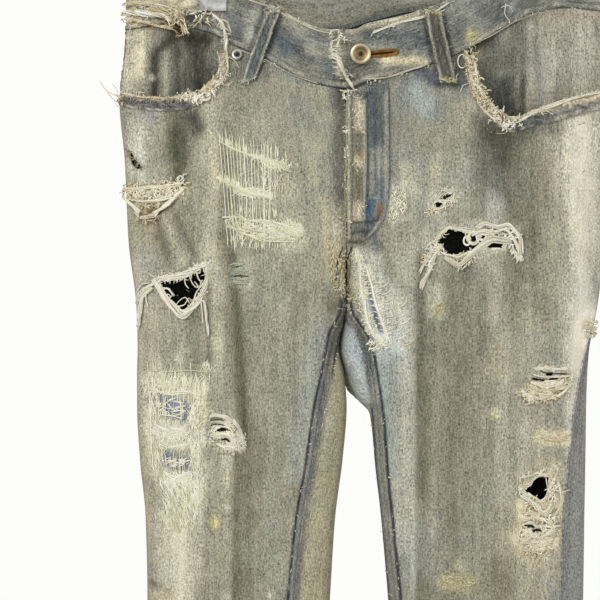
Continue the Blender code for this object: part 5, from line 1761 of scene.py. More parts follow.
# The facings in the pockets' mouths
FACING_MARKS: dict[Half, tuple[Mark, ...]] = {
    Half.RIGHT: (
        # The dark marks are painted shade in the pocket's recess and in the facing's creases
        Mark(-176, -166, -178, -214, 8, (208, 200, 174), 0.8),
        Mark(-175, -178, -177, -204, 5, (232, 223, 194), 0.85),
        Mark(-187, -168, -188, -212, 5, (206, 198, 172), 0.7),
        Mark(-163, -182, -163, -226, 5, (52, 53, 46), 0.9),
        Mark(-161, -178, -148, -167, 4.5, (58, 54, 42), 0.85),
        Mark(-154, -182, -154, -226, 4, (160, 158, 142), 0.85),
        Mark(-146, -174, -144, -224, 4.5, (82, 84, 74), 0.85),
        Mark(-138, -190, -137, -216, 4, (122, 122, 110), 0.6),
        Mark(-130, -172, -126, -218, 10, (54, 56, 48), 0.9),
        Mark(-118, -190, -117, -208, 5, (84, 84, 72), 0.7),
        Mark(-180, -186, -180, -222, 7, (214, 207, 184), 0.6),
        Mark(-146, -162, -122, -168, 6.5, (50, 46, 36), 0.9),
        Mark(-114, -174, -112, -192, 4, (122, 124, 116), 0.5),
        Mark(-176, -206, -170, -218, 6, (140, 138, 120), 0.6),
        Mark(-166, -199, -165, -200, 2.4, (222, 216, 196), 0.8),
    ),
    Half.LEFT: (
        # The dark marks are painted shade in the recess where the pocket gapes; the pale ones to the right
        # are the facing's own tan, painted lighter where its ridge catches the light
        Mark(106, -176, 126, -188, 13, (116, 114, 95), 0.85),
        Mark(102, -200, 120, -226, 13, (80, 80, 71), 0.85),
        Mark(122, -206, 125, -238, 9, (66, 68, 62), 0.9),
        Mark(137, -196, 137, -238, 3, (58, 60, 54), 0.85),
        Mark(132, -164, 134, -192, 6, (120, 116, 98), 0.7),
        Mark(144, -158, 144, -236, 4, (180, 173, 152), 0.85),
        Mark(158, -156, 162, -228, 12, (176, 168, 150), 0.8),
        Mark(186, -152, 188, -222, 13, (186, 179, 162), 0.85),
        Mark(98, -182, 99, -206, 4, (130, 124, 104), 0.7),
        Mark(150, -150, 204, -149, 4, (166, 156, 140), 0.6),
        Mark(170, -170, 174, -216, 4, (150, 142, 128), 0.5),
        Mark(152, -200, 153, -232, 3, (150, 152, 148), 0.5),
    ),
}
FACING_FOLDS: dict[Half, tuple[Fold, ...]] = {
    Half.RIGHT: (
        Fold(-154, -176, -153, -226, 5, 3.4), Fold(-166, -170, -168, -226, 5, -1.5),
        Fold(-130, -178, -126, -214, 9, -2.6), Fold(-118, -186, -116, -206, 4, 1.2),
        Fold(-180, -170, -182, -216, 4, 1.3), Fold(-143, -172, -141, -222, 4, 1.4),
    ),
    Half.LEFT: (
        Fold(112, -178, 116, -232, 8, -3.4), Fold(131, -166, 133, -238, 4, -1.6),
        Fold(142, -160, 141, -238, 3.5, 2.2), Fold(160, -160, 162, -230, 7, 1.4),
        Fold(178, -160, 176, -226, 6, -1.2), Fold(100, -184, 101, -214, 4, 1.2),
    ),
}
# Belt loops: CAD node, face, upper and lower end, width, clearance of the ends
BELT_LOOPS: tuple[tuple[str, Face, Place, Place, float, float], ...] = (
    ("belt_loop_front_right", Face.FRONT, (-66, -146), (-86.5, -203), 13.2, 0.5),
    ("belt_loop_front_left", Face.FRONT, (62.5, -147), (75, -204.5), 14.6, 0.5),
    ("belt_loop_back_right", Face.BACK, (-62, -109), (-64, -166), 12.2, 1.3),
    ("belt_loop_back_centre", Face.BACK, (-2, -105), (-4, -162), 12.2, 1.6),
    ("belt_loop_back_left", Face.BACK, (118, -89), (120, -146), 12.2, 1.8),
)


# ---------------------------------------------------------------- the panels


@dataclass(frozen=True)
class Cut:
    """The flat cut of a cloth piece: the width and length of its blank, and its area, in metres."""

    width: float
    length: float
    area: float


class Garment:
    """The jeans: all the cloth pieces, on the form of the CAD solids."""

    # Thickness of the panels, gaps at the seams and under the waistband, half width of a felled seam
    WALL = 1.3
    SEAM_GAP = 0.3
    WAIST_GAP = 0.6
    FELL = 4.4
    # Space between two rows of points, and points in a row
    FRONT_ROW, FRONT_COLUMNS = 1.9, 112
    BACK_ROW, BACK_COLUMNS = 3.2, 76
    LOOP_LENGTH = 57.0
    # Each kind of piece is cut elsewhere along the twill, so that no two kinds show the same grain
    CUT_AT: dict[str, int] = {
        "back_panel": 400, "yoke": 700, "waistband": 1200, "belt_loop": 1500, "facing": 1800,
        "binding": 2100, "fly": 2400, "back_pocket": 2800, "hem": 3200,
    }
    PALE_EDGE: Shade = (204, 198, 174)
    FELL_SHADE: dict[Half, Shade] = {Half.RIGHT: (100, 103, 104), Half.LEFT: (122, 122, 112)}

    right_mouth: tuple[Place, ...] = (
        (-107.5, -172.0), (-105.5, -193.0), (-114.0, -206.5), (-123.5, -216.5), (-137.0, -222.5),
        (-158.0, -224.0), (-180.0, -221.5), (-196.0, -215.0),
    )
    left_mouth: tuple[Place, ...] = (
        (90.5, -176.0), (93.0, -199.0), (97.0, -213.0), (105.0, -226.0), (115.5, -235.5), (127.5, -240.5),
        (142.0, -237.0), (158.0, -233.0), (179.0, -227.0), (213.0, -218.0),
    )
    great_rip: tuple[Place, ...] = (
        (-159.5, -365), (-150, -364), (-137, -362.5), (-127, -356), (-119, -351.5), (-120, -362),
        (-122, -372),
        (-130, -382), (-139, -390), (-146, -385), (-150, -381), (-155, -373),
    )
    thigh_rip: tuple[Place, ...] = (
        (64.5, -334), (70, -328), (76, -323), (84, -325), (93, -326.5), (108, -329), (120.5, -335),
        (120, -340),
        (110, -340), (98, -340.5), (88, -343), (82, -345.5), (69, -341.5),
    )
    knee_rip: tuple[Place, ...] = (
        (135.6, -532.8), (142, -530.4), (144.4, -527), (149, -524.8), (158, -523.8), (157.8, -531),
        (157, -536.8),
        (153.8, -541.4), (150, -543.4), (145.6, -540.6), (140, -537.4),
    )
    right_holes: tuple[tuple[Place, ...], ...] = (
        ((-96.5, -361.2), (-93, -360.4), (-88, -361.4), (-89.6, -362.8), (-94, -363)),
        ((-113.4, -488.8), (-111.6, -486), (-107.5, -484), (-103, -484.4), (-100.4, -487.6), (-104, -487.4),
            (-108, -487.8)),
        ((-107.6, -493.4), (-104.6, -491.4), (-101, -494), (-101.4, -496.6), (-104.8, -496)),
    )
    hip_tear: tuple[Place, ...] = (
        (-186.6, -260.4), (-181.6, -261.2), (-179.8, -265.8), (-172.8, -273), (-174.6, -275.2),
        (-182.4, -269), (-183.6, -264),
    )
    left_holes: tuple[tuple[Place, ...], ...] = (
        ((67.6, -300.6), (70.2, -297.8), (74, -295.8), (78, -295.6), (76.2, -298.8), (72, -300.8)),
        ((62.8, -306.2), (64.6, -302.6), (68.4, -301.2), (72, -301), (70, -304.2), (66.4, -306.8)),
        ((149, -437.2), (152, -438.8), (158, -440), (166, -440.4), (173, -440.2), (168, -442.4),
            (158, -442.8), (151, -441)),
        ((142.6, -443.8), (149, -444.8), (156, -445.4), (165, -443.8), (161, -447.4), (156, -448.8),
            (149, -447.8)),
        ((157, -543), (158, -539.4), (160.8, -538.8), (161.4, -542), (159.4, -544.4)),
        ((136, -562.4), (140, -561.6), (144.2, -564), (143.2, -566.4), (139, -565.4)),
        ((141.8, -567), (146, -566), (150.4, -567.8), (147, -570), (143.2, -569.6)),
    )

    def __init__(self, form: Form) -> None:
        """Make the finishes.

        Args:
            form: the garment's form.
        """
        self.form = form
        self.denim = Denim("Worn denim").build()
        self.lining = Denim("Denim inside", shade=(118, 121, 112), streak=0.6, slub=0.9, relief=0.2).build()
        self.soft = Denim("Waist denim", streak=0.8, slub=1.2, grain_size=2.1, blotch=1.3,
            relief=0.6).build()
        self.cotton = Cotton("Loose cotton").build()
        self.back_grids: dict[Half, tuple] = {}

    # -- helpers

    def keep(self, piece: bpy.types.Object, node: str) -> None:
        """Tie a cloth piece to the body and hide the CAD node that it stands for.

        Args:
            piece: the cloth.
            node: the CAD node that it stands for.
        """
        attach(piece, BODY)
        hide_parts(node)

    @staticmethod
    def spread(start: float, end: float, count: int = 200) -> Array:
        """Places from start to end, closer at both ends."""
        return start + (end - start) * (1 - np.cos(np.linspace(0, math.pi, count))) / 2

    def front_places(self, half: Half, level: float) -> Array:
        """Places over the front of a leg or of half the hips, from the side seam to the inseam."""
        edges = self.form.edges
        return self.spread(float(edges[half, "side_seam"](level)), float(edges[half, "inseam"](level)))

    @staticmethod
    def away(grid: Array) -> Array:
        """Directions that lead away from the garment's middle plane at each point of a grid."""
        return np.stack([0 * grid[..., 0], np.where(grid[..., 1] > 0, 1.0, -1.0), 0 * grid[..., 0]], axis=-1)

    def even(self, row: Array, columns: int, close: float = 0.0) -> tuple[Array, Array]:
        """Spread a row's points evenly along the cloth.

        Args:
            row: closely spaced points.
            columns: how many points to return.
            close: length before the row's end where they stand closer.

        Returns:
            The points, and how far along the cloth each is.
        """
        run = run_of(row)
        first, last = self.SEAM_GAP / 2, run[-1] - self.SEAM_GAP / 2
        if close:
            near = columns // 6
            places = np.concatenate([
                np.linspace(first, last - close, columns - near, endpoint=False),
                np.linspace(last - close, last, near),
            ])
        else:
            places = np.linspace(first, last, columns)
        return np.stack([np.interp(places, run, row[:, k]) for k in range(3)], axis=1), places

    def fold_wear_and_shade(self, face: Face, x: Array, z: Array, tint: Array) -> Array:
        """Lighten fold ridges and darken fold troughs: partly wear, partly painted light and shade.

        Args:
            face: front or back.
            x, z: places on the cloth.
            tint: their colours.

        Returns:
            The changed colours.
        """
        folds = self.form.front_folds if face is Face.FRONT else self.form.back_folds
        creases = self.form.front_creases if face is Face.FRONT else self.form.back_creases
        # Painted light on the fold ridges and painted shade in the troughs, partly wear too
        height = self.form.raised(folds, x, z) / 5.0 + self.form.raised(creases, x, z) / 1.6
        shift = 0.11 * np.clip(height, -1.2, 1.2) + 0.13 * mottle(x, z * 0.4, 26.0, 31)
        shift = shift + 0.06 * speckle(x, z, 5.0, 60.0, 12) + 0.08 * mottle(x, z * 0.6, 7.0, 33)
        return tint * (1.0 + shift)[:, None]

    def front_seams(self, half: Half, x: Array, z: Array, level: Array, tint: Array) -> Array:
        """Colour the front's seams: the felled inseam, the crotch and the side seam.

        Args:
            half: which half.
            x, z: places on the cloth.
            level: level of the row at each place.
            tint: their colours.

        Returns:
            The changed colours.
        """
        edges = self.form.edges
        inseam = np.abs(x - edges[half, "inseam"](level))
        tint = self.felled(inseam, x, z, tint, self.FELL_SHADE[half])
        side = np.abs(x - edges[half, "side_seam"](level))
        line = (1 - smoothstep(0.4, 2.6, side)) * 0.45 * smoothstep(-225.0, -240.0, level)
        dark = (96, 92, 112) if half is Half.LEFT else (140, 132, 108)
        return laid(tint, dark, line)

    def felled(self, gap: Array, x: Array, z: Array, tint: Array, shade: Shade) -> Array:
        """Colour a felled inseam: a worn band between two dark lines.

        Args:
            gap: distance of each place from the seam.
            x, z: places on the cloth.
            tint: their colours.
            shade: colour of the band.

        Returns:
            The changed colours.
        """
        below = smoothstep(self.form.crotch, self.form.crotch - 6.0, z)
        band = below * (1 - smoothstep(self.FELL - 0.6, self.FELL + 0.2, gap))
        band = (band * (0.75 + 0.3 * mottle(x, z * 0.5, 7.0, 51)))[:, None]
        # The band is darker near the crotch and reaches its full colour lower down
        worn = (0.36 + 0.64 * smoothstep(-400.0, -480.0, z))[:, None]
        tint = tint * (1 - band) + linear(shade) * worn * band
        dark = below * bell(gap - self.FELL, 1.1) * (1.1 + 0.3 * speckle(x, z, 2.0, 9.0, 52))
        tint = laid(tint, (44, 48, 62), np.clip(dark, 0.0, 0.96))
        return laid(tint, (176, 174, 160), below * bell(gap - self.FELL + 2.0, 0.8) * 0.3)

    def tucked(self, top: Array, inward: float) -> Array:
        """Rows that turn a piece's upper edge in behind the waistband.

        Args:
            top: the piece's first row.
            inward: 1 for the front and -1 for the back.

        Returns:
            Two rows, to go before it.
        """
        room = np.clip(np.abs(top[:, 1]) - 1.7, 0.4, 2.5) * inward
        turn = np.stack([0 * room, room, 0 * room], axis=1)
        return np.stack([top + turn + (0, 0, 3.4), top + turn * 0.9 + (0, 0, 0.2)])

    # -- panels

    def front_panel(self, half: Half) -> None:
        """Make a front panel with its pocket mouth, rips and holes.

        Args:
            half: which half.
        """
        form, right = self.form, half is Half.RIGHT
        fine = np.arange(form.top, -640.0, -self.FRONT_ROW)
        levels = np.concatenate([fine, np.linspace(-641.0, form.hem, 90)])
        columns = self.FRONT_COLUMNS
        anchor, side = (-90.0, 1) if right else (95.0, -1)
        rows, runs = [], []
        for level in levels:
            x = self.front_places(half, level)
            z = form.sag(Face.FRONT, level, x)
            deep = form.depth(half, x, z, Face.FRONT, np.full_like(x, level))
            row, run = self.even(np.stack([x, -deep, z], axis=1), columns, 14.0)
            rows.append(row)
            runs.append(run - float(np.interp(anchor * side, row[:, 0] * side, run)))
        grid, across = np.array(rows), np.array(runs)
        grid[0, :, 2] -= self.WAIST_GAP
        grid = np.concatenate([self.tucked(grid[0], 1.0), grid])
        across = np.concatenate([across[:1], across[:1], across])
        levels = np.array([form.top + 3.0, form.top + 0.5, *levels])
        level = np.repeat(np.minimum(levels, form.top), columns)
        x, z = grid[..., 0].ravel(), grid[..., 2].ravel()
        base, marks, seed = (BASE_RIGHT, RIGHT_MARKS, 2) if right else (BASE_LEFT, LEFT_MARKS, 6)
        tint = self.fold_wear_and_shade(Face.FRONT, x, z, paint(x, z, base, marks, seed))
        tint = self.front_seams(half, x, z, level, tint)
        mouth = self.right_mouth if right else self.left_mouth
        _, _, rim = nearest_on(x, z, walk(mouth, 6.0), closed=False)
        tint = laid(tint, self.PALE_EDGE, 0.55 * bell(rim, 3.2))
        openings = [self.great_rip, *self.right_holes]
        if not right:
            openings = [self.thigh_rip, self.knee_rip, *self.left_holes]
        raised = np.zeros(len(x))
        for outline in openings:
            _, _, gap = nearest_on(x, z, np.array(outline))
            big = len(outline) > 8
            tint = laid(tint, (206, 200, 176), 0.7 * bell(gap, 3.4 if big else 2.2))
            raised = raised + (1.5 if big else 0.7) * bell(gap, 4.0 if big else 2.0)
        weave = np.stack([across + anchor, np.repeat(levels[:, None], columns, 1)], axis=-1)
        skin = Skin.from_grid(grid, weave, tint, FORWARD)
        fell = np.abs(x - form.edges[half, "inseam"](level))
        fell = 1 - smoothstep(self.FELL - 0.6, self.FELL + 0.4, fell)
        fell = smoothstep(form.crotch, form.crotch - 8.0, z) * fell
        skin.points = skin.points + skin.normals * (raised + 0.7 * fell)[:, None]
        beyond, top = mouth[-1][0] - side * 28.0, mouth[0][1] + 60.0
        edge = walk(mouth, 1.6)
        edge[:, 1] += 0.9 * speckle(edge[:, 0], edge[:, 1], 4.0, 4.0, 8)
        skin.pierce(np.array([*edge, (beyond, mouth[-1][1]), (beyond, top), (mouth[0][0], top)]), form)
        for index, outline in enumerate(openings):
            big = len(outline) > 6
            skin.pierce(ragged(outline, 1.4, 0.9 if big else 0.4, index + 3))
        if right:
            skin.pierce(ragged(self.hip_tear, 1.4, 0.4, 2))
        piece = Shell.make(f"Front_panel_{half.value}", skin, self.WALL, self.denim, self.lining)
        self.keep(piece, f"front_panel_{half.value}")

    def yoke_seam(self, x: Array) -> Array:
        """Height of the yoke's lower seam.

        Args:
            x: places along it.

        Returns:
            The height at each place.
        """
        reach = self.form.left_levels[0][1] - self.form.middle
        side, centre = self.form.yoke_drop
        share = np.maximum(0.0, 1.0 - np.abs(x - self.form.middle) / reach)
        return self.form.seams[Face.BACK](x) - side - (centre - side) * share

    def back_row(self, half: Half, level: float) -> Array:
        """A row of the back panel, from the side seam round to the centre back or the inseam.

        Args:
            half: which half.
            level: the row's level.

        Returns:
            Closely spaced points.
        """
        form = self.form
        side, outer, inner, inseam = (
            float(form.edges[half, name](level)) for name in ("side_seam", "outer", "inner", "inseam"))
        runs = [(outer, inner, Face.BACK)]
        if abs(side - outer) > 0.5:
            runs.insert(0, (side, outer, Face.FRONT))
        if abs(inseam - inner) > 0.5:
            runs.append((inner, inseam, Face.FRONT))
        parts = []
        fade = 1 - smoothstep(form.yoke_top, form.yoke_sag_end, level)
        for start, stop, face in runs:
            x = self.spread(start, stop)
            z = level + (self.yoke_seam(x) - form.yoke_top) * fade
            deep = form.depth(half, x, z, face, np.full_like(x, level))
            parts.append(np.stack([x, face.value * deep, z], axis=1))
        row = np.concatenate(parts)
        # Below the crotch the back of both legs leans to the right leg, where the left one hides behind it
        lean = smoothstep(-388.0, -400.0, level) * smoothstep(-468.0, -452.0, level) * 3.6
        lean = lean + 2.6 * smoothstep(-428.0, -442.0, level) * smoothstep(-466.0, -454.0, level)
        near = smoothstep(16.0, 5.0, np.abs(row[:, 0] - inner)) * smoothstep(1.5, 6.0, row[:, 1])
        row[:, 0] -= lean * near
        return row

    def back_panel(self, half: Half) -> None:
        """Make a back panel and keep its grid for the pocket.

        Args:
            half: which half.
        """
        form = self.form
        fine = np.arange(form.yoke_top, -640.0, -self.BACK_ROW)
        levels = np.concatenate([fine, np.linspace(-643.0, form.hem, 80)])
        columns = self.BACK_COLUMNS
        middle = -92.0 if half is Half.RIGHT else 95.0
        rows, runs = [], []
        for level in levels:
            row, run = self.even(self.back_row(half, level), columns)
            rows.append(row)
            behind = row[:, 1] > 0
            order = np.argsort(row[behind, 0])
            runs.append(run - float(np.interp(middle, row[behind, 0][order], run[behind][order])))
        grid, across = np.array(rows), np.array(runs)
        x, z, y = grid[..., 0].ravel(), grid[..., 2].ravel(), grid[..., 1].ravel()
        level = np.repeat(levels, columns)
        tint = self.fold_wear_and_shade(Face.BACK, x, z, paint(x, z, (152, 152, 138), BACK_MARKS, 14))
        seam, inner, side = (
            np.abs(x - form.edges[half, name](level)) for name in ("inseam", "inner", "side_seam"))
        ahead, left, by_seam = y < 0, half is Half.LEFT, seam < 60
        strip = smoothstep(0.0, 4.0, -y) * smoothstep(-384.0, -396.0, level)
        tint = laid(tint, (172, 176, 168) if left else (178, 170, 140), 0.8 * strip * ahead * by_seam)
        if left:
            blue = smoothstep(-486.0, -452.0, level) * smoothstep(-380.0, -392.0, level) * ahead * by_seam
            tint = laid(tint, (182, 188, 186), 0.8 * blue)
        # Painted shade along the inner edges of the legs below the crotch
        tint = laid(tint, (112, 106, 82), 0.5 * (bell(inner, 4.0) * smoothstep(-390.0, -400.0, level)))
        strip = smoothstep(0.0, 3.0, -y) * ahead * (1 - by_seam)
        shade, share = ((144, 144, 140), 0.75) if left else ((160, 158, 146), 0.5)
        tint = laid(tint, shade, share * strip)
        tint = laid(tint, (98, 96, 106), 0.6 * (strip * bell(side - 2.0, 2.0)) * left)
        seam = seam + 30.0 * (y > 0)
        band = 1 - smoothstep(self.FELL - 0.8, self.FELL + 0.6, seam)
        band = smoothstep(form.crotch, form.crotch - 8.0, z) * band
        tint = self.felled(seam, x, z, tint, self.FELL_SHADE[half])
        centre = (1 - smoothstep(0.5, 3.0, np.abs(x - form.middle))) * (level > -392) * 0.5
        tint = laid(tint, (104, 110, 112), centre)
        weave = np.stack([across, np.repeat(levels[:, None], columns, 1)], axis=-1)
        weave[..., 0] += self.CUT_AT["back_panel"] * (1 if left else -1)
        skin = Skin.from_grid(grid, weave, tint, self.away(grid))
        skin.points = skin.points + skin.normals * (0.6 * band)[:, None]
        piece = Shell.make(f"Back_panel_{half.value}", skin, self.WALL, self.denim, self.lining)
        self.keep(piece, f"back_panel_{half.value}")
        self.back_grids[half] = (grid, skin.normals.reshape(grid.shape), levels, across)
        self.yoke(half, grid[0], columns)

    def yoke(self, half: Half, lower: Array, columns: int) -> None:
        """Make a yoke between the waistband and the back panel's upper edge.

        Args:
            half: which half.
            lower: the panel's first row.
            columns: how many points a row has.
        """
        form = self.form
        x = self.spread(*(float(form.edges[half, name](form.top)) for name in ("outer", "inner")))
        z = form.seams[Face.BACK](x) - self.WAIST_GAP
        deep = form.depth(half, x, z, Face.BACK, np.full_like(x, form.top))
        top, run = self.even(np.stack([x, deep, z], axis=1), columns)
        rows = []
        for share in np.linspace(0.0, 1.0, 24):
            row = top * (1 - share) + (lower + (0, 0, 0.5)) * share
            level = np.full(columns, form.top + (form.yoke_top - form.top) * share)
            bulge = form.depth(half, row[:, 0], row[:, 2], Face.BACK, level)
            rise = math.sin(math.pi * share)
            row[:, 1] = row[:, 1] * (1 - rise) + bulge * rise
            rows.append(row)
        grid = np.concatenate([self.tucked(rows[0], -1.0), np.array(rows)])
        px, pz = grid[..., 0].ravel(), grid[..., 2].ravel()
        tint = self.fold_wear_and_shade(Face.BACK, px, pz, paint(px, pz, (140, 143, 136), YOKE_MARKS, 19))
        weave = np.stack([np.repeat((run - run[-1] / 2)[None], len(grid), 0), grid[..., 2]], axis=-1)
        weave[..., 0] += self.CUT_AT["yoke"]
        skin = Skin.from_grid(grid, weave, tint, BACKWARD)
        piece = Shell.make(f"Yoke_{half.value}", skin, self.WALL, self.denim, self.lining)
        self.keep(piece, f"yoke_{half.value}")

    # -- waist

    def waistband(self) -> None:
        """Make the waistband, one strip whose left end laps over the right one at the front."""
        form = self.form
        seams, middle = form.seams, form.middle
        under, over, height = 18.0, -16.0, 47.0
        right, left = -187.5, 208.5
        runs = ((under, right, Face.FRONT), (right, left, Face.BACK), (left, over, Face.FRONT))
        heights = np.linspace(0.0, height, 26)
        dense = []
        for up in heights:
            parts = []
            for number, (start, stop, face) in enumerate(runs):
                x = self.spread(start, stop, 320)
                z = seams[face](x) + up
                level = np.full_like(x, form.top)
                on_right, on_left = (form.depth(half, x, z, face, level, 0.6) for half in Half)
                deep = np.where(x > middle, on_left, on_right)
                if number == 2:
                    deep = deep + smoothstep(form.lap_flat, form.lap_start, x) * form.lap_height
                parts.append(np.stack([x, face.value * deep, z, np.full_like(x, number)], axis=1))
            dense.append(np.concatenate(parts))
        middle_row = dense[12][:, :3]
        run = run_of(middle_row)
        places = np.linspace(0.0, run[-1], 470)
        table = np.array([
            np.stack([np.interp(places, run, row[:, k]) for k in range(4)], 1) for row in dense
        ])
        grid, part = table[..., :3], table[..., 3].ravel()
        up = np.repeat(heights, len(places))
        along = np.tile(places, len(heights))
        x, z = grid[..., 0].ravel(), grid[..., 2].ravel()
        front = grid[..., 1].ravel() < 0
        tint = paint(x, z, (130, 131, 121), WAIST_MARKS, 23)
        edge = bell(up - 3.0, 1.6) * (0.4 + 0.5 * speckle(along, up, 6.0, 3.0, 61))
        edge = edge + bell(height - up, 2.2) * (0.75 + 0.4 * speckle(along, up, 5.0, 3.0, 62))
        # Painted shadow along the lower edge, where the band overlaps the panel, and painted shade in the
        # groove just above
        line = bell(up - 5.4, 0.9) * 0.45 + bell(up, 1.1) * 0.8
        tint = laid(tint, (196, 190, 168), np.clip(edge, 0.0, 0.95))
        tint = laid(tint, (74, 80, 84), line)
        cloud = 0.42 * mottle(along, up, 13.0, 67) + 0.18 * speckle(along, up, 12.0, 2.4, 68)
        tint = tint * np.clip(1.0 + cloud, 0.45, 1.6)[:, None]
        # Painted shade on the waistband beside each front belt loop
        for head, foot in ((top, low) for _, face, top, low, _, _ in BELT_LOOPS if face is Face.FRONT):
            _, _, gap = nearest_on(x, z, np.array((foot, head)), closed=False)
            tint = laid(tint, (58, 62, 66), 0.75 * front * bell(gap - 8.0, 2.2))
        seat = (~front) & (part > 0.5) & (part < 1.5)
        tint[seat] = tint[seat] * 0.6 + linear((150, 152, 142)) * 0.4
        weave = np.stack([up.reshape(grid.shape[:2]), along.reshape(grid.shape[:2])], axis=-1)
        weave[..., 0] += self.CUT_AT["waistband"]
        skin = Skin.from_grid(grid, weave, tint, self.away(grid))
        relief = 0.7 * mottle(along, up, 11.0, 71) + 0.9 * bell(up - 2.4, 2.0)
        relief = relief - 0.6 * bell(up - 5.6, 1.2) + 0.6 * bell(height - up, 2.4)
        relief = relief + 0.3 * speckle(along, up * 0, 5.0, 9.0, 74) * bell(up - 7.0, 4.0)
        skin.points = skin.points + skin.normals * relief[:, None]
        rise = np.clip((up - 38.0) / 9.0, 0.0, 1.0) * (0.9 * speckle(along, up * 0, 9.0, 9.0, 73) - 0.4)
        skin.points[:, 2] += rise
        lining = Denim("Waist lining", shade=(150, 147, 131), streak=0.9, slub=1.1, blotch=1.2, relief=0.5)
        piece = Shell.make("Waistband", skin, 2.0, self.soft, lining.build())
        self.keep(piece, "waistband")

    def loop(self, name: str, face: Face, top: Place, low: Place, width: float, lift: float) -> None:
        """Make a belt loop.

        Args:
            name: its CAD node.
            face: front or back.
            top, low: the ends of its centre line.
            width: its width.
            lift: clearance of its ends.
        """
        form = self.form
        share = np.linspace(0.0, 1.0, 34)
        side = np.linspace(-0.5, 0.5, 11)
        z = top[1] + (low[1] - top[1]) * share
        x = top[0] + (low[0] - top[0]) * share
        level = np.full_like(z, form.top)
        half = Half.LEFT if top[0] > form.middle else Half.RIGHT
        deep = np.zeros_like(z)
        for aside in (-0.5, 0.0, 0.5):
            deep = np.maximum(deep, form.depth(half, x + aside * width, z, face, level, 0.0))
            natural = form.depth(half, x + aside * width, z, face, form.level_at(face, x, z), 0.0)
            deep = np.maximum(deep, natural)
        rise = deep + lift + 2.3 * np.sin(np.pi * share) ** 0.6 + 1.5
        run = share * self.LOOP_LENGTH
        worn = 1.0 + 0.05 * speckle(run, run * 0, 6.0, 1.0, 81)
        wander = 0.35 * speckle(run, run * 0, 9.0, 1.0, 83)
        px = x[:, None] + side[None] * width * worn[:, None] + wander[:, None]
        pz = np.repeat(z[:, None], len(side), 1) + side[None] * (top[0] - low[0]) * width / self.LOOP_LENGTH
        puff = 0.9 * bell(np.abs(side) - 0.34, 0.1) + 0.45 * mottle(px, pz, 6.0, 85)
        grid = np.stack([px, face.value * (rise[:, None] + puff), pz], axis=-1)
        fx, fz = px.ravel(), pz.ravel()
        tint = np.tile(linear((94, 90, 78) if "left" in name else (98, 101, 98)), (len(fx), 1))
        aside = np.abs(np.tile(side, len(share)))
        # Pale worn ridges near both edges, a dark line inside each, and painted shade along the outer edges
        for place, wide, shade, strength in (
            (0.38, 0.08, (190, 187, 166), 0.85), (0.2, 0.06, (66, 69, 68), 0.75),
            (0.5, 0.05, (50, 54, 60), 0.8),
        ):
            part = strength * bell(aside - place, wide) * (0.85 + 0.35 * speckle(fx, fz, 3.0, 5.0, 87))
            tint = laid(tint, shade, np.clip(part, 0, 0.95))
        end = np.repeat(np.minimum(share, 1 - share), len(side)) * self.LOOP_LENGTH
        warm = (196, 188, 128) if "left" in name else (178, 174, 152)
        tint = laid(tint, warm, np.clip(bell(end, 2.2) * 0.8, 0, 1))
        tint = tint * (1 + 0.22 * mottle(fx, fz, 9.0, 89))[:, None]
        weave = np.stack([px + self.CUT_AT["belt_loop"], pz], axis=-1)
        skin = Skin.from_grid(grid, weave, tint, np.array((0.0, float(face.value), 0.0)))
        piece = Shell.make(name.capitalize(), skin, 1.4, self.soft)
        self.keep(piece, name)

    # -- front pockets

    def facing(self, half: Half) -> None:
        """Make the facing that fills a pocket's gaping mouth.

        Args:
            half: which half.
        """
        form, right = self.form, half is Half.RIGHT
        direction = -1.0 if right else 1.0
        mouth = np.array(self.right_mouth if right else self.left_mouth)
        outer = float(form.edges[half, "outer"](mouth[-1][1]))
        inner = mouth[0][0] - direction * 12.0
        rows, columns = 48, 70
        x = outer + (inner - outer) * np.linspace(0.0, 1.0, columns) ** 1.3
        top = form.seams[Face.FRONT](x) + 4.0
        order = np.argsort(mouth[:, 0])
        inside = smoothstep(8.0, 30.0, np.abs(x - outer))
        low = np.interp(x, mouth[order, 0], mouth[order, 1]) - 16.0 * inside + 3.0 * (1 - inside)
        beside = smoothstep(0.0, 13.0, (mouth[0, 0] - x) * direction)
        low = low * (1 - beside) + (mouth[1, 1] - 24.0) * beside
        share = np.linspace(0.0, 1.0, rows)[:, None]
        pz = top[None] + (low - top)[None] * share
        edge = form.edges[half, "outer"](pz) - direction * 0.3
        px = np.minimum(direction * np.repeat(x[None], rows, 0), direction * edge) * direction
        deep = form.depth(half, px, pz, Face.FRONT, pz, 0.0)
        across = np.interp(px, mouth[order, 0], mouth[order, 1])
        _, _, gap = nearest_on(px, pz, walk(mouth, 5.0), closed=False)
        behind = (pz < across) | (direction * (px - mouth[0, 0]) < 0)
        gape = np.where(behind, 9.0, 9.0 * (1 - smoothstep(6.0, 42.0, gap)))
        tucked = 3.4 * smoothstep(-3.0, 0.4, pz - form.seams[Face.FRONT](px))
        deep = deep - tucked * np.clip(deep / 18.0, 0.25, 1)
        wrinkle = form.raised(FACING_FOLDS[half], px, pz) + 0.5 * mottle(px, pz * 0.5, 9.0, 91)
        wrinkle = wrinkle * np.clip(deep / 14.0, 0, 1) * np.clip(gape / 5.0, 0.3, 1)
        deep = deep - gape * np.clip(deep / 18.0, 0, 1) + wrinkle
        grid = np.stack([px, -np.maximum(deep, 0.8), pz], axis=-1)
        fx, fz = px.ravel(), pz.ravel()
        tint = paint(fx, fz, (140, 138, 122), FACING_MARKS[half], 93)
        uneven = 1 + 0.12 * speckle(fx, fz, 4.0, 40.0, 95) + 0.2 * mottle(fx, fz * 0.7, 11.0, 96)
        tint = tint * uneven[:, None]
        weave = np.stack([px + self.CUT_AT["facing"], pz], axis=-1)
        skin = Skin.from_grid(grid, weave, tint, FORWARD)
        piece = Shell.make(f"Pocket_facing_{half.value}", skin, 1.0, self.denim, self.lining)
        self.keep(piece, f"pocket_facing_{half.value}")

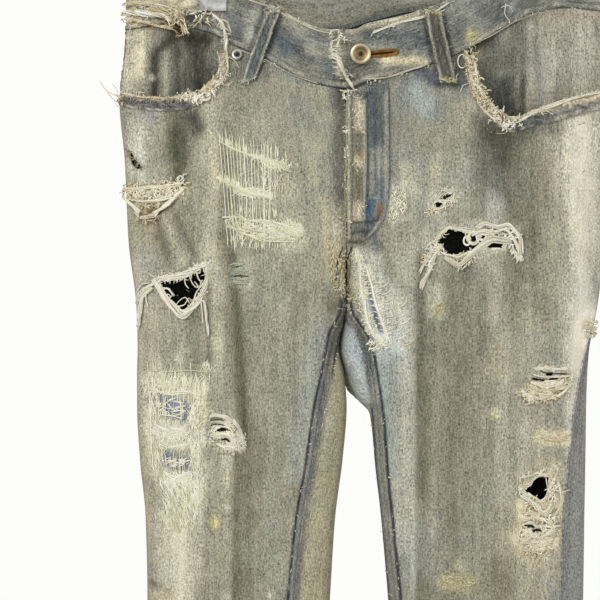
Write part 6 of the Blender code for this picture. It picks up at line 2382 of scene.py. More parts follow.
    def binding(self, half: Half) -> None:
        """Make the worn, lumpy edge of a pocket's mouth.

        Args:
            half: which half.
        """
        form, right = self.form, half is Half.RIGHT
        mouth = self.right_mouth if right else self.left_mouth
        centre = walk(mouth, 1.5)
        run = run_of(centre)
        outer = abs(float(form.edges[half, "outer"](mouth[-1][1]))) - 3.5
        centre = centre[(run > 7.0) & ((np.abs(centre[:, 0]) < outer) | (run < 40.0))]
        along = np.gradient(centre, axis=0)
        along /= np.linalg.norm(along, axis=1, keepdims=True)
        inward = np.stack([along[:, 1], -along[:, 0]], axis=1)
        if inward[len(inward) // 2, 1] > 0:
            inward = -inward
        side = np.linspace(-1.0, 1.0, 13)
        run = run_of(centre)
        wide, low = (4.2, 5.0) if right else (4.0, 5.8)
        width = wide + (low - wide) * smoothstep(45.0, 65.0, run)
        uneven = 1 + 0.14 * speckle(run, run * 0, 7.0, 1.0, 97) + 0.1 * speckle(run, run * 0, 2.5, 1.0, 98)
        width = width * uneven
        aside = side[None] * width[:, None] - 0.3 * width[:, None]
        px = centre[:, None, 0] + aside * inward[:, None, 0]
        pz = centre[:, None, 1] + aside * inward[:, None, 1]
        ends = np.clip(np.minimum(run, run[-1] - run) / 8.0, 0, 1)
        upper = 1.0 - 0.35 * smoothstep(45.0, 65.0, run)[:, None]
        lump = 1.3 * speckle(px, pz, 3.6, 3.2, 99) + 0.8 * speckle(px, pz, 1.9, 1.9, 101)
        lump = upper * lump + 0.7 * (1 - ends[:, None])
        round_ = np.sqrt(np.clip(1 - side**2 * 0.85, 0, 1))[None]
        groove = 0.5 * bell(side - 0.55, 0.16) + 0.5 * bell(side + 0.3, 0.16)
        lift = np.maximum(0.9 + 1.8 * round_ + lump * 0.8 - groove[None] * 0.8, 0.5)
        points = form.on_front(px.ravel(), pz.ravel(), lift.ravel())
        grid = points.reshape(*px.shape, 3)
        fx, fz, fs = px.ravel(), pz.ravel(), np.tile(side, len(centre))
        base = linear((104, 100, 98) if right else (92, 94, 88))
        if not right:
            outward = smoothstep(150.0, 172.0, fx)[:, None]
            base = base * (1 - outward) + linear((150, 146, 134)) * outward
        high = linear((196, 182, 146) if right else (212, 194, 150))
        side_run = (1 - smoothstep(45.0, 60.0, np.repeat(run, len(side))))[:, None] * 0.8
        tint = base * (1 - side_run) + high * side_run
        light = np.clip(bell(fs + 0.95, 0.34) * (0.9 + 0.4 * speckle(fx, fz, 3, 3, 103)), 0, 0.95)
        tint = laid(tint, (206, 188, 150) if right else (212, 196, 160), light)
        light = np.clip(bell(fs - 0.8, 0.3) * (0.1 + 0.6 * speckle(fx, fz, 4, 3, 105)), 0, 0.9)
        tint = laid(tint, (206, 200, 178), light)
        dark = bell(fs - 0.3, 0.3) * np.clip(0.3 + 0.5 * speckle(fx, fz, 6, 4, 107), 0, 0.9)
        tint = laid(tint, (76, 76, 76), dark)
        uneven = 1 + 0.35 * speckle(fx, fz, 2.2, 2.4, 109) + 0.3 * mottle(fx, fz, 7.0, 110)
        tint = tint * uneven[:, None]
        turned = np.repeat(side[None] * 3.5, len(centre), 0) + self.CUT_AT["binding"]
        weave = np.stack([turned, np.repeat(run[:, None], len(side), 1)], axis=-1)
        skin = Skin.from_grid(grid, weave, tint, FORWARD)
        piece = Shell.make(f"Pocket_edge_{half.value}", skin, 1.3, self.soft)
        self.keep(piece, f"pocket_edge_{half.value}")

    # -- fly

    def fly(self) -> None:
        """Make the fly flap with its worn edge and its rounded lower end."""
        form = self.form
        top, low = -211.0, -335.0
        widths = Curve(((top, 33.5), (-235, 34), (-290, 33.5), (-312, 30.5), (-326, 22), (low, 11)))
        levels = np.linspace(top, low, 84)
        share = np.linspace(0.0, 1.0, 25)
        start = form.middle + 0.2
        px = start + widths(levels)[:, None] * share[None]
        fade = 1 - smoothstep(top, -270.0, levels)[:, None]
        pz = levels[:, None] + (form.seams[Face.FRONT](px) - 3.0 - top) * fade
        px = px + 0.7 * (share[None] < 0.02) * speckle(pz, pz * 0, 4.0, 1.0, 111)
        edge = start + widths(levels)[:, None]
        ridge = 1.2 * smoothstep(9.5, 7.5, px) + 0.6 * bell(px - start, 2.0)
        ridge = ridge + 0.6 * mottle(px, pz, 8.0, 113) * (px < 9) - 0.4 * bell(px - 12.0, 1.4)
        ridge = ridge + 0.6 * bell(edge - px - 2.0, 1.1) + 0.5 * bell(edge - px - 6.5, 1.1)
        points = form.on_front(px.ravel(), pz.ravel(), (2.0 + ridge).ravel())
        fx, fz = px.ravel(), pz.ravel()
        tint = paint(fx, fz, (126, 128, 118), FLY_MARKS, 117)
        weave = np.stack([px + self.CUT_AT["fly"], pz], axis=-1)
        skin = Skin.from_grid(points.reshape(*px.shape, 3), weave, tint, FORWARD)
        piece = Shell.make("Fly_flap", skin, 1.2, self.denim)
        self.keep(piece, "fly_flap")

    # -- back pockets and hems

    def back_pocket(self, half: Half) -> None:
        """Make a patch pocket on the seat.

        Args:
            half: which half.
        """
        grid, normals, levels, _ = self.back_grids[half]
        top, corner, point, wide, tall = -242.0, -359.0, 12.0, 112, 118
        over, down = np.linspace(0.0, 1.0, 56), np.linspace(0.0, 1.0, 60)
        share = np.linspace(0.2504, 0.8817, len(over))
        bottom = corner - point * (1 - np.abs(2 * over - 1))
        level = top + (bottom - top)[None] * down[:, None]
        row = np.interp(-level, -levels, np.arange(len(levels)))
        column = np.repeat((share * (grid.shape[1] - 1))[None], len(down), 0)
        base, normal = bilinear(grid, row, column), bilinear(normals, row, column)
        normal /= np.linalg.norm(normal, axis=-1, keepdims=True)
        x, z = base[..., 0].ravel(), base[..., 2].ravel()
        aside = np.minimum(over, 1 - over)[None] * wide
        ends = (down * tall)[:, None]
        rim = np.minimum(np.minimum(aside, ends), (1 - down)[:, None] * tall)
        lift = 2.6 + 0.5 * bell(rim, 1.6) - 0.35 * bell(rim - 4.0, 1.0)
        lift = lift + 0.5 * mottle(base[..., 0], base[..., 2], 16.0, 121) + 0.5 * bell(ends - 14, 2)
        points = base + normal * lift[..., None]
        pale = bell(rim.ravel(), 2.2) * (0.7 + 0.4 * speckle(x, z, 5, 5, 123))
        tint = self.fold_wear_and_shade(Face.BACK, x, z, paint(x, z, (148, 150, 140), BACK_MARKS[:2], 125))
        tint = laid(tint, (198, 194, 176), np.clip(pale, 0, 0.9))
        weave = np.stack([base[..., 0] + self.CUT_AT["back_pocket"], base[..., 2]], axis=-1)
        skin = Skin.from_grid(points, weave, tint, BACKWARD)
        piece = Shell.make(f"Back_pocket_{half.value}", skin, 1.2, self.denim)
        self.keep(piece, f"back_pocket_{half.value}")

    def hem(self, half: Half) -> None:
        """Make the hem band round the lower edge of a leg.

        Args:
            half: which half.
        """
        form = self.form
        rows, spans = [], []
        height, count, columns = 16.0, 12, 150
        for level in np.linspace(form.hem + height, form.hem - 0.6, count):
            x = self.front_places(half, level)
            row_level = np.full_like(x, level)
            deep = form.depth(half, x, row_level, Face.FRONT, row_level)
            front = np.stack([x, -deep, row_level], axis=1)
            ring = np.concatenate([front, self.back_row(half, level)[::-1][1:]])
            row, run = self.even(ring, columns)
            rows.append(row)
            spans.append(run)
        grid = np.array(rows)
        middle = grid.mean(axis=(0, 1))
        outward = grid - middle
        outward[..., 2] = 0.0
        up = np.repeat(np.linspace(height, 0.0, count), columns)
        along = np.array(spans).ravel()
        tint = np.tile(linear((138, 140, 130)), (len(up), 1))
        edge = bell(up, 1.8) * (0.8 + 0.3 * speckle(along, up, 5, 3, 131))
        edge = np.clip(edge + 0.6 * bell(up - height, 1.6), 0, 0.9)
        tint = laid(tint, (194, 188, 164), edge)
        tint = tint * (1 + 0.25 * mottle(along, up, 14.0, 133))[:, None]
        weave = np.stack([np.array(spans) + self.CUT_AT["hem"], grid[..., 2]], axis=-1)
        skin = Skin.from_grid(grid, weave, tint, outward, ring=True)
        skin.points = skin.points + skin.normals * (1.9 + 0.3 * mottle(along, up, 9.0, 135))[:, None]
        piece = Shell.make(f"Hem_{half.value}", skin, 1.1, self.soft)
        self.keep(piece, f"hem_{half.value}")

    def build(self) -> None:
        """Make all the cloth pieces."""
        for half in Half:
            self.front_panel(half)
            self.back_panel(half)
            self.facing(half)
            self.binding(half)
            self.back_pocket(half)
            self.hem(half)
        self.fly()
        self.waistband()
        for row in BELT_LOOPS:
            self.loop(*row)


# ---------------------------------------------------------------- kinds of thread work


CORD = Yarn(0.62, ((242, 238, 222), (250, 247, 236), (226, 219, 196), (234, 228, 208)), 0.4)
CHALK = Yarn(0.42, ((246, 244, 225), (240, 237, 212), (231, 226, 197)), 0.5)
SAND = Yarn(0.52, ((218, 205, 170), (230, 220, 192), (200, 184, 146), (238, 231, 208)), 0.6)
BROWN = Yarn(0.40, ((168, 148, 108), (150, 128, 90), (186, 166, 126)), 0.7)
ORANGE = Yarn(0.30, ((166, 116, 48), (148, 100, 42), (180, 132, 62), (134, 90, 40)), 0.2)
WHITE = Yarn(0.46, ((247, 245, 226), (243, 240, 219), (248, 247, 234)), 0.3)
CREAM = Yarn(0.56, ((247, 241, 219), (241, 233, 208), (249, 246, 230), (232, 222, 194)), 0.4)
SAGE = Yarn(0.36, ((190, 194, 172), (178, 183, 160), (202, 205, 186)), 0.5)
# Near-black thread for slits, gaps and the undersides of rolled edges: painted shade where these show only
# shade
SHADE_YARN = Yarn(0.36, ((36, 31, 24), (28, 25, 20)), 0.1)


@dataclass(frozen=True)
class Rope:
    """Strands that run together along a path."""

    path: tuple[Place, ...]
    strands: int = 5
    width: float = 0.9
    lift: float = 1.3
    yarn: Yarn = CORD
    scale: float = 1.0

    def grow(self, t: Threads) -> None:
        """Add the rope to a bundle."""
        t.rope(self.path, self.strands, self.width, self.lift, self.yarn, self.scale)


@dataclass(frozen=True)
class Knot:
    """Curled threads round a place."""

    x: float
    z: float
    half_x: float
    half_z: float
    count: int
    yarn: Yarn = COTTON
    size: float = 6.0
    lift: float = 1.0
    angle: float | None = None

    def grow(self, t: Threads) -> None:
        """Add the knot to a bundle."""
        t.tangle(
            self.x, self.z, self.half_x, self.half_z, self.count, self.lift, self.yarn, self.size, self.angle
        )


@dataclass(frozen=True)
class Fringe:
    """Loose ends along a path."""

    path: tuple[Place, ...]
    per_mm: float
    angle: float
    spread: float = 40.0
    lengths: Place = (1.5, 5.0)
    yarn: Yarn = COTTON
    lift: float = 0.8
    jitter: float = 0.7

    def grow(self, t: Threads) -> None:
        """Add the fringe to a bundle."""
        t.fringe(
            self.path, self.per_mm, self.angle, self.spread, self.lengths, self.lift, self.yarn, self.jitter
        )


@dataclass(frozen=True)
class Ticks:
    """Upright stitches side by side along a path, as darning or bared weft shows."""

    path: tuple[Place, ...]
    height: float
    per_mm: float
    yarn: Yarn = CHALK
    lean: float = 6.0
    strays: float = 0.6
    lift: float = 0.4

    def grow(self, t: Threads) -> None:
        """Add the stitches to a bundle."""
        t.darn(self.path, self.height, self.per_mm, self.yarn, self.lift, self.lean, self.strays)


@dataclass(frozen=True)
class Patch:
    """Crossing scratches of thread over a round area."""

    x: float
    z: float
    half_x: float
    half_z: float
    count: int
    long: float = 8.0
    angle: float = 90.0
    lean: float = 14.0
    yarn: Yarn = CHALK
    lift: float = 0.35

    def grow(self, t: Threads) -> None:
        """Add the scratches to a bundle.

        Args:
            t: the bundle.
        """
        for _ in range(self.count):
            r, a = math.sqrt(float(t.draw.random())), float(t.draw.uniform(0, 2 * math.pi))
            turn = math.radians(self.angle + float(t.draw.normal(0, self.lean)))
            along = np.linspace(-0.5, 0.5, 5) * self.long * float(t.draw.uniform(0.4, 1.3))
            aside = t.wander(5, 0.6)
            t.lay(
                self.x + self.half_x * r * math.cos(a) + along * math.cos(turn) - aside * math.sin(turn),
                self.z + self.half_z * r * math.sin(a) + along * math.sin(turn) + aside * math.cos(turn),
                self.lift + 0.3 * np.cos(np.linspace(-1.5, 1.5, 5)), self.yarn,
            )


@dataclass(frozen=True)
class Ring:
    """Turns of thread round a place."""

    x: float
    z: float
    half_x: float
    half_z: float
    turns: int = 4
    yarn: Yarn = CORD
    lift: float = 1.6

    def grow(self, t: Threads) -> None:
        """Add the ring to a bundle.

        Args:
            t: the bundle.
        """
        angles = np.linspace(0.0, 2 * math.pi, 16)
        for _ in range(self.turns):
            wide = 1.0 + float(t.draw.normal(0, 0.12))
            t.lay(self.x + self.half_x * wide * np.cos(angles), self.z + self.half_z * wide * np.sin(angles),
                  self.lift + 0.4 * np.sin(3 * angles), self.yarn)


@dataclass(frozen=True)
class Stray:
    """One long loose thread along a path."""

    path: tuple[Place, ...]
    lift: float = 1.2
    yarn: Yarn = COTTON
    scale: float = 1.0

    def grow(self, t: Threads) -> None:
        """Add the thread to a bundle.

        Args:
            t: the bundle.
        """
        line = walk(self.path, 1.5)
        lift = self.lift + 0.4 * np.sin(np.arange(len(line)) * 0.7)
        t.lay(line[:, 0], line[:, 1], lift, self.yarn, self.scale)


@dataclass(frozen=True)
class Seam:
    """A row of machine stitches."""

    path: tuple[Place, ...]
    yarn: Yarn = GREYISH
    lift: float = 0.15
    long: float = 2.6
    gap: float = 1.0
    worn: float = 0.15

    def grow(self, t: Threads) -> None:
        """Add the row to a bundle."""
        t.stitches(self.path, self.yarn, self.long, self.gap, self.lift, self.worn)


@dataclass(frozen=True)
class Lip:
    """The frayed edge of a rip: short ends that point into it and run along it."""

    outline: tuple[Place, ...]
    per_mm: float = 1.0
    lengths: Place = (1.5, 4.0)
    yarn: Yarn = CHALK
    inward: float = 0.6
    clear: float = 0.0

    def grow(self, t: Threads) -> None:
        """Add the edge to a bundle.

        Args:
            t: the bundle.
        """
        points = walk([*self.outline, self.outline[0]], 0.5)
        centre = np.mean(np.array(self.outline), axis=0)
        outward = points - centre
        points = points + outward / np.linalg.norm(outward, axis=1, keepdims=True) * self.clear
        for _ in range(int(len(points) * 0.5 * self.per_mm)):
            x, z = points[int(t.draw.integers(len(points)))]
            away = float(t.draw.random()) > self.inward
            angle = math.degrees(math.atan2(centre[1] - z, centre[0] - x)) + float(t.draw.normal(0, 45))
            length = float(t.draw.uniform(*self.lengths)) * (0.7 if away else 1.0)
            t.wisp(x, z, angle + 180 * away, length, 1.1, self.yarn, 0.8)
        for _ in range(int(len(points) * 0.5 * self.per_mm * 0.6)):
            run = np.roll(points, -int(t.draw.integers(len(points))), axis=0)[: int(t.draw.integers(8, 26))]
            off = t.draw.normal(0, 0.7, 2)
            lift = 1.2 + 0.5 * np.sin(np.linspace(0, 3, len(run)))
            t.lay(run[:, 0] + off[0], run[:, 1] + off[1], lift, self.yarn, 1.3)


# ---------------------------------------------------------------- loose threads, darning and stitching

POCKET_RIGHT = (
    Rope(((-188, -212.5), (-171, -216.3), (-155, -217.6), (-142, -216.3), (-130, -215)), 5, 0.8, 2.6, SAND),
    Rope(((-182, -212), (-168, -215.6), (-150, -216.8)), 3, 0.5, 3.2, ORANGE),
    Knot(-172, -220, 10, 2.4, 24, GREYISH, 4, 2.6), Knot(-150, -222, 10, 2.4, 24, GREYISH, 4, 2.6),
    Knot(-141, -217, 5, 2, 16, CORD, 4, 2.6), Knot(-128, -216, 6, 3, 30, CORD, 5, 2.4),
    Fringe(((-188, -212.5), (-171, -216.3), (-155, -217.6), (-142, -216.3), (-128, -214)), 1.3, 90, 60,
        (0.8, 2), CHALK, 2.6),
    Knot(-188, -216, 3, 5, 12, SAND, 6, 2.0), Knot(-180, -213, 6, 2, 10, COTTON, 6, 2.6),
    Knot(-134, -217, 5, 3, 14, CORD, 6, 2.4), Knot(-127, -219, 4, 3, 12, CORD, 6, 2.4),
    Ring(-121, -216.3, 3.3, 3.2, 5, CORD, 2.6), Knot(-117, -212, 4, 4, 14, CORD, 6, 2.2),
    Knot(-112, -204, 4, 4.5, 26, CORD, 5, 2.4), Knot(-106, -196, 3.5, 5, 22, COTTON, 5, 2.6),
    Knot(-108, -187, 4, 4, 12, COTTON, 5, 2.4), Knot(-110, -180, 4, 4, 8, GREYISH, 5, 2.2),
    Rope(((-104, -176), (-103.5, -190), (-107, -202), (-116, -212)), 4, 0.9, 2.6),
    Rope(((-112, -178), (-110, -190), (-111, -200)), 3, 0.7, 2.0, COTTON),
    Stray(((-118, -208), (-112, -205), (-104, -207), (-99, -203)), 2.0),
    Stray(((-103, -183), (-98, -186), (-94, -192)), 2.0),
    Stray(((-189, -216), (-196, -213), (-204, -208.5), (-209, -201)), 1.0, SAND, 0.8),
    Stray(((-189, -218), (-195, -218), (-200, -214), (-203, -210)), 1.0, SAND, 0.8),
    Stray(((-188, -220), (-194, -222), (-197, -218)), 1.0, COTTON, 0.8),
    Stray(((-190, -214), (-196, -207), (-199, -203)), 1.0, SAND, 0.7),
    Seam(((-186, -220), (-163, -223), (-140, -223), (-128, -220)), GREYISH, 2.4, 2.2, 1.2, 0.2),
    Seam(((-186, -230), (-163, -233), (-138, -233)), GREYISH, 0.2, 2.4, 1.2, 0.4),
)
POCKET_LEFT = (
    Rope(((90, -180), (92.5, -196), (96, -210), (102, -221)), 6, 1.1, 2.8, SAND),
    Rope(((96, -188), (98.5, -200), (101, -211), (108, -221), (117, -230)), 5, 1.0, 2.6, CORD),
    Rope(((98, -216), (103, -227), (112, -235), (122, -240.5)), 5, 1.0, 2.6, CORD),
    Ring(106.8, -225.6, 3.6, 3.0, 6, SAND, 2.6), Ring(86.5, -188, 3.2, 5.2, 3, COTTON, 1.4),
    Knot(93, -186, 4, 6, 16, SAND, 6, 2.6), Knot(98, -203, 4, 7, 20, CORD, 6, 2.6),
    Knot(113, -231, 6, 4, 20, CORD, 7, 2.8),
    Knot(102, -215, 4, 4, 16, SAND, 6, 2.6), Knot(121, -237, 5, 4, 16, CORD, 6, 2.6),
    Knot(106, -225, 5, 4, 12, BROWN, 5, 2.0),
    Fringe(((90, -180), (93, -199), (98, -214), (106, -226)), 0.8, 200, 60, (0.8, 2.4), SAND, 2.2),
    Fringe(((97, -190), (102, -211), (117, -229)), 0.8, 30, 60, (0.8, 2.4), SAND, 2.4),
    Knot(92, -192, 3, 8, 40, SAND, 4, 2.8), Knot(97, -208, 4, 7, 44, SAND, 4, 2.8),
    Knot(105, -222, 5, 5, 40, SAND, 4, 2.8),
    Knot(115, -233, 6, 4, 40, SAND, 4, 2.8), Knot(124, -239, 5, 3, 30, CORD, 5, 2.8),
    Rope(((122, -236), (128, -237), (144, -229.6), (160.6, -224), (177, -217.4), (204, -210.8)), 6, 0.8, 2.6,
        CORD),
    Fringe(((126, -236.4), (144, -229.2), (160.6, -223.7), (177, -217), (204, -210.6)), 1.7, 90, 40,
        (0.8, 2.2), CHALK, 2.6),
    Rope(((140, -229.6), (155, -224.6), (170, -219.6), (190, -213.6)), 5, 0.9, 3.0, CHALK),
    Knot(150, -228, 9, 2, 24, CHALK, 5, 2.8, 15),
    Ring(144, -229, 2.4, 2.2, 3, COTTON, 2.4), Knot(131, -237, 5, 3, 14, CHALK, 6, 2.6),
    Stray(((126, -241), (120, -246), (114, -246)), 1.0), Stray(((92, -206), (87, -208), (85, -213)), 1.4),
    Seam(((131, -240.5), (144, -236), (162, -230.5), (180, -225), (200, -220)), GREYISH, 2.2, 2.6, 1.6,
        0.15),
    Seam(((131, -252), (144, -248), (166, -243), (190, -236)), INDIGO, 0.2, 2.6, 1.2, 0.4),
    Seam(((80, -190), (83, -206), (90, -224), (102, -238), (114, -248)), GREYISH, 0.2, 2.6, 1.2, 0.35),
)
WAIST = (
    Stray(((-166, -149), (-152.6, -152.8), (-140.4, -158.3), (-135, -164)), 4.0, SAND, 1.2),
    Stray(((-163, -140), (-150, -143.4), (-141.8, -151.5), (-137, -161)), 4.4, SAND, 1.2),
    Rope(((-190, -151), (-174, -154.2), (-160.7, -158.3), (-150, -160)), 6, 1.2, 3.6, SAND),
    Rope(((-186, -140), (-170, -139), (-154, -144), (-144, -152)), 8, 2.2, 3.6, SAND),
    Rope(((-168, -144), (-156, -146), (-146, -154), (-139, -165)), 8, 1.8, 4.0, SAND),
    Rope(((-178, -146), (-162, -148), (-150, -154)), 6, 1.6, 3.8, CORD),
    Rope(((-190, -146), (-176, -148), (-160, -150)), 6, 2.0, 3.2, CORD),
    Knot(-150, -146, 9, 6, 34, SAND, 12, 4.0, 320), Knot(-176, -144, 10, 4, 30, COTTON, 9, 3.0, 0),
    Knot(-160, -156, 12, 3, 24, BROWN, 9, 3.0, 350), Knot(-182, -152, 8, 4, 20, SAND, 8, 2.8, 10),
    Knot(-141, -158, 4, 5, 14, GREENISH, 8, 3.4, 300), Knot(-124, -152, 6, 3, 10, GREENISH, 8, 3.0),
    Stray(((-120, -140), (-124, -149), (-130, -156), (-133, -159)), 3.4, GREENISH, 1.6),
    Knot(-126, -146, 7, 3, 12, CORD, 8, 3.0),
    Rope(((-118, -146), (-107, -156.9), (-105.3, -168), (-106, -178)), 5, 0.9, 3.2, CORD),
    Rope(((-112, -150), (-104, -154), (-101, -163)), 3, 0.6, 3.0, COTTON),
    Knot(-106, -166, 4, 5, 14, COTTON, 7, 2.8),
    Fringe(((-122, -148), (-114, -151), (-104, -160)), 0.8, 270, 40, (3, 8), CHALK, 3.0, 1.6),
    # The lapped end
    Rope(((-13, -166), (-16.5, -175), (-14.6, -186), (-9, -199), (-3, -209)), 5, 0.8, 4.4, CORD),
    Rope(((-12, -167), (-15, -180), (-11, -192), (-7, -204)), 3, 0.6, 4.2, COTTON),
    Knot(-12, -168, 5, 3, 12, CORD, 6, 4.4), Knot(-15, -180, 1.6, 6, 9, CHALK, 5, 4.4),
    Knot(-8, -200, 3, 5, 8, COTTON, 5, 4.2),
    Fringe(((-16, -168), (-16.5, -182), (-11, -198)), 0.6, 190, 45, (1, 2.8), CHALK, 4.0),
    Stray(((-18, -196), (-12, -200), (-6, -198), (0, -202)), 4.0), Knot(-5, -209, 4, 3, 8, COTTON, 6, 3.0),
    # Edges of the band
    Rope(((-96, -131), (-70, -142), (-50, -154), (-30, -163), (-16, -166)), 3, 0.5, 1.0, COTTON),
    Rope(((14, -165), (36, -157), (60, -150), (76, -140)), 4, 0.7, 1.0, CORD),
    Fringe(((-96, -131), (-72, -141), (-48, -155), (-22, -165)), 0.35, 90, 50, (1, 3.5), COTTON, 0.8),
    Fringe(((14, -165), (38, -156), (70, -143), (110, -122)), 0.5, 90, 50, (1, 3.5), COTTON, 0.8),
    Rope(((6, -203), (24, -200), (40, -196), (60, -190)), 3, 0.5, 2.4, COTTON),
    Rope(((-94, -177), (-74, -185), (-52, -198), (-30, -206)), 3, 0.4, 2.2, GREYISH),
    Fringe(((-94, -177), (-72, -186), (-50, -199), (-28, -207)), 0.3, 270, 50, (1, 3), COTTON, 2.0),
    Fringe(((6, -204), (36, -198), (62, -190)), 0.35, 270, 50, (1, 3), COTTON, 2.0),
    Fringe(((100, -172), (124, -158), (146, -147), (190, -142)), 0.35, 90, 60, (1, 3.5), COTTON, 2.0),
    Rope(((94, -175), (112, -166), (130, -155), (150, -146)), 3, 0.5, 1.8, GREYISH),
    Knot(96, -170, 3.5, 4, 14, GREENISH, 5, 1.4), Knot(92, -186, 2.4, 5, 14, COTTON, 6, 1.4),
    Stray(((122, -140), (121, -148), (125, -156), (123, -160)), 1.2),
    Stray(((118, -144), (124, -142), (128, -147)), 1.2),
    Seam(((-92, -173), (-72, -181), (-52, -193.5), (-30, -202)), GREYISH, 1.0, 2.6, 1.2, 0.15),
    Seam(((-96, -138), (-72, -147), (-50, -160), (-28, -169)), GREYISH, 1.0, 2.6, 1.2, 0.2),
    Seam(((10, -199.5), (36, -193.5), (60, -186)), GREYISH, 1.2, 2.6, 1.2, 0.15),
    Seam(((14, -170), (38, -161), (60, -153.5)), GREYISH, 1.2, 2.6, 1.2, 0.2),
    Seam(((82, -176), (104, -164.5), (124, -153), (146, -142), (190, -138)), GREYISH, 1.0, 2.6, 1.2, 0.2),
)
FLY = (
    Rope(((-7, -212), (-7.4, -232), (-6.6, -262), (-7.2, -300), (-7, -334)), 4, 0.8, 2.6, GREYISH),
    Rope(((8.5, -216), (8.8, -250), (8.0, -300), (6, -318)), 3, 0.4, 2.6, GREYISH),
    Fringe(((-7, -212), (-7, -250), (-7, -300), (-7, -334)), 0.6, 180, 60, (1, 3), GREENISH, 2.4),
    Knot(2, -231, 5, 4, 10, CHALK, 5, 2.6), Knot(3, -242, 5, 4, 9, CHALK, 5, 2.6),
    Ring(2.6, -270, 3.4, 3.0, 3, SAND, 2.6),
    Knot(3, -272, 4, 4, 9, CHALK, 5, 2.6), Knot(2, -308, 5, 5, 11, CHALK, 5, 2.6),
    Knot(-7, -246, 2, 3, 9, CORD, 5, 2.6),
    Knot(-8, -286, 2, 8, 14, GREENISH, 5, 2.6), Knot(-8, -262, 1.6, 4, 8, CORD, 5, 2.6),
    Knot(-6, -214, 3, 4, 12, CORD, 6, 2.8),
    Knot(-8, -318, 2, 6, 10, SAND, 5, 2.4), Knot(4, -218, 5, 3, 8, COTTON, 5, 2.6),
    Patch(35, -302, 7, 11, 90, 5, 100, 30), Patch(31, -312, 4, 5, 30, 4, 70, 40),
    Seam(((24.3, -208), (24.3, -260), (24.3, -298), (20, -318), (12, -332)), GREYISH, 2.4, 2.6, 1.1, 0.2),
    Seam(((28.6, -208), (28.8, -260), (29, -300), (23.5, -322), (14.5, -335), (3, -339)), GREYISH, 0.4, 2.6,
        1.1, 0.2),
    # The near-black ropes in this group: painted shade in the slits by the crotch seam
    Rope(((-3, -338), (-7, -350), (-8, -364), (-7, -380)), 3, 0.4, 0.7, SHADE_YARN),
    Rope(((-9, -338), (-12, -352), (-13, -374)), 2, 0.3, 0.6, BROWN),
    Knot(-9, -350, 2, 8, 16, BROWN, 4, 0.8, 270), Knot(-7, -372, 3, 6, 20, SAND, 4, 0.8, 250),
    Knot(-2, -381, 5, 3, 16, SAND, 5, 0.9, 30),
    Fringe(((-8, -340), (-12, -352), (-12, -376)), 1.6, 190, 60, (1, 4), CHALK, 0.5, 2.0),
    Patch(-15, -350, 6, 22, 60, 6, 84, 22, SAND), Patch(-6, -372, 4, 14, 30, 5, 80, 30, SAND),
    Rope(((-10, -338), (-15, -352), (-16, -372)), 2, 0.3, 0.7, SHADE_YARN),
    Rope(((-4, -340), (-4, -358), (-5, -378)), 2, 0.3, 0.7, BROWN), Knot(-6, -388, 4, 3, 10, COTTON, 5, 0.8),
    Fringe(((1, -342), (5, -356), (6, -372)), 2.4, 200, 50, (1.5, 5), CHALK, 0.8, 1.4),
)
DARNED_THIGH = (
    Rope(((-111, -252), (-97, -259), (-85, -264), (-78, -267), (-66, -272)), 4, 0.5, 0.7, CHALK),
    Ticks(((-110, -251), (-97, -257), (-85, -262), (-74, -267)), 9, 1.4),
    Ticks(((-86, -263), (-74, -267), (-60, -273)), 6, 1.8),
    Patch(-62, -272, 11, 4.5, 80, 7, 80, 40), Patch(-76, -267, 9, 2.5, 24, 6, 70, 40),
    Rope(((-82, -265), (-66, -270), (-50, -277)), 6, 1.6, 0.6, CHALK),
    Ticks(((-74, -258), (-62, -262), (-50, -266)), 9, 0.7),
    Rope(((-112, -282), (-101, -286), (-92, -292), (-82, -296), (-66, -297)), 10, 1.5, 0.8, CHALK),
    Ticks(((-112, -282), (-101, -286), (-92, -291)), 9, 2.4),
    Ticks(((-96, -290), (-82, -296), (-66, -297)), 7, 4.2),
    Patch(-84, -294, 14, 3.5, 110, 7, 10, 24), Ticks(((-64, -290), (-52, -294)), 9, 0.6),
    Rope(((-108, -314), (-96, -313), (-88, -317), (-70, -318), (-57, -320), (-42, -325)), 6, 1.6, 0.7,
        CHALK),
    Rope(((-104, -320), (-88, -324), (-66, -325), (-44, -330)), 6, 2.2, 0.6, CHALK),
    Rope(((-92, -328), (-70, -332), (-46, -333)), 4, 1.8, 0.6, CHALK),
    Patch(-68, -324, 27, 7, 150, 8, 8, 30),
    Patch(-66, -324, 27, 9, 90, 7, 84, 22),
    Patch(-52, -325, 10, 8, 150, 6, 80, 34), Patch(-92, -319, 14, 5, 50, 7, 80, 24),
    Patch(-86, -330, 14, 4, 34, 7, 85, 20),
    Ticks(((-104, -332), (-84, -338), (-60, -337)), 7, 0.6),
    Ticks(((-100, -306), (-84, -309), (-60, -311)), 9, 0.9),
    Stray(((-87, -300), (-88, -314), (-90, -325), (-91, -338)), 0.8, CHALK, 1.3),
    Patch(-78, -282, 20, 10, 40, 9, 82, 30),
)
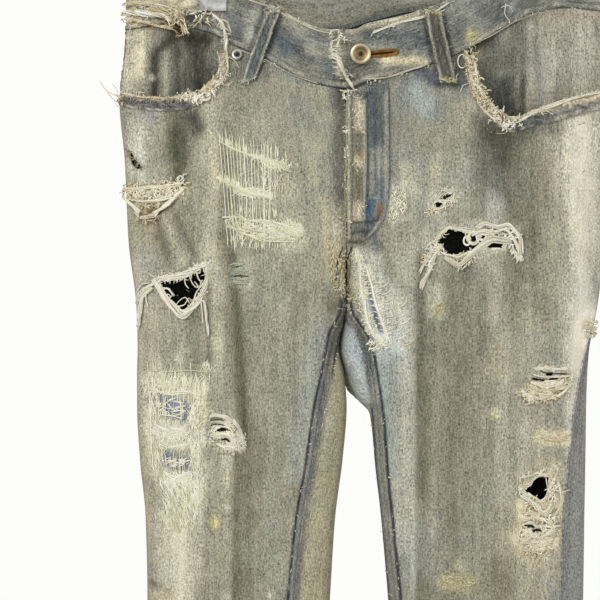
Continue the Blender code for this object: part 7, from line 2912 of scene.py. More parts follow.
DARNED_KNEE = (
    *(Stray(((x, -444 - y), (x + 0.6, -462 - y)), 0.8, CHALK, 0.9) for x, y in
      ((-164, 0), (-160, 2), (-156, 0), (-152, 3), (-148, 1), (-144, 3), (-139, 2), (-135, 4), (-131, 2),
          (-126, 5))),
    Stray(((-160, -466), (-150, -469), (-138, -467)), 0.9, WHITE),
    Stray(((-158, -474), (-148, -475), (-139, -477)), 0.9, WHITE),
    Stray(((-168, -444), (-166, -470), (-165, -500), (-163, -522)), 0.7, WHITE),
    Stray(((-172, -446), (-171, -462)), 0.7, WHITE),
    Stray(((-167, -438), (-150, -439), (-135, -438), (-119, -439)), 0.7, CHALK, 0.8),
    *(Stray(((x, -431), (x + 0.4, -446)), 0.6, CHALK, 0.8) for x
        in (-168, -161, -157, -149, -141, -133, -121.5, -118)),
    Patch(-150, -446, 16, 6, 120, 10, 84, 12), Patch(-148, -452, 18, 6, 140, 9, 100, 30),
    Patch(-129, -452, 5, 10, 70, 10, 80, 20),
    Rope(((-166, -452), (-158, -455), (-150, -457), (-136, -455), (-126, -458)), 8, 1.6, 0.6, WHITE),
    Patch(-163, -470, 4, 16, 70, 10, 96, 14), Patch(-129, -474, 6, 12, 80, 9, 96, 24),
    Patch(-150, -488, 16, 5, 160, 8, 20, 40),
    Rope(((-164, -482), (-152, -486), (-136, -484)), 8, 1.4, 0.6, WHITE),
    Patch(-144, -496, 16, 6, 170, 9, 80, 30),
    Rope(((-160, -496), (-148, -500), (-134, -498)), 8, 1.6, 0.6, WHITE),
    Patch(-159, -510, 4, 14, 60, 10, 100, 14),
    Patch(-129, -508, 5, 14, 70, 10, 100, 16),
    Rope(((-156, -521), (-146, -525), (-132, -521)), 8, 1.4, 0.6, WHITE),
    Patch(-143, -526, 13, 6, 120, 9, 95, 26), Patch(-133, -542, 7, 14, 110, 12, 100, 16),
    Patch(-147, -544, 10, 10, 90, 12, 110, 18),
    Rope(((-128, -520), (-127, -540), (-130, -560)), 6, 1.2, 0.6, WHITE),
    Patch(-140, -560, 10, 6, 50, 10, 105, 20),
    Patch(-168, -452, 4, 8, 40, 9, 70, 30), Patch(-120, -436, 4, 4, 24, 7, 80, 20),
    Ticks(((-160, -468), (-150, -470), (-138, -471)), 22, 0.9),
    Ticks(((-154, -511), (-146, -513), (-136, -514)), 17, 0.9),
    Ticks(((-141, -525), (-135, -526)), 8, 1.2), Patch(-150, -468, 13, 7, 34, 7, 10, 20, WHITE),
    Patch(-146, -512, 11, 5, 24, 7, 10, 20, WHITE),
    Patch(-130, -500, 5, 44, 110, 9, 94, 16, WHITE), Patch(-150, -490, 16, 5, 80, 8, 86, 30, WHITE),
    Patch(-146, -530, 12, 8, 90, 9, 96, 22, WHITE),
)
DARNED_CROTCH = (
    Rope(((1, -341), (4, -353), (5, -366), (7.4, -379), (10.4, -396), (16.4, -409), (25, -417.6)), 12, 1.4,
        0.8, WHITE, 1.4),
    Rope(((8, -352), (13.6, -368), (17, -383), (21.6, -396), (28, -416)), 7, 0.9, 0.8, WHITE, 1.2),
    Knot(6, -374, 2, 26, 60, WHITE, 4, 1.2, 70), Knot(13, -404, 4, 6, 30, WHITE, 4, 1.2, 60),
    Knot(23, -416, 5, 3, 26, WHITE, 5, 1.2),
    Patch(4.4, -356, 3, 12, 120, 5, 60, 30, WHITE), Patch(7, -376, 3, 10, 90, 5, 40, 30, WHITE),
    Patch(12, -400, 3.4, 9, 90, 5, 40, 30, WHITE),
    Ticks(((9, -362), (12, -372), (15, -384)), 1.2, 0.8, WHITE, 80),
    Patch(2, -346, 5, 4, 40, 5, 90, 50, WHITE),
    *(Stray(((4 + 0.36 * k, -360 - k), (9 + 0.36 * k, -361 - k), (15 + 0.36 * k, -358.6 - k)), 0.9, WHITE)
        for k in range(0, 48, 5)),
    *(Stray(((19 + 0.33 * k, -371 - k), (24 + 0.33 * k, -369.4 - k), (28 + 0.3 * k, -366 - k)), 0.5, WHITE,
        0.9) for k in range(0, 44, 6)),
    *(Stray(((33 + 0.2 * k, -388 - k), (38 + 0.2 * k, -386 - k), (42 + 0.2 * k, -382 - k)), 0.5, CREAM, 0.8)
        for k in (0, 7, 13, 21, 30)),
    Fringe(((12, -362), (18, -384), (28, -412)), 0.5, 20, 30, (2, 5), WHITE, 0.6),
    Patch(16, -418, 8, 4, 30, 6, 40, 30, WHITE),
)
RIPS_RIGHT = (
    Lip(Garment.great_rip, 1.0, (1.5, 4.5)),
    Rope(((-163, -364), (-158, -371), (-153, -380), (-146.5, -388.5), (-139, -394), (-131, -389)), 11, 1.7,
        2.0, CORD, 1.2),
    Rope(((-139, -393), (-130.5, -387.5), (-125.5, -381), (-121, -368), (-118, -350)), 10, 1.6, 2.0, CORD,
        1.2),
    Rope(((-158, -371), (-151, -372), (-146, -378)), 3, 0.5, 1.4, CORD),
    Rope(((-131, -388), (-128, -376), (-121, -367)), 3, 0.5, 2.2),
    Rope(((-160, -364), (-147, -362.5), (-135, -358.5), (-119, -350)), 9, 1.6, 1.6, CORD),
    Knot(-148, -362, 8, 2, 26, CORD, 6, 1.6), Knot(-130, -356, 7, 2.4, 30, CORD, 6, 1.6, 20),
    Rope(((-160, -367), (-167, -370), (-173, -375), (-176, -384)), 6, 1.0, 2.0, CORD, 1.1),
    Rope(((-163, -371), (-170, -376), (-173, -386), (-174.5, -403)), 9, 1.5, 2.0, CORD, 1.3),
    Stray(((-168, -371), (-169, -380), (-167, -386)), 1.6, CORD),
    Stray(((-165, -367), (-172, -368), (-177, -376)), 1.6, CORD),
    Rope(((-122, -381), (-120.5, -392), (-118, -410)), 5, 0.9, 1.8, CORD),
    Stray(((-124, -380), (-122.5, -400)), 1.4, CORD),
    Stray(((-146, -388), (-141, -381), (-137, -379), (-133, -384)), 1.6, CORD),
    Stray(((-134, -358), (-132, -366), (-127, -371), (-124, -369)), 1.6, CORD),
    Stray(((-128, -356), (-126, -364), (-122, -368)), 1.6, CORD),
    Stray(((-138, -360), (-137, -368), (-134, -372)), 1.6, CORD),
    Stray(((-149, -383), (-143, -386), (-138, -385), (-134, -379)), 1.4, CHALK, 1.4),
    Knot(-122, -352, 3, 4, 12, CORD, 6, 1.6), Knot(-158, -366, 4, 2.4, 12, CORD, 6, 1.6),
    Knot(-123, -374, 2.4, 6, 12, CORD, 6, 1.8),
    # The torn flap over the hip
    Rope(((-189, -293), (-184, -299.4), (-178, -305.6), (-173, -310.6)), 9, 1.2, 2.6, CREAM, 1.2),
    Rope(((-138, -291), (-146, -298), (-154, -305.4), (-163, -312)), 13, 1.4, 2.6, CREAM, 1.4),
    Rope(((-188, -290), (-178, -292), (-166, -291), (-152, -290), (-140, -288)), 7, 1.6, 2.0, CREAM, 1.1),
    Rope(((-184, -297.6), (-174, -300.6), (-160, -300.6), (-148, -296.4)), 6, 1.4, 2.0, CREAM, 1.0),
    Knot(-178, -294, 8, 3.4, 44, CREAM, 7, 1.6, 0), Knot(-160, -294, 10, 3.4, 54, CREAM, 7, 1.6, 0),
    Knot(-145, -292, 6, 4, 30, CREAM, 6, 1.8), Knot(-182, -291, 5, 3, 24, SAND, 6, 1.6),
    Knot(-152, -290, 7, 2.4, 26, SAND, 6, 1.6),
    Knot(-167, -302, 9, 2.4, 30, SAND, 7, 1.2, 0), Knot(-167, -312, 5, 2.2, 16, BROWN, 6, 1.6),
    Rope(((-178, -309.4), (-171, -313.4), (-161, -312.4)), 7, 1.1, 2.0, SAND),
    Rope(((-175, -312), (-167, -315.6), (-160, -313.4)), 4, 0.6, 1.8, BROWN),
    # Near-black threads under the flap's two rolled edges: painted shadow
    Stray(((-184, -301.4), (-178, -307.6), (-174, -311.4)), 1.0, SHADE_YARN, 1.1),
    Stray(((-148, -302), (-155, -308), (-161, -312.6)), 1.0, SHADE_YARN, 1.1),
    Ring(-141, -284, 2.8, 3.4, 3, CREAM, 2.0), Knot(-139, -285, 2.6, 4, 10, CREAM, 5, 2.0),
    Fringe(((-188, -290), (-170, -288), (-142, -286)), 0.8, 90, 40, (1.5, 5), CREAM, 1.2),
    Fringe(((-176, -312), (-166, -316), (-158, -313)), 0.8, 270, 30, (2, 6), SAND, 1.6),
    # Small worn places
    # Near-black threads in the small holes and slits here: painted shade in the openings
    Rope(((-98, -361.6), (-92, -361.4), (-86.4, -362.4)), 4, 0.35, 1.1, SHADE_YARN),
    Stray(((-101, -354.6), (-97, -354.2), (-93, -354)), 0.5, SHADE_YARN, 0.8),
    Rope(((-101.6, -353), (-97, -351.6), (-91, -352.6)), 5, 0.6, 0.8, SAGE, 1.4),
    Rope(((-100.6, -358.4), (-94, -357), (-87, -358.4)), 6, 0.8, 1.0, SAGE, 1.4),
    Rope(((-98.6, -366), (-91, -367), (-85.4, -364.6)), 7, 1.1, 1.0, SAGE, 1.4),
    Patch(-93, -359, 8, 8, 60, 5, 10, 30, SAGE, 0.6),
    # Near-black ropes in the holes: painted shade in the openings
    Rope(((-113.4, -488.4), (-110.6, -486), (-107, -485), (-103.4, -485.6), (-100.4, -487.6)), 8, 0.8, 1.2,
        SHADE_YARN),
    Rope(((-107.4, -493.4), (-104.4, -493), (-101, -495.4)), 8, 0.8, 2.6, SHADE_YARN),
    Lip(Garment.right_holes[1], 0.8, (1, 2.4), CHALK, 0.1, 1.4),
    Lip(Garment.right_holes[2], 0.8, (1, 2.4), CHALK, 0.1, 1.2),
    Patch(-107, -481, 9, 3, 50, 6, 4, 16, CREAM, 1.0), Patch(-107, -490.6, 8, 2, 60, 6, 4, 16, CREAM, 1.2),
    Patch(-98, -494, 6, 7, 90, 6, 300, 20, CREAM, 1.2),
    Knot(-104, -498, 8, 2.4, 20, CREAM, 5, 1.4), Knot(-115, -490, 3, 8, 16, CREAM, 5, 1.0),
    # Near-black threads drawn as thin slits: painted shade in the openings
    Stray(((-116.4, -478.4), (-111, -477), (-105.3, -478)), 2.0, SHADE_YARN, 1.2),
    Stray(((-116, -482.2), (-111, -481), (-105, -482.2)), 2.0, SHADE_YARN, 1.2),
    Rope(((-118, -475.4), (-112, -473.6), (-104, -475), (-98.5, -478.4)), 7, 1.1, 1.4, CORD),
    Rope(((-117, -480.2), (-111, -479), (-104, -480)), 4, 0.4, 1.2, CORD),
    Rope(((-116, -484.4), (-112, -483.2), (-104, -482.8)), 3, 0.3, 1.2, CORD),
    Rope(((-117, -491.4), (-111, -490.4), (-105, -489.6), (-99, -490.8)), 5, 0.7, 1.5, CORD),
    Rope(((-112, -497.8), (-105, -499.6), (-98, -500), (-90, -502)), 8, 1.1, 1.4, CORD),
    Rope(((-99, -477), (-95.4, -484.5), (-92.6, -492), (-89.4, -500)), 10, 1.5, 1.6, CORD),
    Knot(-94, -494, 4, 5, 30, CORD, 6, 1.4, 300),
    Knot(-117, -487, 3, 5, 18, COTTON, 6, 1.0), Knot(-112, -495, 3, 2.6, 12, COTTON, 5, 1.0),
    Knot(-97, -486, 2.6, 4, 12, COTTON, 5, 1.2),
    Fringe(((-112, -498), (-96, -503)), 1.0, 270, 40, (2, 5), CHALK, 1.0),
    Fringe(((-187, -259), (-180, -266), (-173, -275)), 0.7, 60, 80, (0.8, 2.4), BROWN, 0.7),
    # Near-black thread in the hip tear: painted shade in the opening
    Stray(((-188, -257), (-184, -259.4), (-181, -260)), 0.8, SHADE_YARN, 0.8),
    Stray(((-174, -400), (-176, -406)), 1.2, CORD),
)
RIPS_LEFT = (
    Lip(Garment.thigh_rip, 0.9, (1.5, 4.0)),
    Rope(((58, -338), (66, -331), (76, -322), (84, -323), (94, -325)), 5, 0.9, 1.6, COTTON, 1.3),
    Rope(((97, -323), (104, -319), (114, -321.5), (123, -319.5), (129.5, -325), (133.5, -333), (134, -350)),
        10, 1.5, 2.2, CORD, 1.2),
    Rope(((94, -330), (102, -325), (112, -326), (120, -324), (128, -331), (136, -350)), 9, 1.3, 2.0, CORD,
        1.1),
    Rope(((72, -346), (83.5, -353), (91, -347), (98, -341), (112.5, -332), (127, -333)), 12, 1.9, 2.0, CORD,
        1.2),
    Stray(((96, -326), (99, -334), (104, -338), (110, -335)), 1.2, CORD),
    Stray(((88, -325), (90, -333), (95, -337)), 1.0, CORD),
    Stray(((106, -328), (103, -334), (107, -339)), 1.0, CORD), Ring(103, -329, 4, 3.4, 6, CORD, 1.2),
    Ring(95, -331, 4, 4.4, 9, CORD, 1.2), Ring(90, -333, 3, 4, 4, CORD, 1.0),
    Rope(((70, -336), (64, -345), (59, -357), (53, -372)), 11, 1.7, 2.0, CORD, 1.2),
    Rope(((64, -338), (59, -347), (54, -355), (51, -359)), 4, 0.9, 1.6, CORD, 1.2),
    Knot(64, -339, 5, 4, 44, CORD, 6, 1.8), Knot(60, -346, 3, 6, 24, CORD, 7, 1.8, 250),
    Knot(58, -346, 4, 5, 14, GREENISH, 7, 1.6), Knot(84, -350, 6, 3, 14, COTTON, 6, 1.4),
    Knot(124, -329, 7, 5, 24, CORD, 8, 1.8),
    Knot(112, -325, 8, 3, 14, CORD, 7, 1.8),
    Fringe(((74, -348), (86, -353), (98, -343)), 1.0, 265, 30, (2, 6), CHALK, 1.4),
    Fringe(((124, -334), (132, -344)), 1.2, 280, 25, (4, 10), CORD, 1.4),
    # Knee
    Patch(147, -574, 12, 9, 150, 6, 8, 30, CREAM, 1.3), Patch(146, -553, 10, 3, 60, 6, 10, 30, CREAM, 1.5),
    Knot(147, -577, 11, 7, 40, CREAM, 6, 1.6),
    Knot(160, -536, 4, 9, 34, CREAM, 6, 1.8, 100), Knot(139, -546, 6, 4, 26, CREAM, 6, 1.6, 320),
    Knot(150, -557, 10, 3, 30, CREAM, 6, 1.6, 0),
    # Near-black ropes in the knee's slits: painted shade in the openings
    Rope(((136, -562.6), (140, -563.2), (144, -566)), 6, 0.7, 2.6, SHADE_YARN),
    Rope(((142, -568), (146, -568.2), (151, -569.2)), 6, 0.7, 2.6, SHADE_YARN),
    Rope(((138, -546), (145, -550.6), (152, -551)), 4, 0.8, 2.4, BROWN),
    Lip(Garment.knee_rip, 0.7, (1.2, 3.0), CREAM, 0.1, 1.2),
    Stray(((155, -525), (156, -531), (158, -537)), 1.0, CREAM),
    Rope(((133.6, -539), (141, -544.2), (147, -549.6), (153, -553), (160.6, -546.4)), 10, 1.4, 2.0, CREAM,
        1.1),
    Rope(((154.6, -544), (156.8, -536.6), (160.4, -529), (164, -521.6)), 6, 0.8, 2.1, CREAM),
    Rope(((163.8, -527), (166.4, -535), (167.6, -543), (164, -552), (160, -558)), 7, 1.1, 1.6, CREAM),
    Rope(((133, -525), (139, -523.4), (147, -521.4), (155, -521.8), (161, -519.6)), 4, 0.8, 1.2),
    Fringe(((133, -527), (140, -524), (152, -521.6), (160, -520)), 1.0, 90, 30, (2, 5), CREAM, 1.0),
    Rope(((131.6, -531.4), (136, -537.4), (142, -541.6)), 5, 0.8, 1.6, CREAM),
    Knot(150, -555, 8, 2.2, 26, SAND, 6, 1.4, 10), Knot(134, -534, 2.6, 5, 14, CREAM, 5, 1.4),
    Rope(((160, -534), (167, -537), (174, -535)), 3, 0.6, 1.6, SAND),
    Lip(Garment.left_holes[4], 0.6, (1, 2.2), CREAM, 0.1, 1.2),
    Rope(((133.5, -559), (141, -557.4), (150, -558.6), (160.6, -562)), 7, 1.1, 1.5, CREAM),
    Rope(((132, -564), (135, -567.4), (140, -568.4), (142, -572), (150, -573), (156, -570.5), (162.6, -567)),
        7, 1.0, 1.6, CREAM),
    Rope(((146.6, -563.8), (152, -564), (161, -565.6)), 5, 0.8, 1.6, CREAM),
    Rope(((153, -568), (162, -568.6)), 4, 0.8, 1.4, SAND),
    Rope(((133, -576), (142, -577.6), (152, -578), (160.6, -574)), 7, 1.2, 1.5, CREAM),
    Rope(((136, -582), (146, -584), (156.6, -582.4)), 7, 1.2, 1.4, CREAM),
    Knot(157, -564, 4, 3, 22, CREAM, 6, 1.4), Knot(134, -571, 3, 5, 22, CREAM, 6, 1.3),
    Knot(147, -580.6, 9, 2.4, 34, SAND, 6, 1.3),
    Knot(152, -587, 5, 2.6, 16, CREAM, 6, 1.2), Lip(Garment.left_holes[5], 0.6, (1, 2.2), CREAM, 0.1, 1.0),
    Lip(Garment.left_holes[6], 0.6, (1, 2.2), CREAM, 0.1, 1.0),
    Fringe(((134, -580), (146, -588), (158, -583)), 1.2, 265, 30, (2, 6), SAND, 1.2, 2.0),
    # Above the knee
    Patch(156, -451, 14, 4, 150, 7, 4, 16, CREAM, 1.1), Patch(148, -458, 13, 3, 90, 7, 4, 16, CREAM, 0.8),
    Patch(158, -436.6, 13, 1.6, 50, 6, 2, 10, CREAM, 0.9),
    Knot(150, -457, 13, 2.6, 50, CREAM, 6, 1.3, 350), Knot(170, -450, 3, 6, 24, CREAM, 6, 1.6, 60),
    # Near-black ropes in the slits above the knee: painted shade in the openings
    Rope(((149, -437.4), (152, -439.4), (158, -440.8), (166, -441), (173, -441)), 3, 0.3, 1.3, SHADE_YARN),
    Rope(((142.6, -444.4), (149, -446), (156, -446.8), (164.6, -444.8)), 8, 0.8, 1.3, SHADE_YARN),
    Rope(((147, -434.6), (152, -436), (160, -437), (172, -437.4)), 3, 0.5, 1.2, CREAM),
    Rope(((143, -441.4), (154, -443.6), (163, -443.6), (173, -442.4), (176, -439.6)), 4, 0.45, 1.7, CREAM),
    Rope(((141.4, -448), (149, -450.4), (156, -451.2), (164, -449.4), (170, -445.6)), 6, 0.8, 1.6, CREAM),
    Rope(((140, -452), (150, -454.2), (160, -453.8), (168, -450), (174.4, -443.5)), 6, 0.9, 1.6, SAND),
    Rope(((176, -440.6), (174, -447), (169.5, -453.4), (162.6, -459)), 6, 0.9, 2.0, CREAM, 1.1),
    Rope(((137, -454), (144.4, -457), (152, -457.4), (160, -456.2)), 8, 1.4, 1.3, SAND),
    Rope(((133.6, -454.5), (143, -459.6), (155, -461)), 6, 1.2, 1.2, CREAM),
    Stray(((143, -449.6), (152, -452.6), (161, -452), (167, -448.4)), 1.7, BROWN, 1.2),
    Stray(((146, -455.6), (155, -455.8), (163, -453.6)), 1.6, BROWN, 1.2),
    Knot(143, -458, 8, 2.2, 26, CREAM, 7, 1.2, 345), Knot(156, -459.4, 8, 2, 22, SAND, 7, 1.1, 5),
    Fringe(((132, -456), (146, -462), (158, -461)), 1.0, 250, 30, (1.5, 5), SAND, 1.0, 1.2),
    Patch(160, -492.6, 13, 2.4, 70, 7, 6, 20, SAND), Patch(165, -493.4, 8, 2, 44, 6, 4, 20, STRAW),
    Patch(153, -490.6, 6, 3, 16, 5, 60, 40, COTTON),
    # Small holes, and the lump on the outline
    Lip(Garment.left_holes[0], 0.7, (1, 2.6), CHALK, 0.1, 1.2),
    Lip(Garment.left_holes[1], 0.7, (1, 2.6), CHALK, 0.1, 1.2),
    Knot(62, -309, 4, 3, 30, CHALK, 4, 1.2), Knot(78, -300, 4, 4, 30, CHALK, 4, 1.2),
    Knot(74, -293.6, 6, 2, 16, CHALK, 4, 1.2), Knot(73, -304.6, 4, 2, 16, CHALK, 4, 1.2),
    # Near-black rope in the small hole: painted shade in the opening
    Rope(((68, -300.2), (72.4, -298.4), (77.4, -296.2)), 6, 0.5, 1.6, SHADE_YARN),
    Rope(((60, -300), (64, -295.4), (71, -293.2), (80, -293)), 3, 1.4, 0.9, COTTON),
    Knot(79, -301, 3, 3.4, 14, COTTON, 5, 0.9),
    Rope(((59.6, -303), (60.4, -308), (67, -309.6), (76, -305)), 4, 0.9, 0.9, COTTON),
    Knot(61, -309, 3, 2.6, 12, COTTON, 5, 0.9),
    Knot(190, -404, 4, 8, 50, CREAM, 5, 2.6),
    Patch(84, -609, 14, 4, 60, 6, 10, 60, GREENISH), Patch(67, -389, 4, 5, 24, 5, 80, 60, GREENISH),
)


class Frays:
    """Loose threads, darning and stitching, gathered by place."""

    TABLES = {
        "Frays_pocket_right": POCKET_RIGHT, "Frays_pocket_left": POCKET_LEFT,
        "Frays_waist": WAIST, "Frays_fly": FLY,
        "Darning_thigh": DARNED_THIGH, "Darning_knee": DARNED_KNEE, "Darning_crotch": DARNED_CROTCH,
        "Frays_rips_right": RIPS_RIGHT, "Frays_rips_left": RIPS_LEFT,
    }

    def __init__(self, form: Form, garment: Garment) -> None:
        """Keep the form and the cloth.

        Args:
            form: the garment's form.
            garment: its cloth pieces.
        """
        self.form, self.garment = form, garment

    def buttonhole(self, t: Threads) -> None:
        """Work the buttonhole with close stitches round a slit.

        Args:
            t: the bundle.
        """
        (left, left_z), (right, right_z), lift = (13.0, -182.6), (32.5, -180.6), np.array((1.3, 0.9))
        slit = np.stack([np.linspace(left, right, 60), np.linspace(left_z, right_z, 60)], axis=1)
        for k, (x0, z0) in enumerate(slit):
            wide = 3.2 * math.sin(math.pi * (k + 14) / 88) ** 0.5
            for side in (-1, 1):
                reach = wide + 0.25 * float(t.draw.normal())
                ends = np.array((z0 + side * 0.7, z0 + side * reach))
                t.lay(np.array((x0, x0 + 0.2)), ends, lift, ORANGE)
        for k in range(20):
            a = math.radians(-90 + 180 * k / 19)
            for cx, cz, sign in ((right, right_z, 1), (left, left_z, -1)):
                c, s = sign * math.cos(a), math.sin(a)
                ends = np.array((cz + 0.6 * s, cz + 2.7 * s))
                t.lay(np.array((cx + 0.6 * c, cx + 2.7 * c)), ends, lift, ORANGE)
        # Near-black thread along the slit: painted shade in the opening
        for aside in (-0.5, 0.0, 0.5):
            t.lay(slit[::6, 0], slit[::6, 1] + aside, 1.1, SHADE_YARN)

    def loops(self, t: Threads) -> None:
        """Fray the edges of the front belt loops.

        Args:
            t: the bundle.
        """
        for (_, _, top, low, width, _), yarn in zip(BELT_LOOPS, (COTTON, GREENISH)):
            top, low, wide = np.array(top, float), np.array(low, float), width / 2
            run = (low - top) / np.linalg.norm(low - top)
            across = np.array((-run[1], run[0]))
            for side in (-1, 1):
                edge = [tuple(end + across * side * wide) for end in (top, low)]
                inner = [tuple(end + across * side * (wide - 2.4)) for end in (top, low)]
                angle = 0 if side * across[0] > 0 else 180
                t.fringe(edge, 0.22, angle, 50, (1, 2.4), 4.4, GREYISH, 0.4, 0.6)
                t.stitches(inner, GREYISH, 2.4, 1.2, 5.2)
            t.tangle(*low, wide, 1.0, 10, 3.2, yarn, 5)
            t.tangle(*top, wide, 1.2, 10, 4.0, COTTON, 6)
            t.fringe([tuple(low - (wide, 0)), tuple(low + (wide, 0))], 0.6, 270, 30, (1, 3), 2.8, yarn, 0.6)

    def long_threads(self, t: Threads) -> None:
        """Run the warp threads that bridge the darned thigh.

        Args:
            t: the bundle.
        """
        for x in np.arange(-111, -64, 2.9):
            x = float(x) + float(t.draw.normal(0, 0.4))
            top = -246 - 0.22 * (x + 111) + float(t.draw.normal(0, 2))
            low = -337 + float(t.draw.normal(0, 4))
            if t.draw.random() < 0.3:
                low += 36
            z = np.linspace(top, low, 24)
            slant = 0.09 * (-66.0 - x) / 45.0
            place = x + (top - z) * slant + 0.8 * t.wander(24, 1.6)
            t.lay(place, z, 0.5 + 0.25 * np.sin(z * 0.9), CHALK, 1.1)

    def inseams(self) -> None:
        """Stitch the felled inseams and the side seams."""
        t = Threads("Stitching_front", self.form, 61)
        edges = self.form.edges
        for half in Half:
            z = np.linspace(-384, -1108, 80)
            line = edges[half, "inseam"](z)
            for aside in (-3.0, 3.0):
                t.stitches(np.stack([line + aside, z], axis=1), GREYISH, 2.8, 1.1, 0.85, 0.3)
            place = np.linspace(-430, -1108, 70)
            if half is Half.LEFT:
                side = np.stack([edges[half, "side_seam"](place) - 1.5, place], axis=1)
                t.stitches(side, INDIGO, 2.8, 1.0, 0.2, 0.3)
            for _ in range(26):
                z0 = float(t.draw.uniform(-640, -392))
                x0 = float(edges[half, "inseam"](z0)) + float(t.draw.choice((-Garment.FELL, Garment.FELL)))
                angle, length = float(t.draw.uniform(0, 360)), float(t.draw.uniform(1, 3.5))
                t.wisp(x0, z0, angle, length, 0.8, COTTON, 0.5)
        for _ in range(160):
            x0, z0 = float(t.draw.uniform(-165, 185)), float(t.draw.uniform(-640, -235))
            low, high = (float(edges[half, "inseam"](z0)) for half in Half)
            if z0 < -380 and low - 4 < x0 < high + 4:
                continue
            angle, length = 90 + float(t.draw.normal(0, 25)), float(t.draw.uniform(1.0, 3.4))
            t.wisp(x0, z0, angle, length, 0.05, GREYISH, 0.2)
        t.build(self.garment.cotton)

    def back_stitches(self) -> None:
        """Stitch the yokes, the back pockets and the centre back."""
        t = Threads("Stitching_back", self.form, 63)

        long, pitch, worn = 2.8, 3.7, 0.12

        def run(points: Array) -> None:
            """Sew a row of stitches along points that lie on the cloth."""
            length = run_of(points)
            for start in np.arange(0.0, length[-1] - long, pitch):
                if t.draw.random() > worn:
                    at = start + np.array((0.0, long / 2, long))
                    t.add(np.stack([np.interp(at, length, points[:, k]) for k in range(3)], axis=1), STRAW)

        for half in Half:
            grid, normals, levels, _ = self.garment.back_grids[half]
            for row in (1, 3):
                run(grid[row, 2:-2] + normals[row, 2:-2] * 0.4)
            last = int(np.searchsorted(-levels, 386.0))
            run(grid[2:last, -3] + normals[2:last, -3] * 0.4)
            left, right = 0.262 * (grid.shape[1] - 1), 0.87 * (grid.shape[1] - 1)
            for inset in (2.4, 7.0):
                a, b = left + inset * 0.22, right - inset * 0.22
                low, point = -357.0 + inset * 0.4, ((a + b) / 2, -369.0 + inset)
                path = straight([(a, -246.0), (a, low), point, (b, low), (b, -246.0)], 1.0)
                rows = np.interp(-path[:, 1], -levels, np.arange(len(levels)))
                run(bilinear(grid, rows, path[:, 0]) + bilinear(normals, rows, path[:, 0]) * 3.0)
        t.build(self.garment.cotton)

    def build(self) -> None:
        """Make all the thread pieces."""
        for seed, (name, table) in enumerate(self.TABLES.items(), 11):
            t = Threads(name, self.form, seed)
            for item in table:
                item.grow(t)
            if name == "Frays_waist":
                self.buttonhole(t)
                self.loops(t)
            if name == "Darning_thigh":
                self.long_threads(t)
            t.build(self.garment.cotton)
        self.inseams()
        self.back_stitches()


# ---------------------------------------------------------------- metal pieces, light and camera


@dataclass(frozen=True)
class Fittings:
    """The metal pieces, whose shapes are the CAD's own."""

    button_at: Place = (4.3, -182.3)
    rivet_at: Place = (-96.0, -180.5)
    steel: tuple[str, ...] = (
        "hanger_hook", "hanger_bar", "clip_right_jaw_front", "clip_right_jaw_back", "clip_left_jaw_front",
        "clip_left_jaw_back",
    )
    springs: tuple[str, ...] = ("clip_right_spring", "clip_left_spring")

    @staticmethod
    def dress(nodes: dict[str, bpy.types.Object], names: Sequence[str], finish: bpy.types.Material) -> None:
        """Give CAD nodes a finish.

        Args:
            nodes: all the CAD nodes.
            names: the ones to dress.
            finish: their material.
        """
        for name in names:
            mesh = nodes[name].data
            mesh.materials.clear()
            mesh.materials.append(finish)
            LOG.info("%s: %s", name, finish.name)

    def build(self, nodes: dict[str, bpy.types.Object]) -> None:
        """Dress all the metal pieces.

        Args:
            nodes: all the CAD nodes.
        """
        brass = (46, 34, 22), (118, 100, 72), (180, 168, 136)
        nickel = (24, 23, 22), (104, 104, 98), (176, 176, 166)
        for names, finish in (
            (("shank_button",), Cap("Old brass", self.button_at, 2.0, 6.6, 8.5, *brass)),
            (("rivet_right",), Cap("Old nickel", self.rivet_at, 2.0, 3.0, 4.9, *nickel)),
            (self.steel, Metal("Chromed steel", (206, 206, 204), (150, 150, 148), 0.2, 0.8, 60.0)),
            (self.springs, Metal("Spring steel", (120, 120, 122), (80, 80, 82), 0.34, 0.6, 60.0)),
        ):
            self.dress(nodes, names, finish.build())


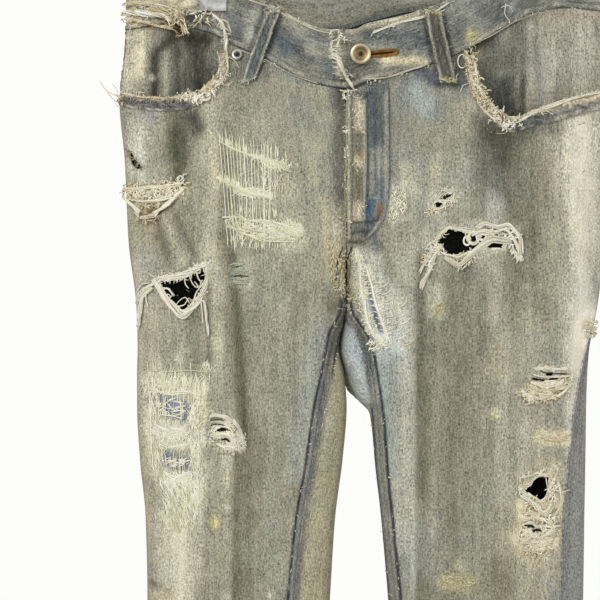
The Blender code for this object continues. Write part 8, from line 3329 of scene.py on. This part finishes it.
@dataclass(frozen=True)
class Studio:
    """Pale floor, soft light and the camera."""

    floor_z: float = -1.32
    distance: float = 1.928
    centre: Place = (-0.0446, -0.381)
    frame_size: float = 0.486
    lens_distance: float = 1.9
    sensor: float = 36.0
    backdrop: Shade = (253, 253, 250)
    ambient: float = 0.42
    key_watts: float = 34.0
    fill_watts: float = 12.0

    def floor(self) -> None:
        """Lay a plain pale floor."""
        bpy.ops.object.select_all(action="DESELECT")
        bpy.ops.mesh.primitive_plane_add(size=8.0, location=(0.0, 0.0, self.floor_z))
        floor = bpy.context.object
        floor.name = "Floor"
        material = bpy.data.materials.new("Pale floor")
        material.use_nodes = True
        shader = material.node_tree.nodes["Principled BSDF"]
        shader.inputs["Base Color"].default_value = (0.8, 0.8, 0.78, 1.0)
        shader.inputs["Roughness"].default_value = 0.9
        floor.data.materials.append(material)

    def world(self) -> None:
        """Light from all round, white where it is seen or mirrored."""
        world = bpy.data.worlds.new("Soft light")
        bpy.context.scene.world = world
        world.use_nodes = True
        tree = world.node_tree
        path = tree.nodes.new("ShaderNodeLightPath")
        seen = tree.nodes.new("ShaderNodeBackground")
        seen.inputs["Color"].default_value = (*linear(self.backdrop), 1.0)
        soft = tree.nodes["Background"]
        soft.inputs["Color"].default_value = (1.0, 0.99, 0.96, 1.0)
        soft.inputs["Strength"].default_value = self.ambient
        mix = tree.nodes.new("ShaderNodeMixShader")
        rays = Finish.reckon(tree, "ADD", path.outputs["Is Camera Ray"], path.outputs["Is Glossy Ray"])
        rays = Finish.reckon(tree, "ADD", rays, path.outputs["Is Transmission Ray"])
        tree.links.new(rays, mix.inputs["Fac"])
        tree.links.new(soft.outputs[0], mix.inputs[1])
        tree.links.new(seen.outputs[0], mix.inputs[2])
        tree.links.new(mix.outputs[0], tree.nodes["World Output"].inputs["Surface"])

    @staticmethod
    def lamp(name: str, place: tuple, aim: tuple, size: float, watts: float) -> None:
        """Add a square soft light.

        Args:
            name: its name.
            place: where it stands.
            aim: what it points at.
            size: its side.
            watts: its power.
        """
        data = bpy.data.lights.new(name, "AREA")
        data.size, data.energy = size, watts
        lamp = bpy.data.objects.new(name, data)
        lamp.location = place
        lamp.rotation_euler = (Vector(aim) - Vector(place)).to_track_quat("-Z", "Y").to_euler()
        bpy.context.collection.objects.link(lamp)

    def camera(self) -> None:
        """Set the camera straight in front of the waist and thighs."""
        data = bpy.data.cameras.new("Camera")
        data.sensor_width = self.sensor
        data.lens = self.sensor * self.lens_distance / self.frame_size
        camera = bpy.data.objects.new("Camera", data)
        camera.location = (self.centre[0], -self.distance, self.centre[1])
        camera.rotation_euler = (math.pi / 2.0, 0.0, 0.0)
        bpy.context.collection.objects.link(camera)
        bpy.context.scene.camera = camera

    def build(self) -> None:
        """Set up the studio."""
        self.floor()
        self.world()
        self.lamp("Key", (-1.25, -1.9, 0.75), (0.0, 0.0, -0.5), 1.3, self.key_watts)
        self.lamp("Fill", (1.6, -1.5, -0.2), (0.0, 0.0, -0.5), 1.6, self.fill_watts)
        self.lamp("Behind", (0.3, 2.2, 0.6), (0.0, 0.0, -0.6), 1.6, self.key_watts * 0.8)
        self.camera()
        bpy.context.scene.view_settings.view_transform = "Standard"


def main() -> None:
    """Build the cloth, the threads, the metal finishes and the studio.
    """
    form = Form()
    garment = Garment(form)
    garment.build()
    Frays(form, garment).build()
    Fittings().build(frame["nodes"])
    Studio().build()


if __name__ == "__main__":
    main()
